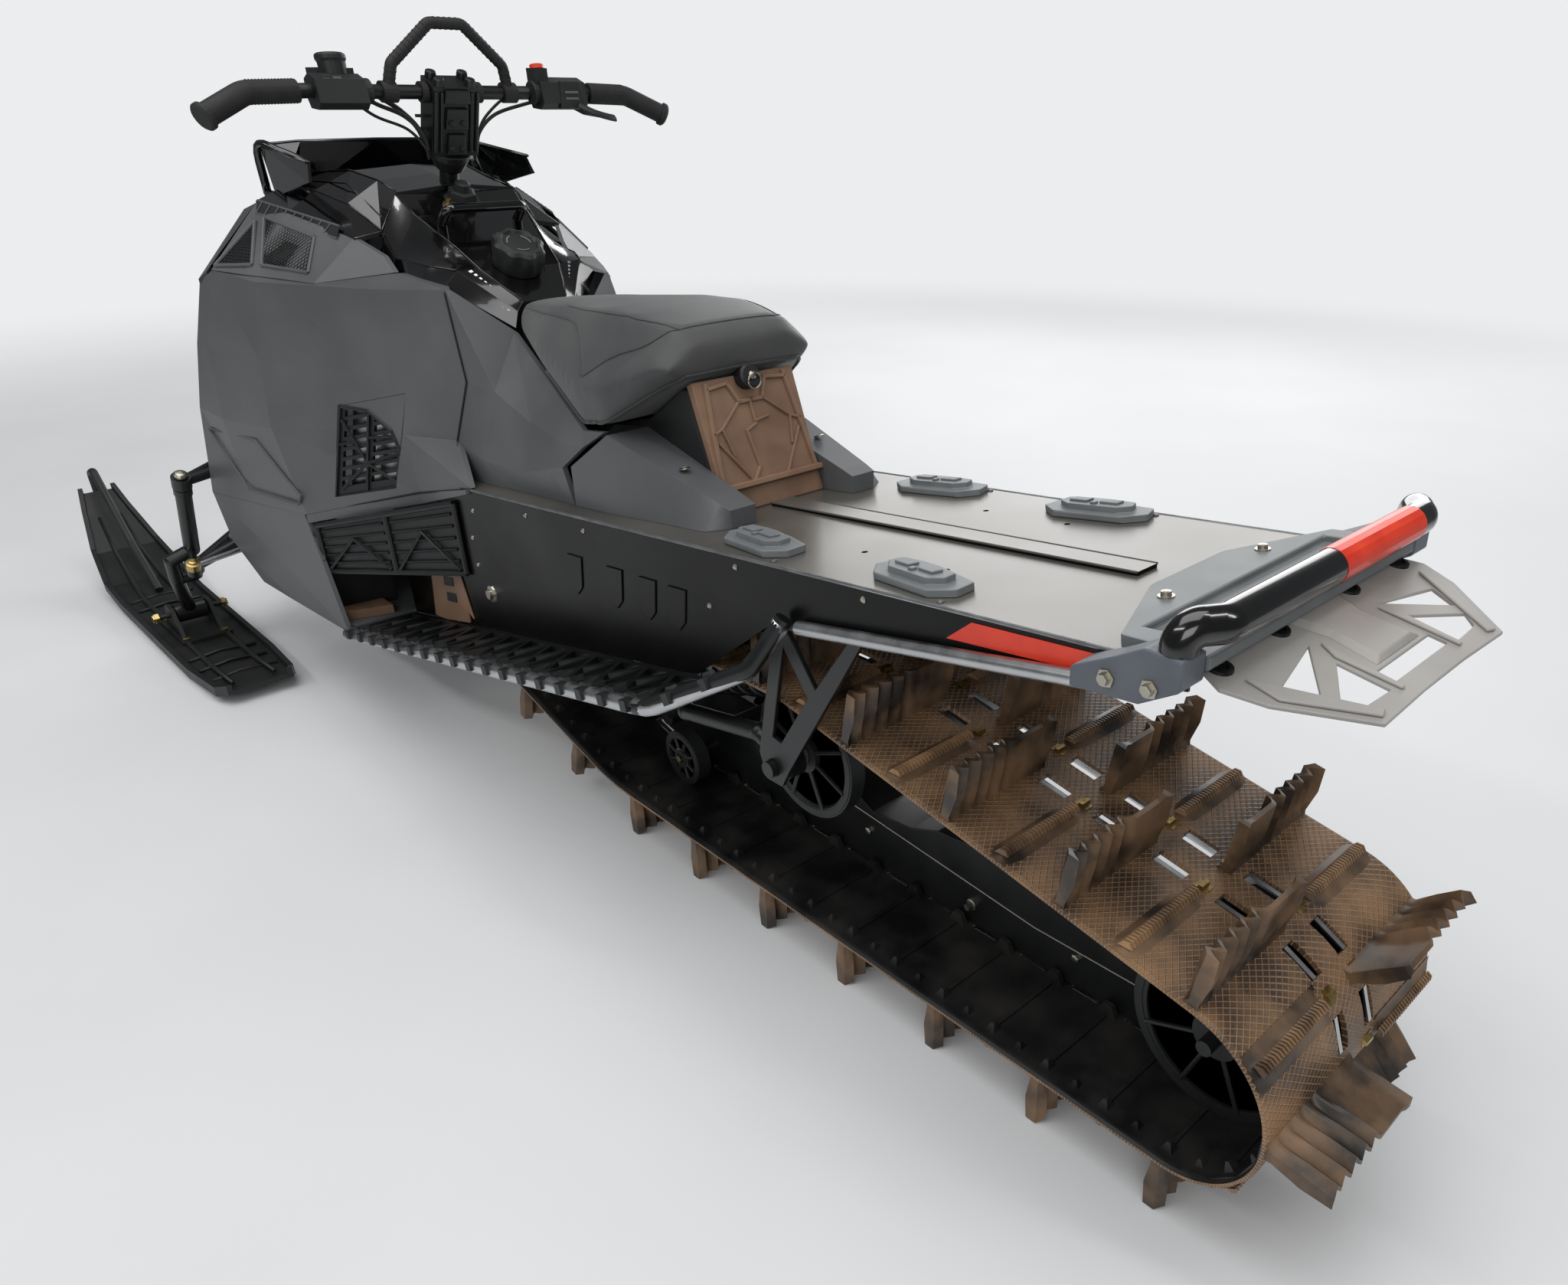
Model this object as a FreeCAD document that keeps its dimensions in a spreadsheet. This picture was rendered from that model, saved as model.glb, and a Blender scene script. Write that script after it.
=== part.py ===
import FreeCAD, Part
import math
import os

import Sketcher

# Snowmobile, deep-snow kind with a long narrow track.
# Millimetres, +X forward, +Y left, +Z up, standing on its lugs and ski keels at Z = 0.
# Every outline is drawn from the rear idler axle, and each sub-part's Placement carries
# it to the middle of the vehicle's length.

doc = FreeCAD.newDocument("snowmobile")
sheet = doc.addObject("Spreadsheet::Sheet", "Sizes")

# Driving dimensions: alias, value
SIZES = (
    ("idler_x", -1472),
    ("fit_gap", 0.3),
    ("track_pitch", 88.9),
    ("track_width", 381),
    ("belt_thick", 7),
    ("lug_height", 76),
    ("idler_radius", 114),
    ("rail_bend_x", 1060),
    ("rail_bend_radius", 500),
    ("driver_radius", 95.5),
    ("driver_height", 318),
    ("driver_setback", 200),
    ("upper_idler_x", 639),
    ("upper_idler_height", 326),
    ("upper_idler_radius", 98),
    ("bogie_x", 1035),
    ("bogie_radius", 48),
    ("arm_shaft_radius", 12),
    ("beam_half_width", 36),
    ("tunnel_half", 207),
    ("tunnel_wall", 3),
    ("tunnel_front", 1800),
    ("deck_clearance", 116.92),
    ("deck_fall", 0.1128),
    ("ridge_width", 36),
    ("rack_bolt_radius", 4.2),
    ("rack_bolt_x", 545),
    ("rack_bolt_half", 110),
    ("bracket_plate", 7),
    ("board_outer_rear", 313),
    ("board_outer_front", 336),
    ("board_rear_x", 766),
    ("board_front_x", 1810),
    ("board_height", 305),
    ("board_height_x", 1294),
    ("board_fall", 0.2137),
    ("board_thick", 12),
    ("board_edge_radius", 11),
    ("panel_skin", 8),
    ("seat_base_half", 88),
    ("fuel_cap_radius", 46),
    ("engine_length", 430),
    ("engine_width", 340),
    ("engine_height", 470),
    ("frame_half", 152.7),
    ("caster_angle", 29),
    ("kingpin_half", 434),
    ("upper_ball_x", 2290),
    ("upper_ball_height", 409),
    ("lower_ball_height", 190),
    ("ball_housing_radius", 18),
    ("ball_housing_length", 26),
    ("ball_stud_radius", 7),
    ("steer_arm_back", 70),
    ("steer_arm_out", 21),
    ("ski_bolt_x", 2498),
    ("ski_half_stance", 452),
    ("ski_bolt_height", 62),
    ("ski_bolt_radius", 6),
    ("post_x", 1752),
    ("post_rise", 20),
    ("post_rake", 24.7),
    ("post_radius", 16),
    ("bar_rise", 138),
    ("bar_radius", 11),
    ("grip_half", 392),
)
for row, (alias, value) in enumerate(SIZES, start=1):
    sheet.set("A%d" % row, alias)
    sheet.set("B%d" % row, str(value))
    sheet.setAlias("B%d" % row, alias)
doc.recompute()


def size(alias):
    return float(sheet.get(alias))


V = FreeCAD.Vector
AXIS_Y = V(0, 1, 0)
GAP = size("fit_gap")
subparts = []


def keep(item, label):
    """Names a sub-part, carries it to the vehicle's frame and lists it for export."""
    item.Label = label
    offset = item.Placement.Base.x
    item.setExpression("Placement.Base.x", "Sizes.idler_x + (%r)" % offset)
    subparts.append(item)
    return item


def feature(label, shape):
    item = doc.addObject("Part::Feature", label)
    item.Shape = shape
    return keep(item, label)


def origin_plane(body, role):
    return next(f for f in body.Origin.OriginFeatures if f.Role == role)


def outline_sketch(body, name, plane, loops, circles=()):
    """Closed line outlines and (a, b, radius) circles on one of the body's planes."""
    sketch = body.newObject("Sketcher::SketchObject", name)
    sketch.AttachmentSupport = [(origin_plane(body, plane), "")]
    sketch.MapMode = "FlatFace"
    for loop in loops:
        points = [V(a, b, 0) for a, b in loop]
        first = sketch.GeometryCount
        last = first + len(points) - 1
        for start, end in zip(points, points[1:] + points[:1]):
            sketch.addGeometry(Part.LineSegment(start, end))
        for line in range(first, last + 1):
            follower = line + 1 if line < last else first
            sketch.addConstraint(Sketcher.Constraint("Coincident", line, 2, follower, 1))
    for a, b, radius in circles:
        sketch.addGeometry(Part.Circle(V(a, b, 0), V(0, 0, 1), radius))
    return sketch


def pad_body(label, loops, length, circles=(), plane="XZ_Plane"):
    """A body padded evenly to both sides of a plane: length is an expression on the sheet."""
    body = doc.addObject("PartDesign::Body", label)
    pad = body.newObject("PartDesign::Pad", label + "_pad")
    pad.Profile = outline_sketch(body, label + "_outline", plane, loops, circles)
    pad.Midplane = True
    pad.setExpression("Length", length)
    return body


def turned_body(label, profile):
    """A body turned about its own Y axis from a closed profile of (y, radius) points."""
    body = doc.addObject("PartDesign::Body", label)
    sketch = outline_sketch(body, label + "_profile", "YZ_Plane", [profile])
    turn = body.newObject("PartDesign::Revolution", label + "_turn")
    turn.Profile = sketch
    turn.ReferenceAxis = (sketch, ["H_Axis"])
    turn.Angle = 360
    return body


def placed(item, **rules):
    """Binds an object's place to expressions on the sheet."""
    for axis, rule in rules.items():
        item.setExpression("Placement.Base." + axis, rule)
    return item


def with_twin(label, item):
    """A left-hand object and its mirror image as one sub-part of two solids."""
    twin = doc.addObject("Part::Mirroring", label + "_right")
    twin.Source = item
    twin.Normal = AXIS_Y
    both = doc.addObject("Part::Compound", label)
    both.Links = [item, twin]
    return keep(both, label)


def group(label, items):
    together = doc.addObject("Part::Compound", label)
    together.Links = items
    return keep(together, label)


def flip(shape):
    """The right-hand twin of a left-hand shape."""
    return shape.mirror(V(0, 0, 0), AXIS_Y)


def pair(label, shape):
    feature(label, Part.makeCompound([shape, flip(shape)]))


def prism(outline, y_low, y_high):
    """A side outline of (x, z) points, made solid between two values of y."""
    points = [V(x, y_low, z) for x, z in outline]
    return Part.Face(Part.makePolygon(points + points[:1])).extrude(V(0, y_high - y_low, 0))


def slab(outline, z_low, z_high):
    """A plan outline of (x, y) points, made solid between two heights."""
    points = [V(x, y, z_low) for x, y in outline]
    return Part.Face(Part.makePolygon(points + points[:1])).extrude(V(0, 0, z_high - z_low))


def loft(sections):
    """A ruled solid through (x, points) sections that all have as many (y, z) points."""
    wires = []
    for x, points in sections:
        loop = [V(x, y, z) for y, z in points]
        wires.append(Part.makePolygon(loop + loop[:1]))
    return Part.makeLoft(wires, True, True)


def across(half):
    """A whole section from the points of its left half, listed from the left inwards."""
    return half + [(-y, z) for y, z in reversed(half) if abs(y) > 0.01]


def faceted(rows, inward, middle=99):
    """A sheet of flat facets through rows of points, thickened by inward(point).

    From the column called middle on, the facets are the mirror image of those before it.
    """
    rows = [[V(*point) for point in row] for row in rows]
    back = [[point + inward(point) for point in row] for row in rows]
    last_row = len(rows) - 1
    last = len(rows[0]) - 1
    quads = []
    for i in range(last_row):
        for j in range(last):
            front_quad = (rows[i][j], rows[i][j + 1], rows[i + 1][j + 1], rows[i + 1][j])
            back_quad = (back[i][j], back[i + 1][j], back[i + 1][j + 1], back[i][j + 1])
            turn = 1 if j >= middle else 0
            quads.append(front_quad[turn:] + front_quad[:turn])
            quads.append(back_quad[turn:] + back_quad[:turn])
    for j in range(last):
        quads.append((rows[0][j + 1], rows[0][j], back[0][j], back[0][j + 1]))
        quads.append((rows[last_row][j], rows[last_row][j + 1], back[last_row][j + 1], back[last_row][j]))
    for i in range(last_row):
        quads.append((rows[i][0], rows[i + 1][0], back[i + 1][0], back[i][0]))
        quads.append((rows[i + 1][last], rows[i][last], back[i][last], back[i + 1][last]))
    faces = []
    for a, b, c, d in quads:
        faces.append(Part.Face(Part.makePolygon([a, b, c, a])))
        faces.append(Part.Face(Part.makePolygon([a, c, d, a])))
    shell = Part.makeShell(faces)
    shell.sewShape()
    solid = Part.makeSolid(shell)
    if solid.Volume < 0:
        solid.reverse()
    return solid


def rod(start, end, radius):
    run = end - start
    return Part.makeCylinder(radius, run.Length, start, run)


def barrel(centre, axis, length, radius):
    """A cylinder centred on a point."""
    return Part.makeCylinder(radius, length, centre - axis * (length / 2), axis)


def disc(x, z, y_low, y_high, radius):
    return Part.makeCylinder(radius, y_high - y_low, V(x, y_low, z), AXIS_Y)


def tube(points, radius, bend=0.0):
    """A round bar through points, with an arc of the given radius at each corner."""
    edges = []
    start = points[0]
    for before, corner, after in zip(points, points[1:], points[2:]):
        back = (before - corner).normalize()
        on = (after - corner).normalize()
        half = back.getAngle(on) / 2
        reach = bend / math.tan(half)
        enter = corner + back * reach
        leave = corner + on * reach
        middle = corner + (back + on).normalize() * (bend / math.sin(half) - bend)
        if (enter - start).Length > 0.01:
            edges.append(Part.LineSegment(start, enter).toShape())
        edges.append(Part.Arc(enter, middle, leave).toShape())
        start = leave
    edges.append(Part.LineSegment(start, points[-1]).toShape())
    ring = Part.Wire([Part.Circle(points[0], points[1] - points[0], radius).toShape()])
    return Part.Wire(edges).makePipeShell([ring], True, False)


def fused(shapes):
    whole = shapes[0]
    if len(shapes) > 1:
        whole = whole.multiFuse(shapes[1:])
    return whole.removeSplitter()


# Shared places
TUNNEL_HALF = size("tunnel_half")
TUNNEL_INNER = TUNNEL_HALF - size("tunnel_wall")
BEAM_HALF = size("beam_half_width")
SHAFT = size("arm_shaft_radius")


def deck(x):
    """Height of the deck, measured from the lug tips over the upper idlers."""
    tips = size("upper_idler_height") + size("upper_idler_radius") + size("belt_thick")
    over_idlers = tips + size("lug_height") + size("deck_clearance")
    return over_idlers + size("deck_fall") * (size("upper_idler_x") - x)


# The bodywork is drawn for a deck whose rear edge is at DRAWN_DECK. Above its waist it
# moves with the deck, and below its foot it stays with the running boards.
DRAWN_DECK = 696
BODY_FOOT = 430
BODY_WAIST = 535
RISE = deck(0) - DRAWN_DECK


def up(z):
    """A drawn height of the bodywork, carried with the deck."""
    share = (z - BODY_FOOT) / (BODY_WAIST - BODY_FOOT)
    return z + RISE * min(1.0, max(0.0, share))


def raised(rows):
    return tuple(tuple((x, y, up(z)) for x, y, z in row) for row in rows)


def raised_line(points):
    return [(x, up(z)) for x, z in points]


def sections(table):
    """Whole sections, at their heights, from a table of left halves."""
    return [(x, across([(y, up(z)) for y, z in half])) for x, *half in table]


def board(x):
    return size("board_height") + (size("board_height_x") - x) * size("board_fall")


def board_outer(x):
    share = (x - size("board_rear_x")) / (size("board_front_x") - size("board_rear_x"))
    return size("board_outer_rear") + share * (size("board_outer_front") - size("board_outer_rear"))


# Track path: the belt's pitch line goes round these wheels, listed from the rear idler
# forward along the floor and back over the top.
HALF_BELT = size("belt_thick") / 2
IDLER_HEIGHT = size("idler_radius") + size("belt_thick") + size("lug_height")
BELT_FLOOR = IDLER_HEIGHT - size("idler_radius")
PITCH = size("track_pitch")


def path_wheels(driver_x):
    foot = BELT_FLOOR - HALF_BELT
    bend = size("rail_bend_radius")
    return (
        (0.0, IDLER_HEIGHT, size("idler_radius") + HALF_BELT),
        (size("rail_bend_x"), foot + bend, bend),
        (driver_x, size("driver_height"), size("driver_radius") + HALF_BELT),
        (size("upper_idler_x"), size("upper_idler_height"), size("upper_idler_radius") + HALF_BELT),
    )


def path_parts(driver_x):
    """The loop as straight runs and arcs: (kind, length, data), starting under the idler."""
    wheels = path_wheels(driver_x)
    leave = []
    for (ax, az, ar), (bx, bz, br) in zip(wheels, wheels[1:] + wheels[:1]):
        dx = bx - ax
        dz = bz - az
        span = math.hypot(dx, dz)
        lean = math.asin((ar - br) / span)
        heading = math.atan2(dz, dx) + lean
        leave.append((heading, math.sqrt(span * span - (ar - br) ** 2)))
    parts = []
    for place, (x, z, radius) in enumerate(wheels):
        arrive = leave[place - 1][0]
        heading, run = leave[place]
        turn = (heading - arrive) % (2 * math.pi)
        if place:
            parts.append(("arc", radius * turn, (x, z, radius, arrive)))
        start = (x + radius * math.sin(heading), z - radius * math.cos(heading))
        parts.append(("run", run, (start[0], start[1], heading)))
    x, z, radius = wheels[0]
    arrive = leave[-1][0]
    turn = (leave[0][0] - arrive) % (2 * math.pi)
    parts.append(("arc", radius * turn, (x, z, radius, arrive)))
    return parts


def loop_length(driver_x):
    return sum(length for kind, length, data in path_parts(driver_x))


# The belt has a whole number of pitch pairs, as many as fit round a drive axle that sits
# a setback behind the tunnel's front. The axle then moves to where the loop takes them.
PITCHES = 2 * round(loop_length(size("tunnel_front") - size("driver_setback")) / (2 * PITCH))
near = size("rail_bend_x") + 0.7 * size("rail_bend_radius")
far = near + 800
for halving in range(50):
    DRIVER_X = (near + far) / 2
    if loop_length(DRIVER_X) < PITCH * PITCHES:
        near = DRIVER_X
    else:
        far = DRIVER_X
PARTS = path_parts(DRIVER_X)


def belt_at(travel):
    """Place and heading on the pitch line after a travel from under the idler."""
    for kind, length, data in PARTS:
        if travel <= length:
            break
        travel -= length
    if kind == "run":
        x, z, heading = data
        return x + travel * math.cos(heading), z + travel * math.sin(heading), heading
    x, z, radius, arrive = data
    heading = arrive + travel / radius
    return x + radius * math.sin(heading), z - radius * math.cos(heading), heading


def belt_wire(offset, y):
    """The closed loop at a distance outside the pitch line."""
    edges = []
    for kind, length, data in PARTS:
        if kind == "run":
            x, z, heading = data
            out = V(math.sin(heading), 0, -math.cos(heading)) * offset
            along = V(math.cos(heading), 0, math.sin(heading)) * length
            start = V(x, y, z) + out
            edges.append(Part.LineSegment(start, start + along).toShape())
        else:
            x, z, radius, arrive = data
            spots = []
            for share in (0.0, 0.5, 1.0):
                heading = arrive + share * length / radius
                reach = radius + offset
                spots.append(V(x + reach * math.sin(heading), y, z - reach * math.cos(heading)))
            edges.append(Part.Arc(*spots).toShape())
    return Part.Wire(edges)


def on_belt(shape, travel):
    """Carries a shape drawn with X along the belt and Z outwards to its place on the loop."""
    x, z, heading = belt_at(travel)
    turned = shape.copy()
    turned.rotate(V(0, 0, 0), AXIS_Y, 180 - math.degrees(heading))
    turned.translate(V(x, 0, z))
    return turned


PADDLE_INNER = 12
PADDLE_MARGIN = 3
PADDLE_ROOT_HALF = 9
PADDLE_CREST_HALF = 5
CROSS_RIB = (24, 14)


def track():
    """The belt with a tall paddle and a low rib on each pitch, changing sides every pitch."""
    half = size("track_width") / 2
    outer = Part.Face(belt_wire(HALF_BELT, -half)).extrude(V(0, 2 * half, 0))
    inner = Part.Face(belt_wire(-HALF_BELT, -half)).extrude(V(0, 2 * half, 0))
    belt = outer.cut(inner)
    root = HALF_BELT - 1
    tip = HALF_BELT + size("lug_height")
    outer_end = half - PADDLE_MARGIN
    wires = []
    for thick, height in ((PADDLE_ROOT_HALF, root), (PADDLE_CREST_HALF, tip)):
        loop = [(-thick, PADDLE_INNER), (thick, PADDLE_INNER), (thick, outer_end), (-thick, outer_end)]
        points = [V(a, b, height) for a, b in loop]
        wires.append(Part.makePolygon(points + points[:1]))
    paddle = Part.makeLoft(wires, True, True)
    rib_width, rib_height = CROSS_RIB
    rib_corner = V(-rib_width / 2, PADDLE_INNER, root)
    rib = Part.makeBox(rib_width, outer_end - PADDLE_INNER, rib_height, rib_corner)
    pieces = []
    for place in range(PITCHES):
        left, right = (paddle, flip(rib)) if place % 2 == 0 else (rib, flip(paddle))
        pieces.append(on_belt(left, place * PITCH))
        pieces.append(on_belt(right, place * PITCH))
    return belt.multiFuse(pieces)


feature("track", track())

# Rear suspension: one deep beam inside the belt, its wheels, arms and dampers.
BEAM_FOOT = BELT_FLOOR + GAP
ARM_PIVOT = (size("upper_idler_x"), size("upper_idler_height"))
ARM_FOOT = (1120, 168)
FRONT_PIVOT = (1419, 349)
FRONT_FOOT = (1200, 152)
BOGIE = (size("bogie_x"), BELT_FLOOR + size("bogie_radius") + GAP)
BOGIE_AXLE = 8
BEAM_TOP = 190
beam_outline = [
    (-24, 180),
    (-24, 214),
    (40, 240),
    (300, 225),
    (420, 217),
    (494, 209),
    (549, 187),
    (631, 178),
    (673, 200),
    (740, 238),
    (830, 238),
    (930, BEAM_TOP),
    (1290, BEAM_TOP),
    (1310, 172),
    (1240, 128),
    (1180, 107),
    (1060, BEAM_FOOT),
    (110, BEAM_FOOT),
]
beam_holes = [
    (0, IDLER_HEIGHT, 10 + GAP),
    (BOGIE[0], BOGIE[1], BOGIE_AXLE + GAP),
    (ARM_FOOT[0], ARM_FOOT[1], 11 + GAP),
    (FRONT_FOOT[0], FRONT_FOOT[1], 11 + GAP),
]
keep(pad_body("rail_beam", [beam_outline], "2 * Sizes.beam_half_width", beam_holes), "rail_beam")


def wheel_profile(axle_half, axle, near_side, far_side, radius, rim, hub):
    """Two spoked discs on one axle, as half of a profile and its mirror image."""
    web = (near_side + far_side) / 2
    half = [
        (axle_half, 0),
        (axle_half, axle),
        (far_side + 4, axle),
        (far_side + 4, hub),
        (web + 4, hub),
        (web + 4, radius - rim),
        (far_side, radius - rim),
        (far_side, radius),
        (near_side, radius),
        (near_side, radius - rim),
        (web - 4, radius - rim),
        (web - 4, hub),
        (near_side - 4, hub),
        (near_side - 4, axle),
    ]
    return half + [(-y, r) for y, r in reversed(half)]


idlers = turned_body(
    "rear_idlers",
    wheel_profile(118, 10, BEAM_HALF + 24, BEAM_HALF + 54, size("idler_radius") - GAP, 18, 30),
)
placed(idlers, z=str(IDLER_HEIGHT))
bogies = turned_body(
    "bogie_wheels",
    wheel_profile(112, BOGIE_AXLE, 80, 104, size("bogie_radius"), 12, 16),
)
placed(bogies, x="Sizes.bogie_x", z=str(BOGIE[1]))
UPPER_NEAR, UPPER_FAR = 126, 150
upper_radius = size("upper_idler_radius") - GAP
upper_profile = [
    (UPPER_NEAR - 4, SHAFT + GAP),
    (UPPER_FAR + 4, SHAFT + GAP),
    (UPPER_FAR + 4, 28),
    (UPPER_FAR - 8, 28),
    (UPPER_FAR - 8, upper_radius - 20),
    (UPPER_FAR, upper_radius - 14),
    (UPPER_FAR, upper_radius),
    (UPPER_NEAR, upper_radius),
    (UPPER_NEAR, upper_radius - 14),
    (UPPER_NEAR + 8, upper_radius - 20),
    (UPPER_NEAR + 8, 28),
    (UPPER_NEAR - 4, 28),
]
upper_left = turned_body("upper_idler_left", upper_profile)
upper_right = turned_body("upper_idler_right", [(-y, r) for y, r in upper_profile])
for wheel in (upper_left, upper_right):
    placed(wheel, x="Sizes.upper_idler_x", z="Sizes.upper_idler_height")
group("skid_wheels", [idlers, bogies, upper_left, upper_right])

SPROCKET = size("driver_radius") - GAP
axle_half = TUNNEL_INNER - GAP
driver_profile = [(axle_half, 0), (axle_half, 16)]
for near_side, far_side in ((112, 138), (52, 78)):
    driver_profile += [(far_side, 16), (far_side, SPROCKET), (near_side, SPROCKET), (near_side, 16)]
driver_profile += [(-y, r) for y, r in reversed(driver_profile)]
driver = turned_body("drive_axle", driver_profile)
driver.Placement.Base.x = DRIVER_X
placed(driver, z="Sizes.driver_height")
keep(driver, "drive_axle")

# Drop bracket: a triangular truss from the tunnel's side down to the rear arm's shaft
bracket_loops = [
    raised_line([(430, 602), (612, 560), (668, 340), (655, 302), (623, 302), (606, 332)]),
    raised_line([(470, 572), (590, 545), (540, 480)]),
    raised_line([(600, 520), (636, 375), (618, 372), (556, 462)]),
]
bracket = pad_body(
    "drop_bracket", bracket_loops, "Sizes.bracket_plate", [(ARM_PIVOT[0], ARM_PIVOT[1], SHAFT + GAP)]
)
placed(bracket, y="Sizes.tunnel_half - Sizes.tunnel_wall - Sizes.fit_gap - Sizes.bracket_plate / 2")
with_twin("drop_brackets", bracket)


def rear_arm():
    shapes = [disc(ARM_PIVOT[0], ARM_PIVOT[1], -214, 214, SHAFT)]
    shapes.append(disc(756, 338, -178, 178, 11))
    shapes.append(disc(ARM_FOOT[0], ARM_FOOT[1], -74, 74, 11))
    for side in (-1, 1):
        shapes.append(disc(ARM_PIVOT[0], ARM_PIVOT[1], side * 178 - 12, side * 178 + 12, 24))
        path = [
            V(ARM_PIVOT[0], side * 178, ARM_PIVOT[1]),
            V(700, side * 178, 346),
            V(880, side * 178, 310),
            V(1000, side * 112, 256),
            V(ARM_FOOT[0], side * 60, ARM_FOOT[1]),
        ]
        for start, end in zip(path, path[1:]):
            shapes.append(rod(start, end, 13))
        for before, corner in zip(path, path[1:-1]):
            shapes.append(Part.makeSphere(14, corner, corner - before))
        shapes.append(disc(ARM_FOOT[0], ARM_FOOT[1], side * 60 - 14, side * 60 + 14, 18))
    return fused(shapes)


def front_arm():
    shapes = [disc(FRONT_PIVOT[0], FRONT_PIVOT[1], -axle_half, axle_half, SHAFT)]
    shapes.append(disc(FRONT_FOOT[0], FRONT_FOOT[1], -66, 66, 11))
    for side in (-1, 1):
        shapes.append(disc(FRONT_PIVOT[0], FRONT_PIVOT[1], side * 120 - 14, side * 120 + 14, 22))
        shapes.append(disc(FRONT_FOOT[0], FRONT_FOOT[1], side * 54 - 14, side * 54 + 14, 18))
        top = V(FRONT_PIVOT[0], side * 120, FRONT_PIVOT[1])
        shapes.append(rod(top, V(FRONT_FOOT[0], side * 54, FRONT_FOOT[1]), 13))
    return fused(shapes)


feature("skid_arms", Part.makeCompound([rear_arm(), front_arm()]))


def damper(lower, upper, body_radius, coil_radius, ridge, turns, share=0.62):
    """A damper with its coil drawn as a ridged sleeve, one ridge for each turn."""
    run = upper - lower
    unit = V(run).normalize()
    start = run.Length * (1 - share) / 2
    step = run.Length * share / turns
    profile = [V(0, 0, start), V(coil_radius - ridge, 0, start)]
    for turn in range(turns):
        profile.append(V(coil_radius + ridge, 0, start + (turn + 0.5) * step))
        profile.append(V(coil_radius - ridge, 0, start + (turn + 1) * step))
    profile.append(V(0, 0, start + turns * step))
    coil = Part.Face(Part.makePolygon(profile + profile[:1])).revolve(V(0, 0, 0), V(0, 0, 1), 360)
    up = V(0, 0, 1)
    coil.rotate(V(0, 0, 0), up.cross(unit), math.degrees(up.getAngle(unit)))
    coil.translate(lower)
    foot = rod(lower, lower + unit * (start + 10), body_radius * 0.5)
    head = rod(lower + unit * (run.Length - start - 10), upper, body_radius)
    return [coil, foot, head]


def skid_damper(foot_x, pin, pin_radius):
    """From an eye on the beam's top to an eye round a cross tube."""
    eye = 15
    foot = V(foot_x, 0, BEAM_TOP + eye + GAP)
    top = V(pin[0], 0, pin[1])
    shapes = damper(foot, top, 18, 30, 4, 7)
    shapes.append(disc(foot.x, foot.z, -20, 20, eye))
    shapes.append(disc(top.x, top.z, -20, 20, pin_radius + 9))
    return fused(shapes).cut(disc(top.x, top.z, -60, 60, pin_radius + GAP))


rear_damper = skid_damper(1176, (756, 338), 11)
front_damper = skid_damper(1262, FRONT_PIVOT, SHAFT)
feature("skid_dampers", Part.makeCompound([rear_damper, front_damper]))

# Tunnel: a bent sheet over the track, its deck falling gently to the front.
tunnel_front = size("tunnel_front")
wall = size("tunnel_wall")
side_line = [
    (15, deck(15)),
    (tunnel_front, deck(tunnel_front)),
    (tunnel_front, board(tunnel_front)),
    (798, board(798)),
    (613, up(548)),
    (125, up(649)),
    (15, up(672)),
]
tunnel_body = pad_body("tunnel_sheet", [side_line], "2 * Sizes.tunnel_half")
inner_line = [
    (-20, deck(-20) - wall),
    (tunnel_front - wall, deck(tunnel_front - wall) - wall),
    (tunnel_front - wall, 0),
    (-20, 0),
]
inside = tunnel_body.newObject("PartDesign::Pocket", "tunnel_hollow")
inside.Profile = outline_sketch(tunnel_body, "tunnel_inside", "XZ_Plane", [inner_line])
inside.Midplane = True
inside.setExpression("Length", "2 * (Sizes.tunnel_half - Sizes.tunnel_wall)")
RIDGE_HEIGHT = 5
RIDGE_FRONT = 850
ridge_line = [
    (205, deck(205) - 1),
    (RIDGE_FRONT, deck(RIDGE_FRONT) - 1),
    (RIDGE_FRONT, deck(RIDGE_FRONT) + RIDGE_HEIGHT),
    (205, deck(205) + RIDGE_HEIGHT),
]
ridge = tunnel_body.newObject("PartDesign::Pad", "tunnel_ridge")
ridge.Profile = outline_sketch(tunnel_body, "tunnel_ridge_outline", "XZ_Plane", [ridge_line])
ridge.Midplane = True
ridge.setExpression("Length", "Sizes.ridge_width")

# Four bolt holes for a luggage rack, square to the deck
DECK_SLOPE = math.degrees(math.atan(size("deck_fall")))
drills = []
for place, (ahead, side) in enumerate(((0, 1), (0, -1), (-140, 1), (-140, -1))):
    drill = doc.addObject("Part::Cylinder", "rack_drill_%d" % place)
    drill.setExpression("Radius", "Sizes.rack_bolt_radius")
    drill.Height = 40
    x = size("rack_bolt_x") + ahead
    turn = FreeCAD.Rotation(AXIS_Y, DECK_SLOPE)
    mouth = V(x, side * size("rack_bolt_half"), deck(x))
    drill.Placement = FreeCAD.Placement(mouth - turn.multVec(V(0, 0, 20)), turn)
    drills.append(drill)
drill_set = doc.addObject("Part::Compound", "rack_drills")
drill_set.Links = drills
tunnel = doc.addObject("Part::Cut", "tunnel")
tunnel.Base = tunnel_body
tunnel.Tool = drill_set
keep(tunnel, "tunnel")

BOARD_BAYS = 14
BOARD_RIM = 9


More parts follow.
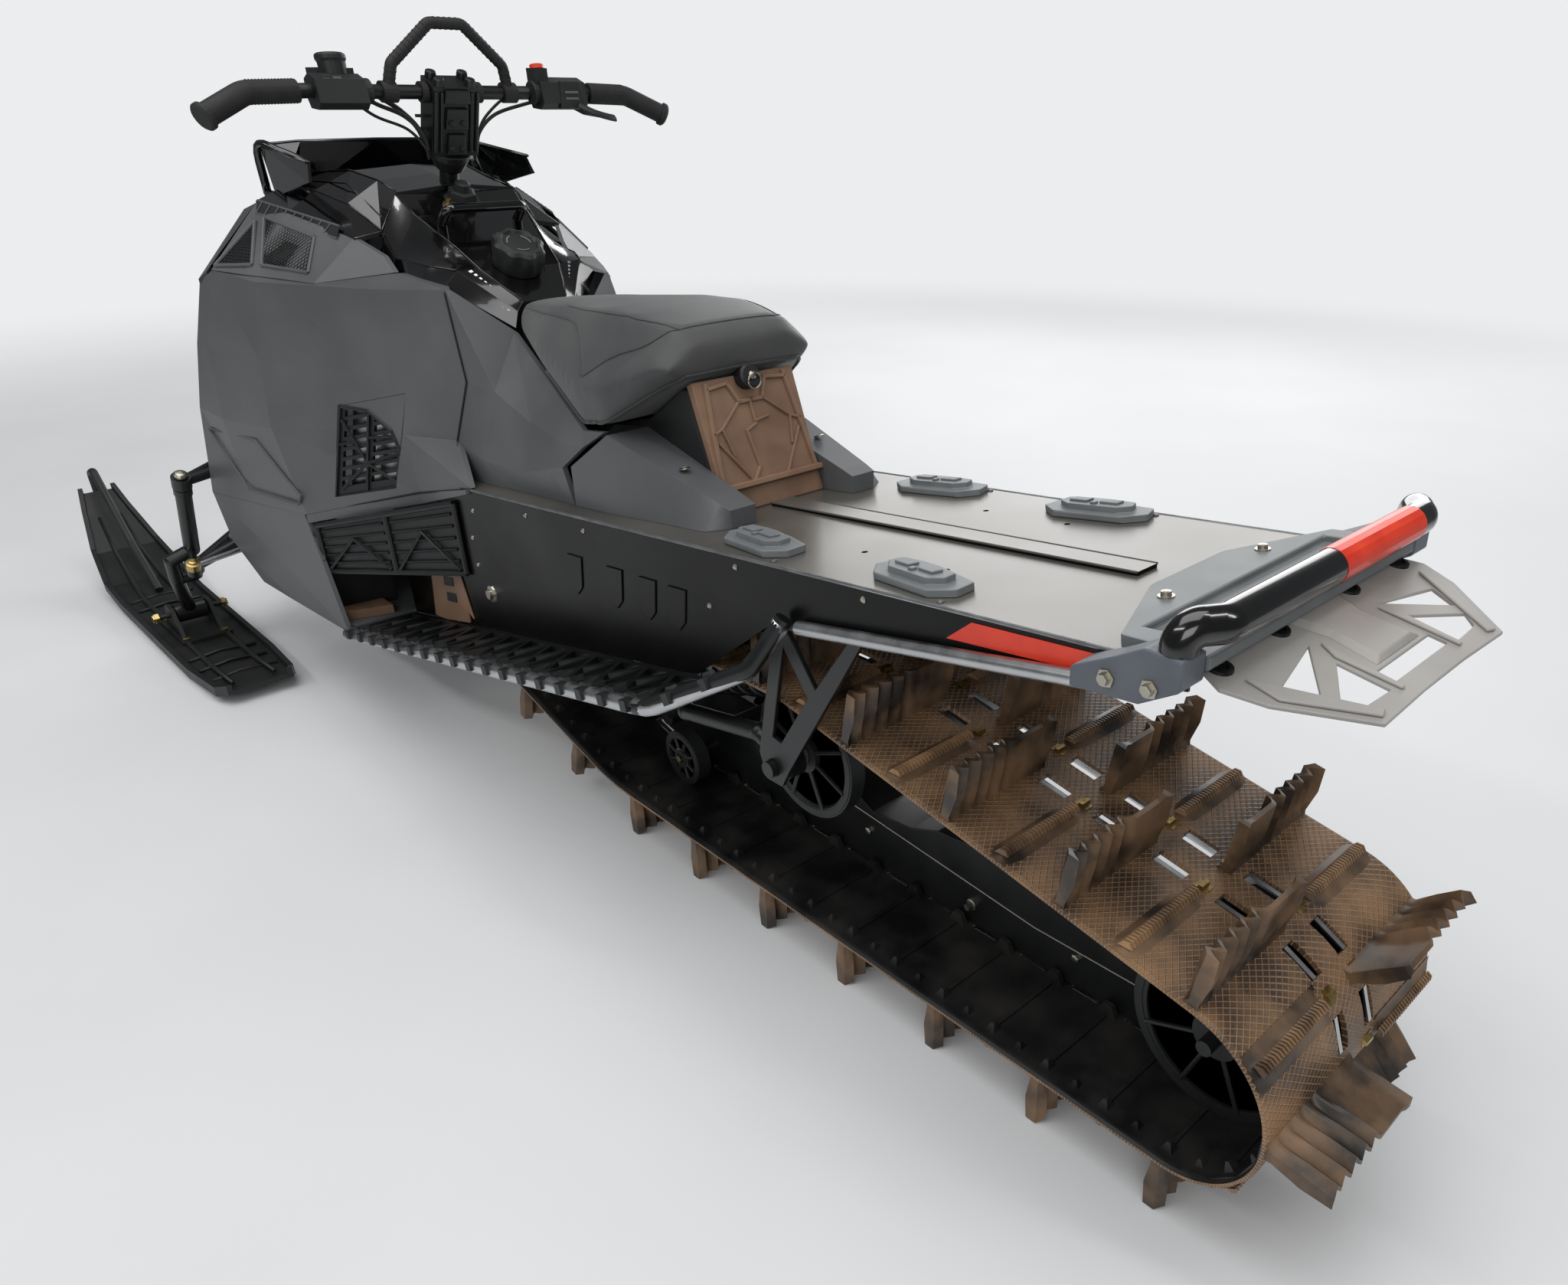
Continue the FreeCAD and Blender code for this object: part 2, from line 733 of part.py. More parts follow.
def running_board():
    """Left board: a sloping open lattice between the tunnel and its edge tube."""
    inner = TUNNEL_HALF + GAP
    rear = size("board_rear_x")
    front = size("board_front_x")
    slope = math.atan(size("board_fall"))
    thick = size("board_thick")
    length = (front - rear) / math.cos(slope)
    outer_rear = board_outer(rear)
    outer_front = board_outer(front)
    plate = slab([(0, inner), (length, inner), (length, outer_front), (0, outer_rear)], -thick, 0)
    bay = length / BOARD_BAYS
    holes = []
    for number in range(BOARD_BAYS):
        start = number * bay + BOARD_RIM / 2
        end = (number + 1) * bay - BOARD_RIM / 2
        edge = outer_rear + (outer_front - outer_rear) * start / length - 14
        low = inner + 12
        centre = (start + end) / 2
        middle = (low + edge) / 2
        for triangle in (
            [(start, low + 6), (start, edge - 6), (centre - 6, middle)],
            [(end, low + 6), (end, edge - 6), (centre + 6, middle)],
            [(start + 8, low), (end - 8, low), (centre, middle - 6)],
            [(start + 8, edge), (end - 8, edge), (centre, middle + 6)],
        ):
            holes.append(slab(triangle, -thick - 1, 1))
    plate = plate.cut(Part.makeCompound(holes))
    plate.rotate(V(0, 0, 0), AXIS_Y, math.degrees(slope))
    plate.translate(V(rear, 0, board(rear)))
    radius = size("board_edge_radius")
    edge_path = [
        V(front, outer_front, board(front) - thick / 2),
        V(rear, outer_rear, board(rear) - thick / 2),
        V(600, 255, up(506)),
        V(573, TUNNEL_HALF + radius + GAP, up(571)),
    ]
    return fused([plate, tube(edge_path, radius, 30)])


pair("running_boards", running_board())

RAIL_R = 9


def edge_rail():
    """The tube under the tunnel's lower edge, back from the board to the bumper bracket."""
    y = TUNNEL_HALF + RAIL_R + GAP
    return tube([V(548, y, up(566)), V(125, y, up(649))], RAIL_R)


pair("tunnel_edge_rails", edge_rail())

# Rear end: bumper, its brackets, end cap and snow flap
BUMPER_FOOT = 719
BUMPER_TOP = 740
bracket_line = [(118, 655), (42, 664), (0, 690), (0, BUMPER_FOOT), (40, BUMPER_FOOT), (72, 700), (118, 676)]
bumper_bracket = pad_body("bumper_bracket", [raised_line(bracket_line)], "38")
BUMPER_HALF = TUNNEL_HALF + GAP + 19
placed(bumper_bracket, y=str(BUMPER_HALF))
with_twin("bumper_brackets", bumper_bracket)
BUMPER_R = 18
BUMPER_BEND = 19
bumper_leg = [
    V(16, BUMPER_HALF, up(BUMPER_FOOT) + GAP),
    V(16, BUMPER_HALF, up(BUMPER_TOP)),
    V(-6, BUMPER_HALF - 34, up(BUMPER_TOP)),
]
bumper_line = bumper_leg + [V(p.x, -p.y, p.z) for p in reversed(bumper_leg)]
feature("rear_bumper", tube(bumper_line, BUMPER_R, BUMPER_BEND))


def on_deck(shape, x):
    """Turns a shape drawn flat at X = 0 to the deck's slope and sets it on the deck at x."""
    moved = shape.copy()
    moved.rotate(V(0, 0, 0), AXIS_Y, DECK_SLOPE)
    moved.translate(V(x, 0, deck(x) + GAP))
    return moved


def both_sides(outline):
    return outline + [(x, -y) for x, y in reversed(outline)]


cap_outline = both_sides([(155, 66), (95, 200), (-2, 204)])
end_cap = slab(cap_outline, 0, 14).cut(slab(both_sides([(88, 172), (58, 172)]), 6, 20))
feature("rear_end_cap", on_deck(end_cap, 0))

FLAP_SLOPE = math.degrees(math.atan2(22, 138))
flap_loops = [
    both_sides([(18, 190), (-15, 206), (-56, 191), (-134, 130), (-131, 44)]),
    [(-26, 71), (-78, 141), (-47, 156)],
    [(-57, 74), (-93, 133), (-109, 117), (-111, 73)],
    [(-26, -71), (-78, -141), (-47, -156)],
    [(-57, -74), (-93, -133), (-109, -117), (-111, -73)],
    [(-88, -58), (-88, 58), (-107, 58), (-107, -58)],
]
flap = pad_body("snow_flap", flap_loops, "4", plane="XY_Plane")
flap.Placement = FreeCAD.Placement(V(0, 0, up(686)), FreeCAD.Rotation(AXIS_Y, -FLAP_SLOPE))
keep(flap, "snow_flap")


def cleat():
    """A low two-step rest for luggage."""
    low = [(-76, 8), (-50, 30), (50, 30), (76, 8), (70, -22), (20, -30), (-20, -30), (-70, -22)]
    high = [(a * 0.7, b * 0.62) for a, b in low]
    return fused([slab(low, 0, 9), slab(high, 8, 17)])


cleats = []
for x, y, yaw in ((685, 158, -8), (398, 158, -8), (685, -165, 8), (398, -165, 8)):
    piece = cleat()
    piece.rotate(V(0, 0, 0), V(0, 0, 1), yaw)
    piece.translate(V(0, y, 0))
    cleats.append(on_deck(piece, x))
feature("deck_cleats", Part.makeCompound(cleats))

# Seat and what carries it
SEAT_SECTIONS = (
    # x, (y, z) at the foot, the middle and the top edge
    (912, (100, 782), (128, 800), (84, 826)),
    (940, (118, 768), (142, 800), (92, 850)),
    (1040, (158, 706), (168, 760), (104, 858)),
    (1120, (150, 688), (160, 750), (100, 856)),
    (1300, (105, 730), (118, 780), (76, 838)),
    (1471, (56, 772), (52, 800), (40, 818)),
)
feature("seat", loft(sections(SEAT_SECTIONS)))

seat_foot = [
    (872, deck(872) + GAP),
    (1380, deck(1380) + GAP),
    (1380, up(749.2)),
    (1300, up(729.5)),
    (1120, up(687.5)),
    (1040, up(705.5)),
    (945, up(764.5)),
    (934, up(764.5)),
]
base_rear = pad_body("seat_base_rear", [seat_foot], "2 * Sizes.seat_base_half")
narrowing = doc.addObject("Part::Box", "seat_base_side")
narrowing.Length = 300
narrowing.Width = 40
narrowing.Height = 300
narrowing.Placement.Base = V(1100, 72, 500)
narrowing_twin = doc.addObject("Part::Mirroring", "seat_base_side_right")
narrowing_twin.Source = narrowing
narrowing_twin.Normal = AXIS_Y
narrowings = doc.addObject("Part::Compound", "seat_base_sides")
narrowings.Links = [narrowing, narrowing_twin]
seat_base = doc.addObject("Part::Cut", "seat_base")
seat_base.Base = base_rear
seat_base.Tool = narrowings
keep(seat_base, "seat_base")

rear_panel_line = [
    (858, deck(858) + GAP),
    (871, deck(871) + GAP),
    (933.5, up(770.5)),
    (920.5, up(776.5)),
]
keep(pad_body("seat_rear_panel", [rear_panel_line], "2 * Sizes.seat_base_half"), "seat_rear_panel")

COVER_INNER = size("seat_base_half") + GAP
COVER_SECTIONS = (
    # x, (y, z) at the outer top edge, y at the outer foot, z at the inner top edge
    (792, (131, 633), 129, 633),
    (814, (134, 639), 160, 639),
    (1043, (158, 693), 172, 693),
    (1138, (171, 629), 172, 679),
)
cover_stations = []
for x, (top_y, top_z), foot_y, inner_z in COVER_SECTIONS:
    foot_z = deck(x) + GAP
    outer = [(foot_y, foot_z), (top_y, up(top_z))]
    section = outer + [(COVER_INNER, up(inner_z)), (COVER_INNER, foot_z)]
    cover_stations.append((x, section))
pair("rear_covers", loft(cover_stations))

# Side bodywork: flat facets through columns of points, from the rear forwards. Behind the
# crease both the panel and its grille lie in the upright plane x - 2 y = SIDE_PLANE.
SKIN = size("panel_skin")
SIDE_PLANE = 1210
SIDE_COLUMNS = raised(
    (
        # lower edge, waist, shoulder, top, ledge beside the console
        ((1430, 205, 537), (1538, 166, 590), (1500, 147, 692), (1513, 150, 842), (1532, 142, 844)),
        ((1622, 217, 489), (1640, 216, 590), (1640, 216, 692), (1640, 215, 836), (1655, 160, 855)),
        ((1878, 336, 414), (1906, 348, 576), (1895, 342, 700), (1872, 322, 834), (1875, 312, 841)),
        ((2100, 362, 392), (2110, 372, 560), (2100, 366, 700), (1984, 353, 845), (1984, 345, 847)),
        ((2300, 383, 372), (2250, 372, 560), (2165, 365, 695), (2070, 355, 818), (2070, 347, 820)),
        ((2275, 345, 372), (2232, 335, 545), (2215, 300, 690), (2165, 268, 815), (2160, 260, 817)),
    )
)
KNEE_COLUMNS = raised(
    (
        # foot on the deck, waist, shoulder, top edge under the seat
        ((1142, 172, 567), (1155, 176, 625), (1100, 168, 665), (1045, 160, 697)),
        ((1200, 169, 560), (1210, 174, 610), (1170, 165, 660), (1120, 152, 684)),
        ((1300, 168, 548), (1300, 172, 585), (1290, 150, 665), (1290, 107, 722)),
        ((1440, 168, 532), (1440, 170, 575), (1420, 140, 690), (1470, 66, 768)),
        ((1537, 167, 522), (1537.3, 166, 590), (1499.3, 147, 692), (1512.3, 150, 842)),
    )
)


def turned_in(point):
    return V(0, -SKIN, 0)


def largest(shape):
    return max(shape.Solids, key=lambda solid: solid.Volume)


def clear_of(shape, others):
    """What is left of a shape beside others, as one solid."""
    return largest(shape.cut(Part.makeCompound(others)))


tunnel_room = prism(
    [
        (0, deck(0) + GAP),
        (tunnel_front + GAP, deck(tunnel_front) + GAP),
        (tunnel_front + GAP, 150),
        (0, 150),
    ],
    -TUNNEL_HALF - GAP,
    TUNNEL_HALF + GAP,
)


def on_side_plane(shape):
    """Carries a shape drawn with X along the side's plane and Y outwards to its place."""
    turned = shape.copy()
    turned.rotate(V(0, 0, 0), V(0, 0, 1), math.degrees(math.atan2(1, 2)))
    turned.translate(V(SIDE_PLANE, 0, 0))
    return turned


def between(a, b, share):
    return tuple(p + share * (q - p) for p, q in zip(a, b))


# The grille's corners along the plane and in height
GRILLE = raised_line([(608, 631), (460, 664), (518, 491), (666, 458)])
GRILLE_RIM = 0.06
GRILLE_SLOTS = 8


def side_grille():
    """A framed grille of level slots crossed by one leaning rib."""
    top_front, top_rear, low_rear, low_front = GRILLE
    plate = prism(GRILLE, -9, -1)
    slots = []
    step = (1 - 2 * GRILLE_RIM) / GRILLE_SLOTS
    for number in range(GRILLE_SLOTS):
        high = GRILLE_RIM + number * step
        low = high + 0.62 * step
        for near_share, far_share in ((0.07, 0.46), (0.54, 0.93)):
            corners = []
            spots = ((high, near_share), (high, far_share), (low, far_share), (low, near_share))
            for level, share in spots:
                front = between(top_front, low_front, level)
                rear = between(top_rear, low_rear, level)
                corners.append(between(front, rear, share))
            slots.append(prism(corners, -12, 2))
    return on_side_plane(plate.cut(Part.makeCompound(slots)))


grille_middle = (sum(u for u, z in GRILLE) / 4, sum(z for u, z in GRILLE) / 4)
grille_edge = [between(grille_middle, corner, 1.008) for corner in GRILLE]
grille_room = on_side_plane(prism(grille_edge, -40, 30))

CONSOLE_SECTIONS = (
    # x, (y, z) at the low edge, the shoulder and the top
    (1472, (60, 776), (52, 802), (40, 817)),
    (1540, (139, 842), (112, 866), (70, 862)),
    (1600, (149, 845), (136, 870), (80, 895)),
    (1690, (153, 860), (149, 875), (100, 940)),
    (1740, (150, 868), (143, 908), (108, 972)),
)
CONSOLE_TOP_SLOPE = math.atan2(48, 82)
console = loft(sections(CONSOLE_SECTIONS))


def side_in(point):
    """Inwards, and back where the panel folds in at its front edge."""
    if tuple(point) in SIDE_COLUMNS[-1]:
        return V(-SKIN, 0, 0)
    if tuple(point) in SIDE_COLUMNS[-2]:
        return V(-SKIN - 2, -6, 0)
    return V(0, -SKIN, 0)


side_raw = faceted(SIDE_COLUMNS, side_in)
left_side = clear_of(side_raw, [tunnel_room, grille_room, console])
pair("side_panels", left_side)
pair("side_grilles", side_grille())
left_knee = clear_of(faceted(KNEE_COLUMNS, turned_in), [tunnel_room, side_raw, console])
pair("knee_panels", left_knee)

HOOD_TOP = 985
HOOD_SECTIONS = (
    # x, (y, z) at the edge, the shoulder, the rise, the top and the middle
    (1741, (190, 907), (143, 915), (105, 975), (0, HOOD_TOP)),
    (1823, (212, 924), (160, 955), (100, 990), (0, 998)),
    (1910, (230, 940), (180, 972), (110, 1002), (0, 1010)),
    (2015, (246, 952), (190, 975), (110, 996), (0, 1002)),
)
NOSE_SECTIONS = (
    # x, (y, z) at the low edge, the edge, the shoulder, the top and the middle
    (2018, (353, 840), (246, 948), (185, 972), (110, 994), (0, 1000)),
    (2070, (356, 822), (252, 935), (182, 962), (105, 980), (0, 985)),
    (2180, (280, 806), (240, 890), (170, 918), (98, 935), (0, 938)),
    (2262, (288, 684), (222, 836), (158, 868), (94, 890), (0, 893)),
    (2440, (210, 600), (165, 720), (120, 750), (80, 770), (0, 773)),
    (2620, (130, 566), (95, 612), (75, 622), (50, 632), (0, 634)),
)


def turned_down(point):
    return V(0, 0, -SKIN)


def shell_rows(table):
    return [[(x, y, z) for y, z in section] for x, section in sections(table)]


CASTER = math.radians(size("caster_angle"))
KINGPIN = V(-math.sin(CASTER), 0, math.cos(CASTER))
RAKE = math.radians(size("post_rake"))
POST_UP = V(-math.sin(RAKE), 0, math.cos(RAKE))
POST_FOOT = V(size("post_x"), 0, up(HOOD_TOP) + size("post_rise"))
POST_R = size("post_radius")
post_room = rod(POST_FOOT - POST_UP * 90, POST_FOOT + POST_UP * 60, POST_R + GAP)
hood = faceted(shell_rows(HOOD_SECTIONS), turned_down, 4)
hood = clear_of(hood, [post_room])
feature("hood", hood)

VENT_COLUMNS = raised(
    (
        # lower edge over the side panel, upper edge under the hood
        ((1664, 166, 856), (1690, 168, 880)),
        ((1757, 266, 838), (1745, 190, 906)),
        ((1824, 293, 841), (1822, 214, 922)),
        ((1909, 326, 843), (1912, 231, 937)),
        ((1984, 354, 846), (2014, 247, 948)),
    )
)
vent = faceted(VENT_COLUMNS, turned_in)
vent = clear_of(vent, [side_raw, hood, console])
pair("vent_frames", vent)

nose_raw = faceted(shell_rows(NOSE_SECTIONS), turned_down, 4)
LAMP_X, LAMP_INNER, LAMP_DEPTH, LAMP_WIDTH = 2290, 120, 120, 115
lamp_room = []
lamps = []
for side in (1, -1):
    low = LAMP_INNER if side == 1 else -LAMP_INNER - LAMP_WIDTH
    corner = V(LAMP_X, low, up(600))
    lamp_box = Part.makeBox(LAMP_DEPTH, LAMP_WIDTH, 400, corner)
    deep, wide = LAMP_DEPTH + 2 * GAP, LAMP_WIDTH + 2 * GAP
    lamp_hole = Part.makeBox(deep, wide, 400, corner - V(GAP, GAP, 0))
    lamps.append(largest(nose_raw.common(lamp_box)))
    lamp_room.append(lamp_hole)
nose = clear_of(nose_raw, [side_raw, flip(side_raw), vent, flip(vent)] + lamp_room)
feature("nose", nose)
feature("headlights", Part.makeCompound(lamps))

# Fuel cap, sunk into the console square to its slope
CAP_R = size("fuel_cap_radius")
CAP_FOOT = V(1552, 0, up(869))
CAP_UP = V(-math.sin(CONSOLE_TOP_SLOPE), 0, math.cos(CONSOLE_TOP_SLOPE))
cap_room = rod(CAP_FOOT - CAP_UP * 6, CAP_FOOT + CAP_UP * 60, CAP_R + GAP)
feature("console", clear_of(console, [cap_room]))
cap = rod(CAP_FOOT - CAP_UP * (6 - GAP), CAP_FOOT + CAP_UP * 16, CAP_R)
feature("fuel_cap", fused([cap, rod(CAP_FOOT, CAP_FOOT + CAP_UP * 24, 0.62 * CAP_R)]))

console_bar = [V(1674, 69, up(920)), V(1634, 69, up(953))]
console_bar += [V(p.x, -p.y, p.z) for p in reversed(console_bar)]
feature("console_tube", clear_of(tube(console_bar, 8, 10), [console]))

SCREEN_THICK = 5


def screen_in(point):
    side = (point.y > 1) - (point.y < -1)
    ahead = 1 if point.x > 2000 else 0
    return V(-SCREEN_THICK * ahead, -SCREEN_THICK * side, 0)


SCREEN_HALVES = raised(
    (
        ((1840, 208, 990), (2030, 205, 956), (2110, 150, 946), (2140, 0, 948)),
        ((1850, 200, 1022), (2070, 200, 1040), (2058, 140, 1045), (2050, 0, 1047)),
    )
)
screen_rows = []
for half in SCREEN_HALVES:
    screen_rows.append(list(half) + [(x, -y, z) for x, y, z in reversed(half[:-1])])
screen = faceted(screen_rows, screen_in, 3)
feature("windshield", clear_of(screen, [nose_raw, hood]))

# Engine and front structure
FLOOR_TOP = 198
ENGINE_X = 1830
ENGINE_FOOT = 250
engine = doc.addObject("Part::Box", "engine")
engine.setExpression("Length", "Sizes.engine_length")
engine.setExpression("Width", "Sizes.engine_width")
engine.setExpression("Height", "Sizes.engine_height")
engine.setExpression("Placement.Base.y", "-Sizes.engine_width / 2")
engine.Placement.Base.x = ENGINE_X
engine.Placement.Base.z = ENGINE_FOOT
feet = [engine]
for place, (x, y) in enumerate(((1870, 90), (1870, -150), (2170, 90), (2170, -150))):
    foot = doc.addObject("Part::Box", "engine_foot_%d" % place)
    foot.Length = 60
    foot.Width = 60
    foot.Height = ENGINE_FOOT + 2 - FLOOR_TOP - GAP
    foot.Placement.Base = V(x, y, FLOOR_TOP + GAP)
    feet.append(foot)
engine_block = doc.addObject("Part::MultiFuse", "engine_block")
engine_block.Shapes = feet
keep(engine_block, "engine_block")
PIPE_R = 36
pipe_path = [V(ENGINE_X - GAP, 128, up(640)), V(1745, 203, up(606)), V(1745, 203, up(512))]
engine_side = Part.makeBox(100, 400, 400, V(ENGINE_X - GAP, 0, 500))
feature("exhaust_pipe", clear_of(tube(pipe_path, PIPE_R, 42), [engine_side]))

FRAME_REAR = 2306
FRAME_HALF = size("frame_half")
PITMAN_AHEAD = 60
frame_loops = [
    [
        (FRAME_REAR, FLOOR_TOP + GAP),
        (2334, FLOOR_TOP + GAP),
        (2334, 300),
        (2574, 300),
        (2574, FLOOR_TOP + GAP),
        (2600, FLOOR_TOP + GAP),
        (2620, 420),
        (2560, 560),
        (FRAME_REAR, 600),
    ],
    [(2350, 330), (2440, 330), (2440, 400), (2350, 400)],
    [(2470, 330), (2580, 330), (2586, 400), (2470, 400)],
    [(2360, 462), (2470, 462), (2400, 560), (2360, 566)],
]
frame_body = pad_body("front_frame_plate", frame_loops, "2 * Sizes.frame_half")
frame_bits = [frame_body]
LUG_DEPTH = 32
for place, (x, side) in enumerate(((2393, 1), (2393, -1), (2545, 1), (2545, -1))):
    lug = doc.addObject("Part::Box", "frame_lug_%d" % place)
    lug.Length = 28
    lug.Width = LUG_DEPTH
    lug.Height = 44
    lug.Placement.Base = V(x, FRAME_HALF - LUG_DEPTH if side == 1 else -FRAME_HALF, 258)
    frame_bits.append(lug)

KING_Y = size("kingpin_half")
UPPER = V(size("upper_ball_x"), KING_Y, size("upper_ball_height"))
drop = size("upper_ball_height") - size("lower_ball_height")
LOWER = V(UPPER.x + drop * math.tan(CASTER), KING_Y, size("lower_ball_height"))
HOUSING_R = size("ball_housing_radius")
HOUSING_L = size("ball_housing_length")
STUD_R = size("ball_stud_radius")
ARM_BACK = V(-math.cos(CASTER), 0, -math.sin(CASTER)) * size("steer_arm_back")
ARM_OUT = V(0, size("steer_arm_out"), 0)
STEER_FOOT = LOWER + KINGPIN * 60
TIE_OUTER = STEER_FOOT + ARM_BACK + ARM_OUT
PITMAN = V(STEER_FOOT.x + PITMAN_AHEAD, 0, STEER_FOOT.z + PITMAN_AHEAD * math.tan(CASTER))
PITMAN_PIN = 8
pin = doc.addObject("Part::Cylinder", "pitman_pin")
pin.Radius = PITMAN_PIN
pin.Height = 44
pin_turn = FreeCAD.Rotation(V(0, 0, 1), KINGPIN)
pin.Placement = FreeCAD.Placement(PITMAN - KINGPIN * 10, pin_turn)
frame_bits.append(pin)
front_frame = doc.addObject("Part::MultiFuse", "front_frame")
front_frame.Shapes = frame_bits
keep(front_frame, "front_frame")

GUARD_R = 14
guard_half = FRAME_HALF + GUARD_R + GAP
guard_path = [V(2556, guard_half, 395), V(2654, guard_half, 424), V(2700, 90, 436)]
guard_path += [V(p.x, -p.y, p.z) for p in reversed(guard_path)]
feature("front_bumper", tube(guard_path, GUARD_R, 24))

BELLY_COLUMNS = raised(
    (
        # low edge, waist, edge under the side panel
        ((1812, 336, 190), (1851, 336, 300), (1890, 336, 412.2)),
        ((2060, 352, 190), (2080, 356, 287), (2100, 361.5, 391.4)),
        ((2204, 360, 190), (2303, 372, 262), (2299, 382.5, 371.4)),
    )
)
TRIM_COLUMNS = raised(
    (
        # low and high edge of the strip under the side panel
        ((1432, 214, 528), (1432, 214, 535.5)),
        ((1622, 217, 468), (1622, 217, 488.5)),
        ((1883, 336, 396), (1878, 336, 413.4)),
    )
)


def belly_pan():
    """The floor with its two side walls, in one piece."""
    wall = clear_of(faceted(BELLY_COLUMNS, turned_in), [side_raw])
    floor_line = both_sides([(1812, 334), (2060, 350), (2204, 358), (2300, 148), (2604, 148)])
    floor = slab(floor_line, FLOOR_TOP - 8, FLOOR_TOP)
    return fused([floor, wall, flip(wall)])


belly = belly_pan()
trim = faceted(TRIM_COLUMNS, turned_in)
trim = clear_of(trim, [tunnel_room, side_raw, belly])
feature("belly_pan", Part.makeCompound([belly, trim, flip(trim)]))


def liner_in(point):
    return V(6, 0, 6)


LINER_ROWS = raised(
    (
        ((1645, TUNNEL_HALF + 1, 432), (1752, 258, 418)),
        ((1885, TUNNEL_HALF + 1, 300), (1885, 326, 300)),
        ((1885, TUNNEL_HALF + 1, 198.5), (1885, 326, 198.5)),
    )
)
liner = faceted(LINER_ROWS, liner_in)
pair("footwell_liners", clear_of(liner, [belly, side_raw, trim, tunnel_room]))
toe_block = slab([(1822, 240), (1872, 240), (1884, 320), (1850, 320)], FLOOR_TOP + GAP, 216)
toe_plate = prism([(1540, 357), (1650, 352), (1515, 270)], TUNNEL_HALF + GAP, TUNNEL_HALF + 4)
feature("toe_rests", Part.makeCompound([toe_block, toe_plate, flip(toe_block), flip(toe_plate)]))


def ball_housing(centre):
    return barrel(centre, KINGPIN, HOUSING_L, HOUSING_R)


def ball_bore(centre):
    return barrel(centre, KINGPIN, 2 * HOUSING_L, STUD_R + GAP)


ALONG_X = V(1, 0, 0)


def wishbone(centre, inner_rear, inner_front, radius, hub_length):
    """Two legs from hubs beside the frame out to one ball housing."""
    shapes = [ball_housing(centre)]
    for inner in (inner_rear, inner_front):
        shapes.append(rod(inner, centre + V(0, -4, 0), radius))
        shapes.append(barrel(inner, ALONG_X, hub_length, radius + 6))
    return fused(shapes).cut(ball_bore(centre))


SHOCK_FOOT = V(2434, 330, 224)
SHOCK_HEAD = V(2346, FRAME_HALF + 18 + GAP, 570)
SHOCK_PIN = 9
UPPER_LEG = 11
LOWER_LEG = 12
upper_inner = FRAME_HALF + UPPER_LEG + 6 + GAP
upper_arm = wishbone(UPPER, V(2352, upper_inner, 430), V(2500, upper_inner, 430), UPPER_LEG, 36)
lower_inner = FRAME_HALF + LOWER_LEG + 6 + GAP
lower_arm = wishbone(LOWER, V(2407, lower_inner, 275), V(2560, lower_inner, 275), LOWER_LEG, 28)
shock_rail = (V(2404, SHOCK_FOOT.y, SHOCK_FOOT.z), V(2471, SHOCK_FOOT.y, SHOCK_FOOT.z))
lower_arm = fused([lower_arm, rod(*shock_rail, SHOCK_PIN)])
feature("a_arms", Part.makeCompound([upper_arm, lower_arm, flip(upper_arm), flip(lower_arm)]))


def front_shock():
    shapes = damper(SHOCK_FOOT, SHOCK_HEAD, 18, 28, 4, 8, 0.58)
    shapes.append(barrel(SHOCK_FOOT, ALONG_X, 20, 17))
    shapes.append(barrel(SHOCK_HEAD, ALONG_X, 34, 18))
    return fused(shapes).cut(barrel(SHOCK_FOOT, ALONG_X, 80, SHOCK_PIN + GAP))


pair("front_shocks", front_shock())

# Spindle, on the kingpin axis through both ball joints
SKI_X = size("ski_bolt_x")
SKI_Y = size("ski_half_stance")
SKI_Z = size("ski_bolt_height")
BOLT_R = size("ski_bolt_radius")
SPINDLE_OUT = V(0, 42, 0)


def spindle():
    half = HOUSING_L / 2 + GAP
    top = UPPER - KINGPIN * (half + 3)
    elbow = LOWER + KINGPIN * 52
    knee = elbow + SPINDLE_OUT - KINGPIN * 20
    low = LOWER - KINGPIN * 30
    heel = low + SPINDLE_OUT * 0.9
    shapes = [
        rod(top - KINGPIN * 16, top, 17),
        rod(top - KINGPIN * 8, elbow, 15),
        Part.makeSphere(15, elbow),
        rod(elbow, knee, 14),
        Part.makeSphere(14, knee),
        rod(knee, heel, 14),
        Part.makeSphere(14, heel),
        rod(heel, V(SKI_X, SKI_Y, SKI_Z), 14),
        rod(heel, low, 12),
        rod(low, LOWER - KINGPIN * half, 13),
        rod(top - KINGPIN * 2, UPPER + KINGPIN * (HOUSING_L / 2 - 2), STUD_R),
        rod(low, LOWER + KINGPIN * (HOUSING_L / 2 - 2), STUD_R),
        disc(SKI_X, SKI_Z, SKI_Y - 30, SKI_Y + 30, 21),
        rod(STEER_FOOT, TIE_OUTER, 7.5),
        barrel(TIE_OUTER, KINGPIN, 16, 13),
    ]
    return fused(shapes).cut(disc(SKI_X, SKI_Z, SKI_Y - 80, SKI_Y + 80, BOLT_R + GAP))


left_spindle = spindle()

# Steering link: pitman arm on its own pivot, and a tie rod to each spindle
TIE_HALF = 7.5


def tie_rod():
    lift = KINGPIN * (8 + GAP + TIE_HALF)
    start = TIE_OUTER + lift
    end = PITMAN + ARM_BACK + ARM_OUT + lift
    ends = [barrel(start, KINGPIN, 2 * TIE_HALF, 13), barrel(end, KINGPIN, 2 * TIE_HALF, 13)]
    return fused([rod(start, end, 6)] + ends)


left_tie = tie_rod()


def pitman_arm():
    shapes = [barrel(PITMAN, KINGPIN, 16, 20)]
    for side in (1, -1):
        joint = PITMAN + ARM_BACK + ARM_OUT * side
        shapes.append(rod(PITMAN, joint, 6.5))
        shapes.append(barrel(joint, KINGPIN, 16, 13))
    return fused(shapes).cut(barrel(PITMAN, KINGPIN, 60, PITMAN_PIN + GAP))


feature("pitman_arm", pitman_arm())

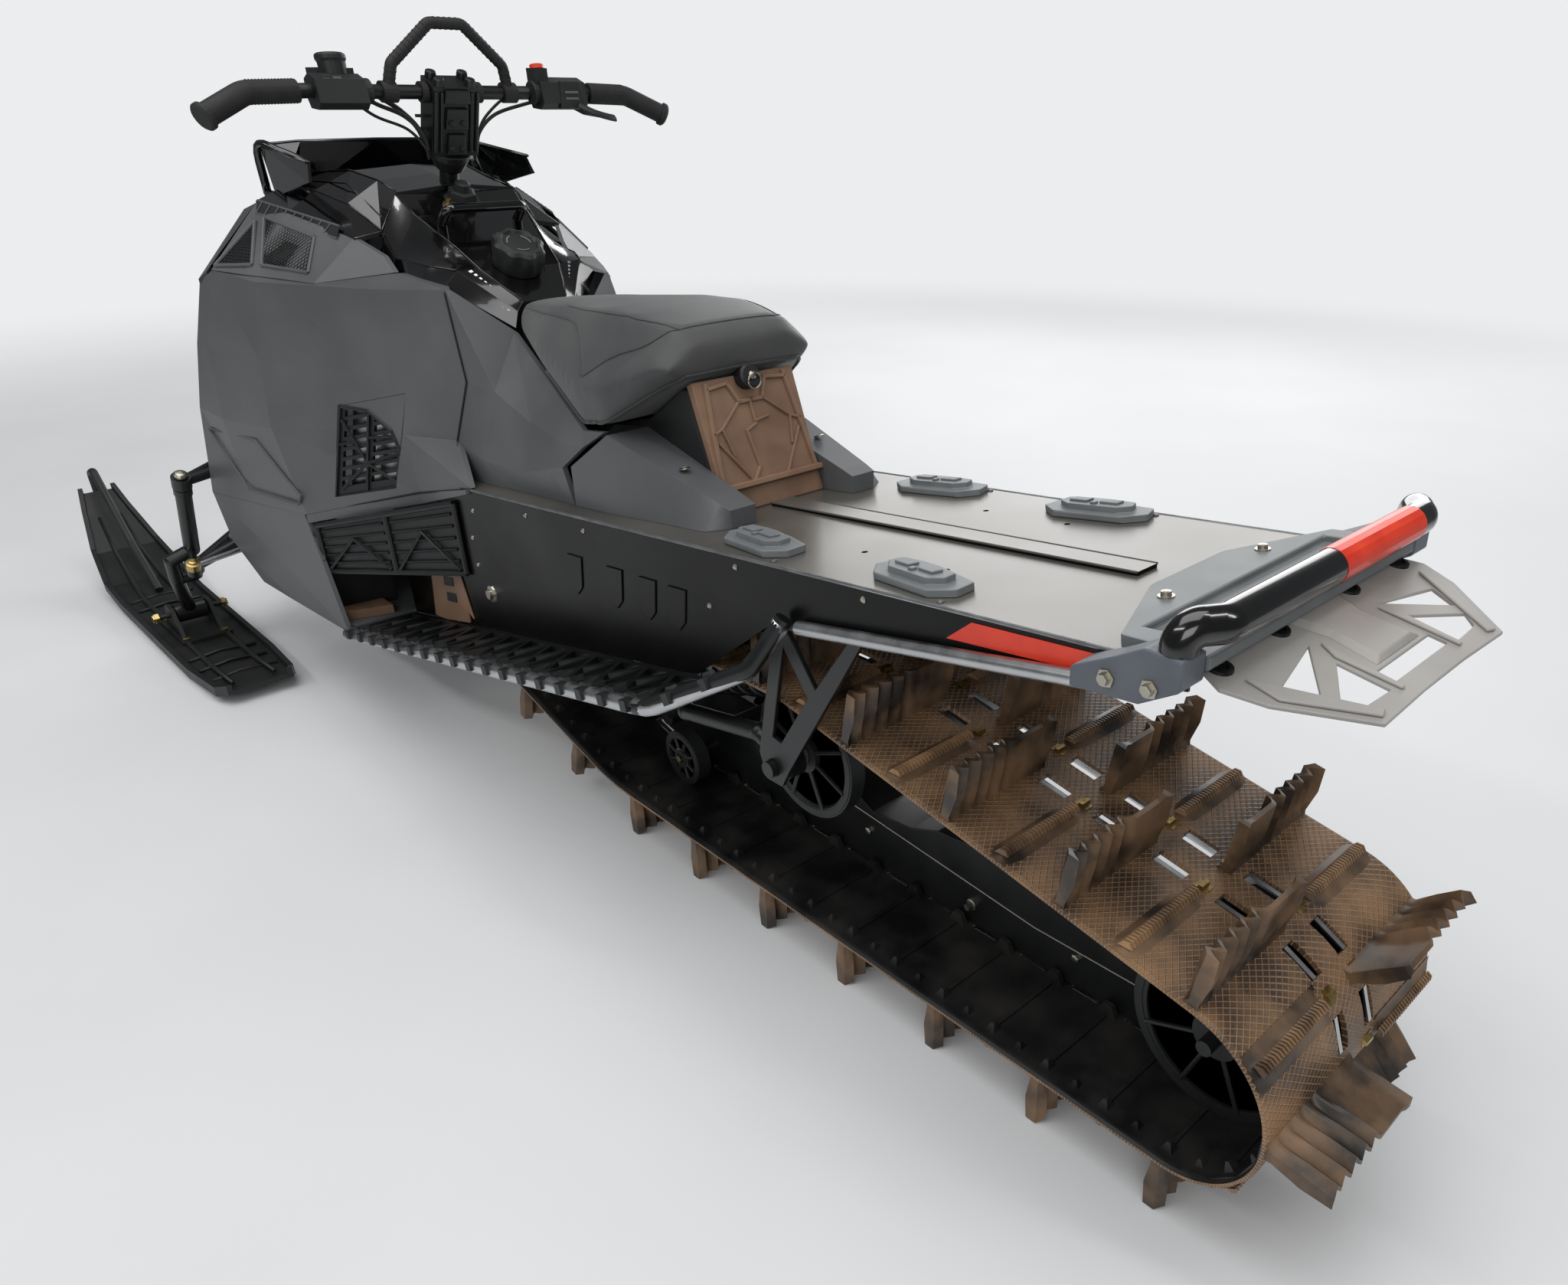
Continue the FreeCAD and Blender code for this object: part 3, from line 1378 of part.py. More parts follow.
# Skis
SKI_LINE = (
    # distance ahead of the bolt, height of the sole, half width
    (-440, 26, 62),
    (-400, 14, 76),
    (-250, 8, 86),
    (250, 8, 88),
    (380, 24, 88),
    (500, 74, 74),
    (590, 150, 52),
    (624, 196, 40),
)
SKI_WALL = 10
SKI_SOLE = 8
SKI_RIM = 22
KEEL_HALF = 12


def ski_shape():
    sections = []
    for ahead, sole, half in SKI_LINE:
        left = SKI_Y + half
        right = SKI_Y - half
        section = [
            (right, sole),
            (left, sole),
            (left, sole + SKI_RIM),
            (left - SKI_WALL, sole + SKI_RIM),
            (left - SKI_WALL, sole + SKI_SOLE),
            (right + SKI_WALL, sole + SKI_SOLE),
            (right + SKI_WALL, sole + SKI_RIM),
            (right, sole + SKI_RIM),
        ]
        sections.append((SKI_X + ahead, section))
    keel_line = [(-390, 8.5), (-370, 0), (260, 0), (320, 16.5), (300, 17)]
    keel = prism([(SKI_X + a, z) for a, z in keel_line], SKI_Y - KEEL_HALF, SKI_Y + KEEL_HALF)
    return fused([loft(sections), keel])


def ski_saddle():
    """The cradle on the ski with the pivot bolt through its two ears."""
    foot = SKI_SOLE + 8 + GAP
    corners = [(SKI_X + a, SKI_Y + b) for a, b in ((-90, -50), (90, -50), (90, 50), (-90, 50))]
    shapes = [slab(corners, foot, foot + 8)]
    ear = [(SKI_X - 60, foot + 6), (SKI_X + 60, foot + 6)]
    ear += [(SKI_X + 20, SKI_Z + 20), (SKI_X - 20, SKI_Z + 20)]
    for y in (SKI_Y - 42, SKI_Y + 34):
        shapes.append(prism(ear, y, y + 8))
    shapes.append(disc(SKI_X, SKI_Z, SKI_Y - 75, SKI_Y + 75, BOLT_R))
    return fused(shapes)


LOOP_LINE = ((272, 32), (420, 118), (596, 262), (633.4, 250), (633.4, 192))


def ski_loop():
    return tube([V(SKI_X + ahead, SKI_Y, z) for ahead, z in LOOP_LINE], 9, 14)


for side, turn in (("left", lambda shape: shape), ("right", flip)):
    feature("spindle_" + side, turn(left_spindle))
    feature("tie_rod_" + side, turn(left_tie))
    feature("ski_" + side, turn(ski_shape()))
    feature("ski_saddle_" + side, turn(ski_saddle()))
    feature("ski_loop_" + side, turn(ski_loop()))

# Steering column and bars
BAR_R = size("bar_radius")
GRIP_R = 17
BAR_CENTRE = POST_FOOT + POST_UP * size("bar_rise")
BAR_BEND = 40
bar_line = [
    BAR_CENTRE + V(-34.3, size("grip_half"), -34.4),
    BAR_CENTRE + V(-16.3, 325, -2.4),
    BAR_CENTRE + V(-14.3, 235, 0.6),
    BAR_CENTRE + V(0, 118, 0),
]


def riser():
    """The steering post with the tall block that clamps the bar."""
    block = Part.makeBox(44, 80, 118, V(-22, -40, 0))
    block.rotate(V(0, 0, 0), AXIS_Y, -math.degrees(RAKE))
    block.translate(POST_FOOT + POST_UP * 38)
    post = rod(POST_FOOT - POST_UP * 60, POST_FOOT + POST_UP * 60, POST_R)
    room = rod(BAR_CENTRE - V(0, 90, 0), BAR_CENTRE + V(0, 90, 0), BAR_R + GAP)
    return fused([post, block]).cut(room)


feature("riser", riser())
right_line = [V(p.x, -p.y, p.z) for p in reversed(bar_line)]
feature("handlebar", tube(bar_line + right_line, BAR_R, BAR_BEND))

hoop_line = [BAR_CENTRE + V(-1.3, 104, 2.6), BAR_CENTRE + V(-11.3, 95, 41.6)]
hoop_line.append(BAR_CENTRE + V(-24.3, 28, 101.6))
hoop = tube(hoop_line + [V(p.x, -p.y, p.z) for p in reversed(hoop_line)], 9, 14)
bar_room = tube(bar_line + right_line, BAR_R + GAP, BAR_BEND)
feature("mountain_strap", clear_of(hoop, [bar_room]))

grip_inner = bar_line[2] + (bar_line[1] - bar_line[2]) * 0.16
grip_tip = bar_line[0] + (bar_line[0] - bar_line[1]).normalize() * 5
left_grip = tube([grip_tip, bar_line[1], grip_inner], GRIP_R, BAR_BEND)
bore_tip = bar_line[0] + (bar_line[0] - bar_line[1]).normalize() * GAP
grip_bore = tube([bore_tip, bar_line[1], bar_line[2]], BAR_R + GAP, BAR_BEND)
pair("grips", left_grip.cut(grip_bore))


def pod_block(low, high):
    """A faceted housing round the bar between two distances from the middle."""
    ring = [(-26, -16), (-12, -26), (18, -24), (28, -6), (24, 18), (4, 26), (-20, 18)]
    points = [(BAR_CENTRE.x - 12.3 + a, BAR_CENTRE.z - 0.4 + b) for a, b in ring]
    return prism(points, low, high)


def lever(points, bend):
    """A thin bent lever, from points given as seen from the bar's centre."""
    return tube([BAR_CENTRE + V(*point) for point in points], 5, bend)


left_pod = fused(
    [
        pod_block(150, 226),
        Part.makeBox(46, 56, 30, BAR_CENTRE + V(-0.3, 152, 3.6)),
        lever([(17.7, 196, 7.6), (47.7, 236, -0.4), (43.7, 345, -12.4)], 14),
    ]
)
right_pod = fused(
    [
        flip(pod_block(178, 236)),
        lever([(-4.3, -214, -16.4), (-12.3, -240, -30.4), (-14.3, -278, -36.4)], 12),
        Part.makeBox(30, 24, 34, BAR_CENTRE + V(-26.3, -170, 5.6)),
        flip(pod_block(150, 178)),
    ]
)
feature("control_pods", Part.makeCompound([left_pod.cut(bar_room), right_pod.cut(bar_room)]))

doc.recompute()

# Every object has to be sound before anything is written.
for item in doc.Objects:
    if "Invalid" in item.State or "Error" in item.State:
        raise RuntimeError("failed: " + item.Name)
for item in subparts:
    if item.Shape.isNull() or not item.Shape.isValid():
        raise RuntimeError("not a sound shape: " + item.Label)
os.makedirs("parts", exist_ok=True)
for item in subparts:
    item.Shape.exportStep(os.path.join("parts", item.Label + ".step"))
    print(item.Label, len(item.Shape.Solids), round(item.Shape.Volume / 1000))
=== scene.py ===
# %% [markdown]
# # A deep-snow snowmobile, dressed for its portrait
#
# The CAD part already gives every frame, arm, ski and panel its true size and place.
# This lesson loads that part as a fixed frame, gives each surface the finish of its
# real material, and rebuilds in detail what a solid model leaves plain: the lugged
# track, the padded seat, the mesh of the vents, rivets, cables and coils.

import math

import bmesh
import bpy
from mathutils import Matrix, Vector
from mathutils.bvhtree import BVHTree
from mathutils.kdtree import KDTree


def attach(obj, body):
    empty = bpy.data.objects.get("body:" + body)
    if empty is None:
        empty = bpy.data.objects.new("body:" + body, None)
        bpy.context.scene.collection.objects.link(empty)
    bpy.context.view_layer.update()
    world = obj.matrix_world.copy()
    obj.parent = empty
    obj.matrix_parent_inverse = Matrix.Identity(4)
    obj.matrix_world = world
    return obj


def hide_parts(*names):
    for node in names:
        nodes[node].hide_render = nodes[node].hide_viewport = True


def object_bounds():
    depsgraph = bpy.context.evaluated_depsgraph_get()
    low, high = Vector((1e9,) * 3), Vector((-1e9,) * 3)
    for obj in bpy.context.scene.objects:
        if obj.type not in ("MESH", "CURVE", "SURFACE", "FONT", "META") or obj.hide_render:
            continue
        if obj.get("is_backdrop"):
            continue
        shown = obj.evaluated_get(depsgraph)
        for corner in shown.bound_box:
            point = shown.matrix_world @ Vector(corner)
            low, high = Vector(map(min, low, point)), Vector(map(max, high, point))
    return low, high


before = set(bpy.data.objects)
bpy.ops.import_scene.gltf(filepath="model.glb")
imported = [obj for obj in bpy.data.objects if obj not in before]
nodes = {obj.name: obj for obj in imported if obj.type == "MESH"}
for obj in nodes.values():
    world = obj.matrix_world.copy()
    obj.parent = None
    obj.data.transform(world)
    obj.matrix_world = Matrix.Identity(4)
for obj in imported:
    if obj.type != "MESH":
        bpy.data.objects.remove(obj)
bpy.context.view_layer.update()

# %% [markdown]
# ## Places and sizes
#
# The drawing of this vehicle starts at the rear idler's axle, in millimetres. The frame
# is in metres from the middle of its length, so one small function carries a drawn
# point over. Everything below is written in the drawing's millimetres.

# %% From the drawing to the frame
IDLER_X = -1.472
MM = 0.001
DECK_TOP = 696
DECK_FALL = 0.1128
TUNNEL_HALF = 207
SIDES = ((1, "left"), (-1, "right"))


def at(x, y, z):
    """A drawn point in millimetres, as a place in the frame in metres."""
    return Vector((x * MM + IDLER_X, y * MM, z * MM))


def deck_height(x):
    """The tunnel's deck falls gently towards the front."""
    return DECK_TOP - DECK_FALL * x


print("deck at the seat:", round(deck_height(900)), "mm")

# %% [markdown]
# ## Meshes from plain lists
#
# Most small pieces here are lists of corners and faces. A helper makes them one mesh
# object at the origin, merges doubled corners, turns every face outwards, and sets it
# riding on its body, so that the steering parts turn with the bars.

# %% Turn corners and faces into a piece
# Corners nearer than this, in metres, are one corner
SAME_PLACE = 0.00002


def piece(name, corners, faces, material, body="chassis", smooth=False):
    """One finished mesh at the origin, riding on a body of the frame."""
    mesh = bpy.data.meshes.new(name)
    mesh.from_pydata([tuple(c) for c in corners], [], faces)
    form = bmesh.new()
    form.from_mesh(mesh)
    bmesh.ops.remove_doubles(form, verts=form.verts, dist=SAME_PLACE)
    bmesh.ops.recalc_face_normals(form, faces=form.faces)
    form.to_mesh(mesh)
    form.free()
    mesh.materials.append(material)
    for face in mesh.polygons:
        face.use_smooth = smooth
    thing = bpy.data.objects.new(name, mesh)
    bpy.context.scene.collection.objects.link(thing)
    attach(thing, body)
    return thing


print("corners are one within", SAME_PLACE / MM, "mm")

# %% Gather small forms
CORNER_SIGNS = ((-0.5, -0.5), (0.5, -0.5), (0.5, 0.5), (-0.5, 0.5))


class Parts:
    """Gathers many small closed forms that become one piece."""

    def __init__(self):
        self.corners = []
        self.faces = []

    def add(self, corners, faces):
        """Takes in one form, with its faces numbered on from those before it."""
        first = len(self.corners)
        self.corners += [Vector(c) for c in corners]
        self.faces += [[first + i for i in face] for face in faces]
        return self

    def ring_stack(self, rings, closed=True):
        """Skins rings of as many points each, and caps both ends when closed."""
        count = len(rings[0])
        faces = []
        for level in range(len(rings) - 1):
            for i in range(count):
                j = (i + 1) % count
                a = level * count
                b = a + count
                faces.append([a + i, a + j, b + j, b + i])
        if closed:
            faces.append(list(range(count))[::-1])
            faces.append([(len(rings) - 1) * count + i for i in range(count)])
        return self.add([p for ring in rings for p in ring], faces)

    def bar(self, path, radius, sides=10, closed=True, squeeze=1.0):
        """A bar along a path; radius is one value or one for each point, squeeze flattens it."""
        path = [Vector(p) for p in path]
        radii = radius if isinstance(radius, (list, tuple)) else [radius] * len(path)
        side = None
        rings = []
        for i, point in enumerate(path):
            ahead = path[min(i + 1, len(path) - 1)] - path[max(i - 1, 0)]
            ahead.normalize()
            if side is None:
                side = ahead.orthogonal().normalized()
            side = (side - ahead * side.dot(ahead)).normalized()
            over = ahead.cross(side)
            ring = []
            for k in range(sides):
                turn = 2 * math.pi * k / sides
                spoke = side * math.cos(turn) + over * math.sin(turn) * squeeze
                ring.append(point + spoke * radii[i])
            rings.append(ring)
        return self.ring_stack(rings, closed)

    def lathe(self, centre, axis, profile, sides=24):
        """A turned form: profile lists (distance along the axis, radius)."""
        axis = Vector(axis).normalized()
        side = axis.orthogonal().normalized()
        over = axis.cross(side)
        rings = []
        for along, radius in profile:
            ring = []
            for k in range(sides):
                turn = 2 * math.pi * k / sides
                spoke = side * math.cos(turn) + over * math.sin(turn)
                ring.append(Vector(centre) + axis * along + spoke * radius)
            rings.append(ring)
        return self.ring_stack(rings)

    def block(self, centre, size, taper=1.0):
        """A six-sided block; taper narrows its upper end."""
        rings = []
        for level, share in ((-0.5, 1.0), (0.5, taper)):
            ring = []
            for a, b in CORNER_SIGNS:
                corner = Vector((a * size[0] * share, b * size[1] * share, level * size[2]))
                ring.append(Vector(centre) + corner)
            rings.append(ring)
        return self.ring_stack(rings)

    def plate(self, outline, thickness):
        """An outline of frame points given thickness along a vector."""
        return self.ring_stack([outline, [Vector(p) + Vector(thickness) for p in outline]])

    def build(self, name, material, body="chassis", smooth=False):
        """The gathered forms as one piece."""
        return piece(name, self.corners, self.faces, material, body, smooth)


print("forms:", [name for name in vars(Parts) if not name.startswith("_")])


# %% Rounded edges and smooth paths
def soften(thing, width_mm, angle=30):
    """Rounds the edges of a piece, as moulds and bending brakes do."""
    bevel = thing.modifiers.new("softened edges", "BEVEL")
    bevel.width = width_mm * MM
    bevel.segments = 2
    bevel.limit_method = "ANGLE"
    bevel.angle_limit = math.radians(angle)
    bevel.harden_normals = False


def catmull(points, steps):
    """A smooth path through its points, with a number of steps between two of them."""
    points = [Vector(p) for p in points]
    ends = [points[0] * 2 - points[1]] + points + [points[-1] * 2 - points[-2]]
    path = []
    for i in range(1, len(ends) - 2):
        a, b, c, d = ends[i - 1 : i + 3]
        for k in range(steps):
            t = k / steps
            bend = (2 * a - 5 * b + 4 * c - d) * t * t
            twist = (3 * b - a - 3 * c + d) * t**3
            path.append(0.5 * ((2 * b) + (c - a) * t + bend + twist))
    path.append(points[-1])
    return path


print("helpers ready")

# %% [markdown]
# ## Colours and nodes
#
# Screens and paint charts give colours as sRGB hex, and shaders want linear light, so
# one function turns the first into the second. A second small function adds a node
# with its settings and links, which keeps each material short enough to read. The three
# after it build what all finishes share: an empty tree, soft patches of two tones such as
# any used surface has, and the shader with its bumps.

# %% Colour and node helpers
def linear(hex_code):
    """An sRGB hex colour as linear light with full opacity."""
    values = [int(hex_code[i : i + 2], 16) / 255 for i in (0, 2, 4)]
    return tuple(v / 12.92 if v <= 0.04045 else ((v + 0.055) / 1.055) ** 2.4 for v in values) + (1.0,)


def add(tree, kind, inputs=None, **settings):
    """One node; inputs maps a socket's name or number to a value or an output."""
    node = tree.nodes.new(kind)
    for key, value in settings.items():
        setattr(node, key, value)
    for socket, value in (inputs or {}).items():
        if isinstance(value, bpy.types.NodeSocket):
            tree.links.new(value, node.inputs[socket])
        else:
            node.inputs[socket].default_value = value
    return node


def empty_finish(name):
    """A new material, its empty node tree, and a node that knows the place on the piece."""
    material = bpy.data.materials.new(name)
    material.use_nodes = True
    tree = material.node_tree
    tree.nodes.clear()
    return material, tree, add(tree, "ShaderNodeTexCoord")


def patches(tree, place, patch_mm, detail, colours, stops, rough, ends):
    """Soft patches, in which a colour and a roughness change together between two values.

    Each colour is pure beyond its stop, and each roughness is reached at its end.
    """
    clouds = add(
        tree,
        "ShaderNodeTexNoise",
        {"Vector": place.outputs["Object"], "Scale": 1 / (patch_mm * MM), "Detail": detail},
    )
    tone = add(tree, "ShaderNodeValToRGB", {"Fac": clouds.outputs["Fac"]})
    for element, stop, colour in zip(tone.color_ramp.elements, stops, colours):
        element.position = stop
        element.color = linear(colour)
    levels = {"From Min": ends[0], "From Max": ends[1], "To Min": rough[0], "To Max": rough[1]}
    gloss = add(tree, "ShaderNodeMapRange", {"Value": clouds.outputs["Fac"], **levels})
    return tone.outputs["Color"], gloss.outputs["Result"]


def surface(tree, colour, gloss, height, depth_mm, strength=1.0, **shader):
    """The shader of a finish; shader sets values on the shader's own sockets."""
    bump = add(tree, "ShaderNodeBump", {"Height": height, "Distance": depth_mm * MM, "Strength": strength})
    sockets = {"Base Color": colour, "Roughness": gloss, "Normal": bump.outputs["Normal"]}
    body = add(tree, "ShaderNodeBsdfPrincipled", sockets)
    for socket, value in shader.items():
        body.inputs[socket.replace("_", " ")].default_value = value
    add(tree, "ShaderNodeOutputMaterial", {"Surface": body.outputs["BSDF"]})


def finish_of(name, main, second, patch_mm, rough, grain_mm, grain_depth_mm, **shader):
    """A finish with a slow change of tone and a fine grain; rough is (smoothest, roughest)."""
    material, tree, place = empty_finish(name)
    colour, gloss = patches(tree, place, patch_mm, 4.0, (main, second), (0.35, 0.7), rough, (0.3, 0.7))
    grain = add(
        tree,
        "ShaderNodeTexNoise",
        {"Vector": place.outputs["Object"], "Scale": 1 / (grain_mm * MM), "Detail": 2.0},
    )
    surface(tree, colour, gloss, grain.outputs["Fac"], grain_depth_mm, **shader)
    return material


print("white is", linear("ffffff"))

# %% [markdown]
# ## The finishes of the body
#
# Nearly all of the machine is dark, so the difference between its parts is in their
# gloss: satin moulded panels, gloss-painted hood and bumper, pebbled black plastic,
# powder-coated tubes with a faint orange peel, and a deck of coated aluminium that
# mirrors the room. Each is named for what it is made of and how.

# %% Moulded and painted finishes
# Injection-moulded nylon: even satin, a grain of about a millimetre
satin_panel = finish_of("satin moulded nylon", "484a4c", "525455", 160, (0.38, 0.48), 0.9, 0.02)
# The same moulding in black, with a coarser pebble
pebbled_black = finish_of("pebbled black polypropylene", "121314", "1c1d1e", 90, (0.45, 0.6), 1.4, 0.05)
# Gloss paint over plastic: deep black under a clear coat
gloss_black = finish_of(
    "gloss painted black", "040405", "080809", 220, (0.14, 0.22), 2.5, 0.003,
    Coat_Weight=0.7, Coat_Roughness=0.04,
)
# Powder coat: thick, even, with a faint orange peel of two to three millimetres
powder_black = finish_of("powder coated steel", "0d0e0f", "151617", 60, (0.3, 0.42), 2.4, 0.02)
# Coated aluminium sheet: dark grey, smooth enough to mirror the ceiling softly, and painted lighter than the
# tunnel's black sides as a painted reflection of the room
painted_reflection_deck = finish_of(
    "satin coated aluminium deck with painted reflection", "565450", "686660", 260, (0.32, 0.44), 3.0, 0.006,
    Metallic=0.5, Coat_Weight=0.2, Coat_Roughness=0.2,
)
# The same sheet on the tunnel's sides, in a black coat
tunnel_side = finish_of(
    "gloss coated aluminium side", "030303", "060606", 200, (0.3, 0.4), 3.0, 0.004, Specular_IOR_Level=0.22
)
# Moulded nylon and rubber in greys and a bronze brown: dull, with a grain of a millimetre
grey_moulding = finish_of("mid grey moulded nylon", "5d6163", "6b6f70", 70, (0.42, 0.55), 0.9, 0.03)
warm_grey = finish_of("warm grey flexible flap", "8a8783", "989590", 120, (0.35, 0.5), 1.2, 0.02)
slate_grey = finish_of("slate grey casting", "4a4f56", "565b61", 50, (0.4, 0.52), 0.9, 0.03)
bronze_moulding = finish_of("bronze brown moulded panel", "6b5140", "7d614b", 60, (0.4, 0.55), 1.1, 0.03)
# Bare metals: their grain is finer than shows, so it is drawn at nearly a millimetre
bare_aluminium = finish_of(
    "machined aluminium", "b9bbbd", "c6c8c9", 30, (0.26, 0.38), 0.8, 0.0015, Metallic=1.0
)
zinc_steel = finish_of("zinc plated steel", "a8a49a", "bdb8a8", 12, (0.25, 0.4), 0.7, 0.006, Metallic=1.0)
gold_zinc = finish_of("yellow passivated zinc", "b29a62", "c7b078", 8, (0.25, 0.4), 0.7, 0.006, Metallic=1.0)
# Cast acrylic with a dark tint: smooth and glossy
smoked_acrylic = finish_of(
    "smoked acrylic", "0a0b0c", "0e0f10", 200, (0.05, 0.1), 5.0, 0.002, Coat_Weight=1.0, Coat_Roughness=0.02
)
# Reflective film, rubber and the engine's cast metal
red_film = finish_of("red reflective film", "c02608", "d0340f", 40, (0.34, 0.44), 1.6, 0.006, Coat_Weight=0.2)
soft_rubber = finish_of("moulded grip rubber", "151516", "1f1f20", 25, (0.6, 0.75), 0.8, 0.03)
cast_engine = finish_of("cast aluminium", "84868a", "97999c", 40, (0.45, 0.6), 1.2, 0.06, Metallic=0.9)

# What isn't named here is black polypropylene
DRESSED = (
    (satin_panel, "belly_pan knee_panels rear_covers side_panels vent_frames"),
    (gloss_black, "console console_tube hood nose rear_bumper"),
    (powder_black, "a_arms drop_brackets front_bumper front_frame front_shocks handlebar pitman_arm"),
    (powder_black, "rail_beam riser running_boards skid_arms skid_dampers spindle_left spindle_right"),
    (grey_moulding, "deck_cleats rear_end_cap"),
    (slate_grey, "bumper_brackets"),
    (warm_grey, "snow_flap"),
    (bronze_moulding, "seat_rear_panel toe_rests"),
    (bare_aluminium, "exhaust_pipe tie_rod_left tie_rod_right tunnel_edge_rails"),
    (smoked_acrylic, "headlights windshield"),
    (soft_rubber, "grips mountain_strap"),
    (cast_engine, "engine_block"),
    (tunnel_side, "tunnel"),
)
finishes = {name: finish for finish, names in DRESSED for name in names.split()}
for name, thing in nodes.items():
    thing.data.materials.clear()
    thing.data.materials.append(finishes.get(name, pebbled_black))

# The tunnel's upper faces are the deck, painted lighter than its sides as a painted reflection of the room
FACES_UP = 0.7
nodes["tunnel"].data.materials.append(painted_reflection_deck)
for face in nodes["tunnel"].data.polygons:
    face.material_index = 1 if face.normal.z > FACES_UP else 0
print("finishes:", len(bpy.data.materials))

# %% [markdown]
# ## The track
#
# The track is one endless rubber belt: 44 pitches of 88.9 mm, stiffened by a rod under
# every pitch. Each pitch has a tall paddle on one side and a low rib on the other, and
# the sides change from pitch to pitch. First comes the path that it runs on, which is
# the same loop of straight runs and arcs as in the solid model.

# %% The loop that the belt runs on
PITCH = 88.9
PITCHES = 44
HALF_BELT = 3.5
HALF_WIDTH = 190.5
LUG_TIP = 79.0
# x, z and radius of the pitch line round the rear idlers, the rail's bend and the upper idlers
REAR_IDLERS = (0, 197, 117.5)
RAIL_BEND = (1060, 579.5, 500)
UPPER_IDLERS = (639, 326, 101.5)
DRIVER_HEIGHT = 318
DRIVER_RADIUS = 99


def loop_parts(driver_x):
    """Straight runs and arcs of the pitch line as (is_arc, length, data), in millimetres."""
    wheels = (REAR_IDLERS, RAIL_BEND, (driver_x, DRIVER_HEIGHT, DRIVER_RADIUS), UPPER_IDLERS)
    runs = []
    for (ax, az, ar), (bx, bz, br) in zip(wheels, wheels[1:] + wheels[:1]):
        span = math.hypot(bx - ax, bz - az)
        heading = math.atan2(bz - az, bx - ax) + math.asin((ar - br) / span)
        runs.append((heading, math.sqrt(span**2 - (ar - br) ** 2)))
    parts = []
    count = len(wheels)
    for i in range(count + 1):
        x, z, radius = wheels[i % count]
        arrive = runs[i - 1][0]
        heading, length = runs[i % count]
        turn = (heading - arrive) % (2 * math.pi)
        if i > 0:
            parts.append((True, radius * turn, (x, z, radius, arrive)))
        if i < count:
            start = (x + radius * math.sin(heading), z - radius * math.cos(heading), heading)
            parts.append((False, length, start))
    return parts


# The drive axle stands where the loop holds a whole number of pitches, found by halving
near, far = 1450.0, 2200.0
for halving in range(50):
    driver_x = (near + far) / 2
    if sum(part[1] for part in loop_parts(driver_x)) < PITCH * PITCHES:
        near = driver_x
    else:
        far = driver_x
LOOP = loop_parts(driver_x)


def belt_at(travel):
    """Place (x, z) and heading on the pitch line after a travel from under the idler."""
    travel %= PITCH * PITCHES
    for is_arc, length, data in LOOP:
        if travel <= length:
            break
        travel -= length
    if not is_arc:
        x, z, heading = data
        return x + travel * math.cos(heading), z + travel * math.sin(heading), heading
    x, z, radius, arrive = data
    heading = arrive + travel / radius
    return x + radius * math.sin(heading), z - radius * math.cos(heading), heading


def on_belt(travel, y, out):
    """The frame point at a travel, a side and a distance outside the pitch line."""
    x, z, heading = belt_at(travel)
    return at(x + out * math.sin(heading), y, z - out * math.cos(heading))


print("drive axle at", round(driver_x, 1), "mm; loop", round(sum(part[1] for part in LOOP), 1), "mm")

# %% [markdown]
# The rubber came out of a mould with a knurl of small diamonds, and dust has settled in
# it. The knurl is drawn in the belt's own map: two sets of slanting lines, and wherever
# a point is near either line the surface stands up a little and is painted lighter, a
# painted highlight on its ridges.

# %% Track rubber
DUST_PATCH_MM = 71.43
RUBBER_GRAIN_MM = 1.4286
KNURL_SLANT = 0.62
KNURL_DEPTH_MM = 0.9
RUBBER_DEPTH_MM = 0.12
# The colour of the painted highlight on the knurl's ridges
KNURL_RIDGE_HIGHLIGHT = "b8936a"


def rubber_finish(name, dark, dusty, knurl_mm=None):
    """Moulded rubber with dust; knurl_mm adds diamond lines of that pitch on the UV map, painted lighter on
    their ridges as a highlight.
    """
    material, tree, place = empty_finish(name)
    colour, gloss = patches(
        tree, place, DUST_PATCH_MM, 6.0, (dark, dusty), (0.38, 0.66), (0.34, 0.56), (0.35, 0.65)
    )
    grain = add(
        tree,
        "ShaderNodeTexNoise",
        {"Vector": place.outputs["Object"], "Scale": 1 / (RUBBER_GRAIN_MM * MM), "Detail": 2.0},
    )
    height = grain.outputs["Fac"]
    if knurl_mm:
        near_line = None
        for sign in (1, -1):
            lines_per_metre = 1 / (knurl_mm * MM)
            across = (
                math.cos(KNURL_SLANT) * lines_per_metre,
                sign * math.sin(KNURL_SLANT) * lines_per_metre,
                0,
            )
            count = add(
                tree, "ShaderNodeVectorMath", {0: place.outputs["UV"], 1: across}, operation="DOT_PRODUCT"
            )
            part = add(tree, "ShaderNodeMath", {0: count.outputs["Value"]}, operation="FRACT")
            off = add(tree, "ShaderNodeMath", {0: part.outputs[0], 1: 0.5}, operation="SUBTRACT")
            line = add(tree, "ShaderNodeMath", {0: off.outputs[0]}, operation="ABSOLUTE")
            if near_line is None:
                near_line = line
            else:
                near_line = add(
                    tree, "ShaderNodeMath", {0: near_line.outputs[0], 1: line.outputs[0]}, operation="MAXIMUM"
                )
        ridge = add(
            tree, "ShaderNodeMapRange", {"Value": near_line.outputs[0], "From Min": 0.34, "From Max": 0.48}
        ).outputs["Result"]
        grained = add(
            tree, "ShaderNodeMath", {0: ridge, 1: height, 2: 0.15}, operation="MULTIPLY_ADD"
        )
        height = add(tree, "ShaderNodeMath", {0: ridge, 1: grained.outputs[0]}, operation="ADD").outputs[0]
        # The knurl's ridges are painted lighter: a painted highlight
        highlight_share = add(tree, "ShaderNodeMath", {0: ridge, 1: 0.55}, operation="MULTIPLY")
        ridge_highlight = add(
            tree,
            "ShaderNodeMix",
            {0: highlight_share.outputs[0], 6: colour, 7: linear(KNURL_RIDGE_HIGHLIGHT)},
            data_type="RGBA",
        )
        colour = ridge_highlight.outputs[2]
    surface(tree, colour, gloss, height, KNURL_DEPTH_MM if knurl_mm else RUBBER_DEPTH_MM)
    return material


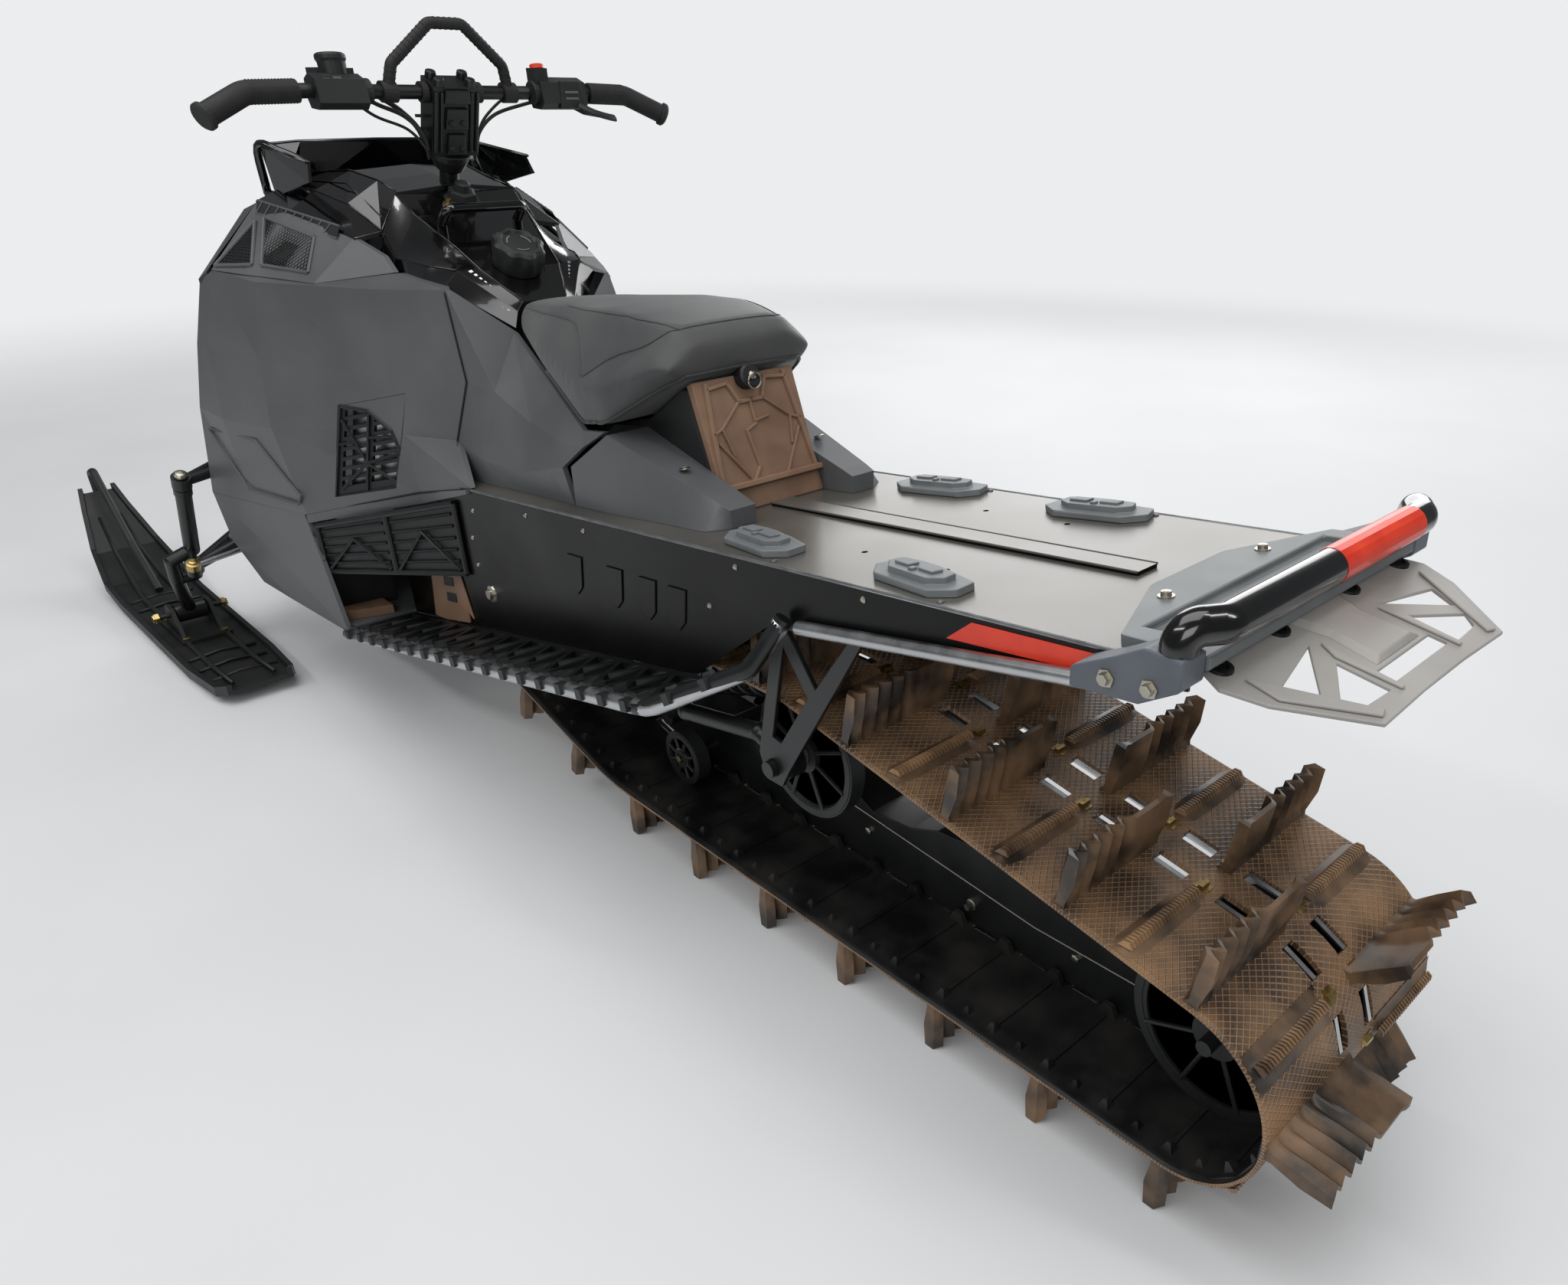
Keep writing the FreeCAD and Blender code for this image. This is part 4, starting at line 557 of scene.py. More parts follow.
knurled_rubber = rubber_finish("dusty knurled track rubber", "40322a", "8a6a4c", knurl_mm=7.5)
lug_rubber = rubber_finish("dusty track rubber", "2a231d", "7a5f45")
# A lighter copy of the track rubber for the braid on each rib: a painted highlight on the crest
braid_highlight_rubber = rubber_finish("track rubber with painted highlight", "4a3a2e", "9c7a56")
inner_rubber = rubber_finish("black track rubber", "0f0f10", "242220")
print("rubber ready")

# %% [markdown]
# The belt itself is a net of small flat cells, twelve to a pitch, laid along the loop on
# both faces. Leaving cells out makes the two rows of windows in which the drive teeth
# and the ice work, and a wall goes wherever a kept cell borders a missing one.

# %% The belt with its windows
ROWS_PER_PITCH = 12
ROWS = ROWS_PER_PITCH * PITCHES
COLUMNS = (-HALF_WIDTH, -186, -120, -41, -19, 19, 41, 120, 186, HALF_WIDTH)
WINDOW_COLUMNS = (3, 5)
EDGE_CHAMFER = 1.6


def kept(row, column):
    """Whether a cell is rubber, and neither a window nor outside the belt."""
    in_window = ROWS_PER_PITCH // 4 <= row % ROWS_PER_PITCH < ROWS_PER_PITCH * 3 // 4
    return 0 <= column < len(COLUMNS) - 1 and not (column in WINDOW_COLUMNS and in_window)


corners = []
for row in range(ROWS):
    travel = row * PITCH / ROWS_PER_PITCH
    for y in COLUMNS:
        edge = EDGE_CHAMFER if abs(y) == HALF_WIDTH else 0
        corners.append(on_belt(travel, y, HALF_BELT - edge))
        corners.append(on_belt(travel, y, -HALF_BELT + edge))


def corner(row, column, inside):
    """The number of a corner on the outer (0) or inner (1) face."""
    return ((row % ROWS) * len(COLUMNS) + column) * 2 + inside


faces = []
face_map = []
face_inside = []


def belt_face(loop, inside):
    """One face from (row, column, inside) corners, with its map in metres along and across."""
    faces.append([corner(*c) for c in loop])
    face_map.append([(c[0] * PITCH / ROWS_PER_PITCH * MM, COLUMNS[c[1]] * MM) for c in loop])
    face_inside.append(inside)


for row in range(ROWS):
    for column in range(len(COLUMNS) - 1):
        if not kept(row, column):
            continue
        belt_face([(row, column, 0), (row, column + 1, 0), (row + 1, column + 1, 0), (row + 1, column, 0)], 0)
        belt_face([(row, column, 1), (row + 1, column, 1), (row + 1, column + 1, 1), (row, column + 1, 1)], 1)
        for there, ends in (
            (kept(row, column - 1), ((row, column), (row + 1, column))),
            (kept(row, column + 1), ((row + 1, column + 1), (row, column + 1))),
            (kept((row - 1) % ROWS, column), ((row, column + 1), (row, column))),
            (kept((row + 1) % ROWS, column), ((row + 1, column), (row + 1, column + 1))),
        ):
            if not there:
                (ra, ca), (rb, cb) = ends
                belt_face([(ra, ca, 0), (rb, cb, 0), (rb, cb, 1), (ra, ca, 1)], 0)

print("faces drawn for the belt:", len(faces))

# %% The belt's mesh, with its map and its two rubbers
belt_mesh = bpy.data.meshes.new("track_belt")
belt_mesh.from_pydata([tuple(c) for c in corners], [], faces)
uv = belt_mesh.uv_layers.new(name="belt")
for face, spots, inside in zip(belt_mesh.polygons, face_map, face_inside):
    face.material_index = inside
    for loop_index, spot in zip(face.loop_indices, spots):
        uv.data[loop_index].uv = spot
belt_mesh.materials.append(knurled_rubber)
belt_mesh.materials.append(inner_rubber)
form = bmesh.new()
form.from_mesh(belt_mesh)
loose = [v for v in form.verts if not v.link_faces]
bmesh.ops.delete(form, geom=loose, context="VERTS")
bmesh.ops.recalc_face_normals(form, faces=form.faces)
form.to_mesh(belt_mesh)
form.free()
track_belt = bpy.data.objects.new("track_belt", belt_mesh)
scene = bpy.context.scene
scene.collection.objects.link(track_belt)
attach(track_belt, "chassis")
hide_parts("track")
print("belt faces:", len(belt_mesh.polygons))

# %% [markdown]
# ## One pitch, drawn once
#
# A paddle is a thin rubber wall, fluted like corrugated sheet so that it stands up in
# deep snow without being heavy. Its foot is thicker than its lip, its ends are thickened
# too, and the lip is scalloped. The low rib opposite covers the rod, with a braid of
# bumps. Both are drawn lying on a flat belt: X along it, Z outwards.

# %% Paddle and rib
def paddle_grid(side):
    """Rings of one tall paddle, on the left (1) or right (-1) of the belt."""
    inner, outer = 12.0, 187.5
    stations = 33
    # height, half the thickness, and the share of the fluting there
    levels = ((2.5, 10.0, 0.1), (10.0, 6.0, 0.5), (44.0, 4.0, 1.0), (LUG_TIP, 3.2, 1.0))
    fluted_from, waves, swing_mm = 0.38, 5, 6.4
    rings = []
    for s in range(stations):
        share = s / (stations - 1)
        y = inner + share * (outer - inner)
        wave_place = max(0.0, (share - fluted_from) / (1 - fluted_from)) * waves
        swing = -math.cos(2 * math.pi * wave_place)
        flute = math.copysign(abs(swing) ** 0.6, swing)
        flare = 1.0 + 1.3 * max(0.0, 1 - share / 0.05, 1 - (1 - share) / 0.05)
        lip = -3.5 * (0.5 - 0.5 * math.cos(2 * math.pi * wave_place))
        if 0.08 < share < 0.93:
            lip -= 2.5
        front = []
        back = []
        for level, (height, half, wave) in enumerate(levels):
            top = height + (lip if level == 3 else 0)
            centre = swing_mm * flute * wave
            width = half * (flare if level > 1 else 1.0)
            front.append((centre + width, side * y, top))
            back.append((centre - width, side * y, top))
        rings.append(front + back[::-1])
    return rings


def rib_grid(side):
    """Rings of the rounded rib over the rod, on the left (1) or right (-1) of the belt."""
    inner, outer = 44.0, 188.5
    stations = 15
    foot = 2.4
    profile = ((-22, 2.4), (-12, 5.0), (-6, 10.5), (0, 12.5), (6, 10.5), (12, 5.0), (22, 2.4))
    rings = []
    for s in range(stations):
        share = s / (stations - 1)
        y = inner + share * (outer - inner)
        end = min(1.0, 6 * share, 6 * (1 - share) + 0.2)
        rings.append([(x, side * y, foot + (height - foot) * end) for x, height in profile])
    return rings


def module(name, forms, material):
    """A drawn pitch as a mesh object that is only a pattern for the repeats."""
    gathered = Parts()
    for rings in forms:
        gathered.ring_stack([[Vector(p) * MM for p in ring] for ring in rings])
    mesh = bpy.data.meshes.new(name)
    mesh.from_pydata([tuple(c) for c in gathered.corners], [], gathered.faces)
    form = bmesh.new()
    form.from_mesh(mesh)
    bmesh.ops.recalc_face_normals(form, faces=form.faces)
    form.to_mesh(mesh)
    form.free()
    mesh.materials.append(material)
    pattern = bpy.data.objects.new(name, mesh)
    scene.collection.objects.link(pattern)
    return pattern


def block_rings(centre, size, taper=(1.0, 1.0)):
    """A block as two rings of four corners; taper narrows its outer end in x and y."""
    rings = []
    for end, (share_x, share_y) in ((-0.5, (1, 1)), (0.5, taper)):
        ring = []
        for a, b in CORNER_SIGNS:
            x = centre[0] + a * size[0] * share_x
            y = centre[1] + b * size[1] * share_y
            ring.append((x, y, centre[2] + end * size[2]))
        rings.append(ring)
    return rings


def braid_rings(side):
    """Slanting bumps along the rib's crest, like the turns of a rope."""
    rings = []
    for k in range(24):
        y = side * (51 + 5.6 * k)
        low = [(-8.5, y - 2.4, 9.0), (8.5, y + 1.2, 9.0), (8.5, y + 4.6, 9.0), (-8.5, y + 1.0, 9.0)]
        high = [(-4.0, y - 1.4, 15.2), (4.0, y + 0.6, 15.2), (4.0, y + 3.2, 15.2), (-4.0, y + 1.2, 15.2)]
        rings.append([low, high])
    return rings


print("rings of a paddle:", len(paddle_grid(1)), "and of a rib:", len(rib_grid(1)))

# %% Paddle, rib and braid patterns
lug_patterns = {}
for side, name in SIDES:
    lug_patterns["paddle", name] = module(f"pattern_{name}_paddle", [paddle_grid(side)], lug_rubber)
    lug_patterns["rib", name] = module(f"pattern_{name}_rib", [rib_grid(side)], lug_rubber)
    lug_patterns["braid", name] = module(f"pattern_{name}_braid", braid_rings(side), braid_highlight_rubber)
print("lug patterns:", len(lug_patterns))

# %% Clip, strip and tooth patterns
clip_forms = []
strip_forms = []
tooth_forms = []
mid_forms = []
for side in (1, -1):
    clip_forms.append(block_rings((0, side * 30, 5.5), (9, 17, 7), (0.6, 0.9)))
    clip_forms.append(block_rings((0, side * 30, 0), (19, 15, 9.0)))
    strip_forms.append(block_rings((0, side * 34, 0.0), (44, 6.5, 3.0)))
    tooth_forms.append(block_rings((0, side * 44.5, -11), (30, 9, -18), (0.45, 0.8)))
    tooth_forms.append(block_rings((0, side * 166, -8), (16, 16, -11), (0.3, 0.3)))
    tooth_forms.append(block_rings((0, side * 112, -4.4), (5, 120, -3)))
    mid_forms.append(block_rings((0, side * 166, -7), (12, 12, -8), (0.3, 0.3)))
    for forms in (tooth_forms, mid_forms):
        forms.append(block_rings((0, side * 183, -4.2), (PITCH * 0.5, 4, -3)))
clip_pattern = module("pattern_clips", clip_forms, gold_zinc)
mid_pattern = module("pattern_mid_teeth", mid_forms, inner_rubber)
strip_pattern = module("pattern_strips", strip_forms, bare_aluminium)
tooth_pattern = module("pattern_teeth", tooth_forms, inner_rubber)
print("faces of a paddle:", len(lug_patterns["paddle", "left"].data.polygons))

# %% [markdown]
# ## Repeat it with Geometry Nodes
#
# A carrier mesh holds one point for each pitch, and each point knows how far the belt
# has turned there. The tree sets the pattern on every point, turns it, makes it a hair
# shorter as worn rubber is, and turns the copies into a plain mesh.

# %% The tree that repeats a pattern along the belt
WEAR_SEED = 11


def repeat_tree():
    """The node tree: a pattern on every point, turned, worn and made a plain mesh."""
    tree = bpy.data.node_groups.new("repeat along the belt", "GeometryNodeTree")
    face = tree.interface
    face.new_socket(name="Geometry", in_out="INPUT", socket_type="NodeSocketGeometry")
    face.new_socket(name="Pattern", in_out="INPUT", socket_type="NodeSocketObject")
    face.new_socket(name="Finish", in_out="INPUT", socket_type="NodeSocketMaterial")
    face.new_socket(name="Wear", in_out="INPUT", socket_type="NodeSocketFloat")
    face.new_socket(name="Geometry", in_out="OUTPUT", socket_type="NodeSocketGeometry")
    given = add(tree, "NodeGroupInput")
    pattern = add(tree, "GeometryNodeObjectInfo", {"Object": given.outputs["Pattern"]})
    turn = add(tree, "GeometryNodeInputNamedAttribute", {"Name": "turn"}, data_type="FLOAT_VECTOR")
    least = add(tree, "ShaderNodeMath", {0: 1.0, 1: given.outputs["Wear"]}, operation="SUBTRACT")
    sizes = {2: least.outputs[0], 3: 1.0, "Seed": WEAR_SEED}
    worn = add(tree, "FunctionNodeRandomValue", sizes, data_type="FLOAT")
    grown = add(tree, "ShaderNodeCombineXYZ", {"X": 1.0, "Y": 1.0, "Z": worn.outputs[1]})
    copies = add(
        tree,
        "GeometryNodeInstanceOnPoints",
        {
            "Points": given.outputs["Geometry"],
            "Instance": pattern.outputs["Geometry"],
            "Rotation": turn.outputs["Attribute"],
            "Scale": grown.outputs["Vector"],
        },
    )
    plain = add(tree, "GeometryNodeRealizeInstances", {"Geometry": copies.outputs["Instances"]})
    dressed = add(
        tree,
        "GeometryNodeSetMaterial",
        {"Geometry": plain.outputs["Geometry"], "Material": given.outputs["Finish"]},
    )
    add(tree, "NodeGroupOutput", {"Geometry": dressed.outputs["Geometry"]})
    return tree


belt_repeat = repeat_tree()
socket_names = {}
for item in belt_repeat.interface.items_tree:
    if item.in_out == "INPUT":
        socket_names[item.name] = item.identifier
print("inputs of the tree:", list(socket_names))


# %% Repeat a pattern at its stations
def repeated(name, pattern, finish, stations, wear=0.0, body="chassis"):
    """A plain mesh of the pattern at each (place, euler turn) station."""
    carrier_mesh = bpy.data.meshes.new(name + "_stations")
    carrier_mesh.from_pydata([tuple(place) for place, turn in stations], [], [])
    turns = carrier_mesh.attributes.new("turn", "FLOAT_VECTOR", "POINT")
    for i, (place, turn) in enumerate(stations):
        turns.data[i].vector = turn
    carrier = bpy.data.objects.new(name + "_stations", carrier_mesh)
    scene.collection.objects.link(carrier)
    modifier = carrier.modifiers.new("repeat", "NODES")
    modifier.node_group = belt_repeat
    modifier[socket_names["Pattern"]] = pattern
    modifier[socket_names["Finish"]] = finish
    modifier[socket_names["Wear"]] = wear
    result = carrier.evaluated_get(bpy.context.evaluated_depsgraph_get())
    mesh = bpy.data.meshes.new_from_object(result)
    mesh.name = name
    bpy.data.objects.remove(carrier)
    thing = bpy.data.objects.new(name, mesh)
    scene.collection.objects.link(thing)
    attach(thing, body)
    return thing


def belt_stations(places):
    """The place and turn at each of many travels, counted in pitches."""
    stations = []
    for place in places:
        x, z, heading = belt_at(place * PITCH)
        stations.append((at(x, 0, z), (0.0, math.pi - heading, 0.0)))
    return stations


whole_loop = belt_stations(range(PITCHES))
print("stations:", len(whole_loop))

# %% The lugs, clips, strips and teeth of the track
half_loop = belt_stations([pitch + 0.5 for pitch in range(PITCHES)])
lugs = [
    repeated("track_paddles_left", lug_patterns["paddle", "left"], lug_rubber, whole_loop[0::2], wear=0.02),
    repeated("track_paddles_right", lug_patterns["paddle", "right"], lug_rubber, whole_loop[1::2], wear=0.02),
    repeated("track_ribs_right", lug_patterns["rib", "right"], lug_rubber, whole_loop[0::2]),
    repeated("track_ribs_left", lug_patterns["rib", "left"], lug_rubber, whole_loop[1::2]),
]
repeated("track_braids_right", lug_patterns["braid", "right"], braid_highlight_rubber, whole_loop[0::2])
repeated("track_braids_left", lug_patterns["braid", "left"], braid_highlight_rubber, whole_loop[1::2])
repeated("track_clips", clip_pattern, gold_zinc, whole_loop)
repeated("track_window_strips", strip_pattern, bare_aluminium, half_loop)
repeated("track_drive_teeth", tooth_pattern, inner_rubber, whole_loop)
repeated("track_middle_teeth", mid_pattern, inner_rubber, half_loop)
for pattern in (*lug_patterns.values(), clip_pattern, strip_pattern, tooth_pattern, mid_pattern):
    bpy.data.objects.remove(pattern)
for moulding in lugs:
    for face in moulding.data.polygons:
        face.use_smooth = True
    moulding.data.set_sharp_from_angle(angle=math.radians(38))
print("lug faces:", sum(len(moulding.data.polygons) for moulding in lugs))

# %% [markdown]
# ## Softer edges for the solid parts
#
# A moulded panel or a welded plate never has a knife edge: its rounded corner catches
# the light and draws the fine bright lines that make a dark machine readable. The CAD
# meshes keep their shape. Their triangles are only joined, and their corners rounded.

# %% Round the corners of the CAD nodes
ROUNDING_MM = {
    "side_panels": 3.0,
    "knee_panels": 2.5,
    "rear_covers": 3.0,
    "hood": 3.0,
    "nose": 3.0,
    "belly_pan": 2.0,
    "console": 2.5,
    "vent_frames": 2.0,
    "seat_base": 3.0,
    "seat_rear_panel": 2.0,
    "deck_cleats": 2.0,
    "bumper_brackets": 3.0,
    "rear_end_cap": 3.0,
    "snow_flap": 1.2,
    "riser": 4.0,
    "control_pods": 6.0,
    "drop_brackets": 1.2,
    "rail_beam": 1.5,
    "front_frame": 2.0,
    "ski_left": 2.5,
    "ski_right": 2.5,
    "ski_saddle_left": 1.5,
    "ski_saddle_right": 1.5,
    "toe_rests": 1.5,
    "footwell_liners": 1.5,
    "side_grilles": 0.8,
    "windshield": 1.5,
    "headlights": 2.0,
}
# Large faceted panels meet at such flat angles that their corners need a lower limit
FLAT_CORNERED = ("side_panels", "hood", "nose", "knee_panels")
for name, width in ROUNDING_MM.items():
    node = nodes[name]
    join = node.modifiers.new("join triangles", "WELD")
    join.merge_threshold = SAME_PLACE
    soften(node, width, angle=12 if name in FLAT_CORNERED else 28)
    even = node.modifiers.new("even shading", "WEIGHTED_NORMAL")
    even.keep_sharp = True
print("rounded:", len(ROUNDING_MM), "nodes")

# %% [markdown]
# ## The seat
#
# A seat is a vinyl cover pulled over foam. The cover is sewn from panels, and it bulges
# between its seams. A stiff block can't show that, so the cover is simulated: a closed
# skin a little smaller than the seat is blown up like a cushion, while its seams and its
# underside are held. What comes out has the soft crown between seam lines that upholstery
# has. All three steps are run here, and only the finished skin is kept.

# %% The skin before it is blown up
SEAT_SECTIONS = (
    # x, (y, z) at the foot, the middle and the top edge
    (912, (100, 782), (128, 800), (84, 826)),
    (940, (118, 768), (142, 800), (92, 850)),
    (1040, (158, 706), (168, 760), (104, 858)),
    (1120, (150, 688), (160, 750), (100, 856)),
    (1300, (105, 730), (118, 780), (76, 838)),
    (1471, (56, 772), (52, 800), (40, 818)),
)
SEAT_INSET = 0.002
SEAT_VOXEL = 0.006


def evaluated_mesh(thing):
    """What a piece's modifiers make of it, as a plain mesh."""
    return bpy.data.meshes.new_from_object(thing.evaluated_get(bpy.context.evaluated_depsgraph_get()))


def smooth_form(form, passes, factor):
    """Evens out a form's points, and works its normals out again."""
    for number in range(passes):
        bmesh.ops.smooth_vert(
            form, verts=form.verts, factor=factor, use_axis_x=True, use_axis_y=True, use_axis_z=True
        )
    form.normal_update()


seat_form = Parts()
rings = []
for x, foot, middle, top in SEAT_SECTIONS:
    crown_height = top[1] + (3 if 930 < x < 1400 else 1)
    crown = (0, crown_height)
    shoulder = (top[0] * 0.5, (top[1] + crown_height) / 2 + 1)
    half = [(foot[0] * 0.5, foot[1] + 2), foot, middle, top, shoulder]
    ring = [(-y, z) for y, z in half] + [crown] + [(y, z) for y, z in reversed(half)]
    rings.append([at(x, y, z) for y, z in ring])
seat_form.ring_stack(rings)
seat_skin = seat_form.build("seat_cover", pebbled_black)
remesh = seat_skin.modifiers.new("even cells", "REMESH")
remesh.mode = "VOXEL"
remesh.voxel_size = SEAT_VOXEL
even_mesh = evaluated_mesh(seat_skin)
seat_skin.modifiers.clear()
seat_skin.data = even_mesh
form = bmesh.new()
form.from_mesh(even_mesh)
smooth_form(form, 9, 0.5)
for vert in form.verts:
    vert.co -= vert.normal * SEAT_INSET
form.to_mesh(even_mesh)
form.free()
print("seat skin:", len(even_mesh.vertices), "points")

# %% The seams, drawn on the left and mirrored
SEAMS = {
    # the points of each seam, front to rear
    "top": [
        (1265, 74, 842), (1165, 97, 850), (1098, 104, 854),
        (1020, 103, 857), (975, 92, 854), (942, 84, 846),
    ],
    "front": [
        (1455, 48, 812), (1347, 76, 820), (1251, 94, 826),
        (1189, 106, 826), (1150, 124, 806), (1107, 154, 767),
    ],
    "side": [(1107, 154, 767), (1063, 148, 791), (1018, 136, 812), (980, 122, 827), (942, 84, 846)],
    "foot": [
        (1300, 108, 733), (1200, 136, 712), (1112, 157, 694), (1064, 158, 703),
        (1000, 144, 733), (938, 118, 771), (914, 100, 786),
    ],
}
HELD_NEAR_SEAM = 0.0095
HELD_ABOVE_FOOT = 9
FOOT_BEYOND_ENDS = 790
SEAT_FRONT = 1462
seam_lines = []
for name, line in SEAMS.items():
    for side in (1, -1):
        seam_lines.append((name, catmull([at(x, side * y, z) for x, y, z in line], 8)))
seam_lines.append(("rear", catmull([at(942, 84, 846), at(940, 0, 850), at(942, -84, 846)], 10)))
seam_lines.append(("foot", catmull([at(914, 100, 786), at(910, 0, 787), at(914, -100, 786)], 10)))


def foot_height(x):
    """Height of the seat's lower edge at a drawn x."""
    for before, after in zip(SEAT_SECTIONS, SEAT_SECTIONS[1:]):
        if before[0] <= x <= after[0]:
            rise = after[1][1] - before[1][1]
            return before[1][1] + rise * (x - before[0]) / (after[0] - before[0])
    return FOOT_BEYOND_ENDS


seam_points = [p for name, line in seam_lines for p in line]
held = seat_skin.vertex_groups.new(name="held")
seam_index = KDTree(len(seam_points))
for i, point in enumerate(seam_points):
    seam_index.insert(point, i)
seam_index.balance()
for vert in seat_skin.data.vertices:
    drawn_x = (vert.co.x - IDLER_X) / MM
    on_seam = seam_index.find(vert.co)[2] < HELD_NEAR_SEAM
    at_foot = vert.co.z / MM < foot_height(drawn_x) + HELD_ABOVE_FOOT
    if on_seam or at_foot or drawn_x > SEAT_FRONT:
        held.add([vert.index], 1.0, "REPLACE")
print("seam lines:", len(seam_lines))

# %% Blow up the cover, then keep only its shape
SEAT_PUFF_LIMIT = 0.010
PUFF_FRAMES = 20
SEAM_REACH = 0.007
SEAM_DEPTH = 0.0018
flat_places = [vert.co.copy() for vert in seat_skin.data.vertices]
cloth = seat_skin.modifiers.new("cover", "CLOTH")
cloth.settings.quality = 5
cloth.settings.mass = 0.3
cloth.settings.tension_stiffness = 18
cloth.settings.compression_stiffness = 12
cloth.settings.bending_stiffness = 1.2
cloth.settings.vertex_group_mass = "held"
cloth.settings.use_pressure = True
cloth.settings.uniform_pressure_force = 4.0
cloth.settings.effector_weights.gravity = 0.0
cloth.collision_settings.use_collision = False
cloth.point_cache.frame_start = 1
cloth.point_cache.frame_end = PUFF_FRAMES
for frame_number in range(1, PUFF_FRAMES + 1):
    scene.frame_set(frame_number)
puffed = evaluated_mesh(seat_skin)
seat_skin.modifiers.clear()
seat_skin.data = puffed
scene.frame_set(1)
for vert, start in zip(puffed.vertices, flat_places):
    move = vert.co - start
    if move.length > SEAT_PUFF_LIMIT:
        vert.co = start + move.normalized() * SEAT_PUFF_LIMIT
form = bmesh.new()
form.from_mesh(seat_skin.data)
smooth_form(form, 3, 0.4)
for vert in form.verts:
    distance = seam_index.find(vert.co)[2]
    if distance < SEAM_REACH:
        vert.co -= vert.normal * SEAM_DEPTH * (1 - distance / SEAM_REACH)
form.to_mesh(seat_skin.data)
form.free()
seat_skin.vertex_groups.clear()
moved = [(v.co - start).length for v, start in zip(seat_skin.data.vertices, flat_places)]
print("largest move:", round(max(moved) / MM, 1), "mm")

# %% [markdown]
# The cover is textured vinyl: a fine leather grain of cells about a millimetre wide,
# satin on its raised pads and duller in the folds. The piping is a cord wrapped in the
# same vinyl and sewn into the seams, and it follows the finished surface.

# %% Seat vinyl and piping
WORN_PATCH_MM = 111.1


def vinyl_finish(name, main, worn, cell_mm, depth_mm):
    """Grained vinyl: Voronoi cells with thin valleys between them."""
    material, tree, place = empty_finish(name)
    cells = add(
        tree,
        "ShaderNodeTexVoronoi",
        {"Vector": place.outputs["Object"], "Scale": 1 / (cell_mm * MM)},
        feature="DISTANCE_TO_EDGE",
    )
    valley = add(tree, "ShaderNodeMapRange", {"Value": cells.outputs["Distance"], "From Max": 0.12})
    colour, gloss = patches(
        tree, place, WORN_PATCH_MM, 5.0, (main, worn), (0.35, 0.7), (0.42, 0.54), (0.35, 0.65)
    )
    surface(tree, colour, gloss, valley.outputs["Result"], depth_mm, strength=0.7, Sheen_Weight=0.15)
    return material


seat_vinyl = vinyl_finish("grained seat vinyl", "303132", "3b3b3b", 1.6, 0.12)
piping_vinyl = vinyl_finish("piping vinyl", "1f2021", "292a2b", 1.2, 0.05)
seat_skin.data.materials.clear()
seat_skin.data.materials.append(seat_vinyl)
for face in seat_skin.data.polygons:
    face.use_smooth = True
finer = seat_skin.modifiers.new("finer", "SUBSURF")
finer.levels = 1
finer.render_levels = 1
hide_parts("seat")

cover = BVHTree.FromPolygons(
    [v.co for v in seat_skin.data.vertices], [list(p.vertices) for p in seat_skin.data.polygons]
)
piping = Parts()
for name, line in seam_lines:
    radius, lift = (2.6, 1.2) if name == "foot" else (1.1, 0.3)
    settled = []
    for point in line:
        spot, normal = cover.find_nearest(point)[:2]
        settled.append(spot + normal * lift * MM)
    piping.bar(settled, radius * MM, sides=6)
piping.build("seat_piping", piping_vinyl, smooth=True)
print("piping bars:", len(seam_lines))

# %% [markdown]
# ## Tunnel and deck
#
# The tunnel is folded from coated aluminium sheet. Where the coat is rubbed off at its
# long fold, bare metal shows as a bright line from end to end. Rivets hold its side
# panels and the brackets behind them, and a red film strip on each side makes the
# machine visible from behind at night.

# %% Tunnel edges and rivets
edges = Parts()
for side in (1, -1):
    y = side * (TUNNEL_HALF - 1.2)
    edges.bar([at(x, y, deck_height(x) - 1.0) for x in (16, 1430)], 2.3 * MM, sides=8)
edges.build("tunnel_fold_line", bare_aluminium)

rivets = Parts()
# A domed head as (distance from the sheet, radius), in metres
RIVET_HEAD = [(0, 0.0045), (0.0012, 0.0042), (0.0024, 0.0022)]
DECK_RIVET_HEAD = [(0, 0.0045), (0.0012, 0.0042), (0.0022, 0.002)]
RIVETS = [(681, 604), (747, 531), (1060, 556), (1240, 536), (1435, 497), (1457, 443), (1456, 393), (440, 632)]
for x, z in RIVETS:
    for side in (1, -1):
        rivets.lathe(at(x, side * TUNNEL_HALF, z), (0, side, 0), RIVET_HEAD, 10)
rivets.build("tunnel_rivets", zinc_steel)
print("rivets:", 2 * len(RIVETS))

# %% Pressings and side film

presses = Parts()
# A pressing's corners from the middle of its upper edge
PRESSING = ((-24, 0), (20, -5), (26, -62), (2, -68), (-14, -52))
for x in (823, 897, 985, 1100):
    top = 538 - (x - 823) * 0.1
    for side in (1, -1):
        line = [at(x + a, side * TUNNEL_HALF, top + b) for a, b in PRESSING]
        presses.plate(line, (0, side * 0.0022, 0))
soften(presses.build("tunnel_pressings", tunnel_side), 1.0)

film = Parts()
for side in (1, -1):
    outline = [(310, 628), (274, 657), (82, 679), (108, 655)]
    film.plate([at(x, side * (TUNNEL_HALF + 0.1), z) for x, z in outline], (0, side * 0.0009, 0))
film.build("side_film", red_film)
print("film strips:", 2)

# %% Ridge edges, rivets and bolts on the deck
# The deck's own upward direction, square to its fall
deck_up = Vector((0.1121, 0, 0.9937))


def on_deck(x, y, height=0.0):
    """A drawn place on the deck, as a frame point a height above it in millimetres."""
    return at(x, y, deck_height(x)) + deck_up * height * MM


def deck_plate(outline, thickness, lift=0.1):
    """A flat outline of (x, y) on the deck, given a thickness in millimetres."""
    return [on_deck(x, y, lift) for x, y in outline], deck_up * thickness * MM


ridges = Parts()
for y in (19, -19):
    ridges.bar([on_deck(205, y, 4.4), on_deck(850, y, 4.4)], 1.5 * MM, sides=8)
ridges.build("deck_ridge_edges", painted_reflection_deck)

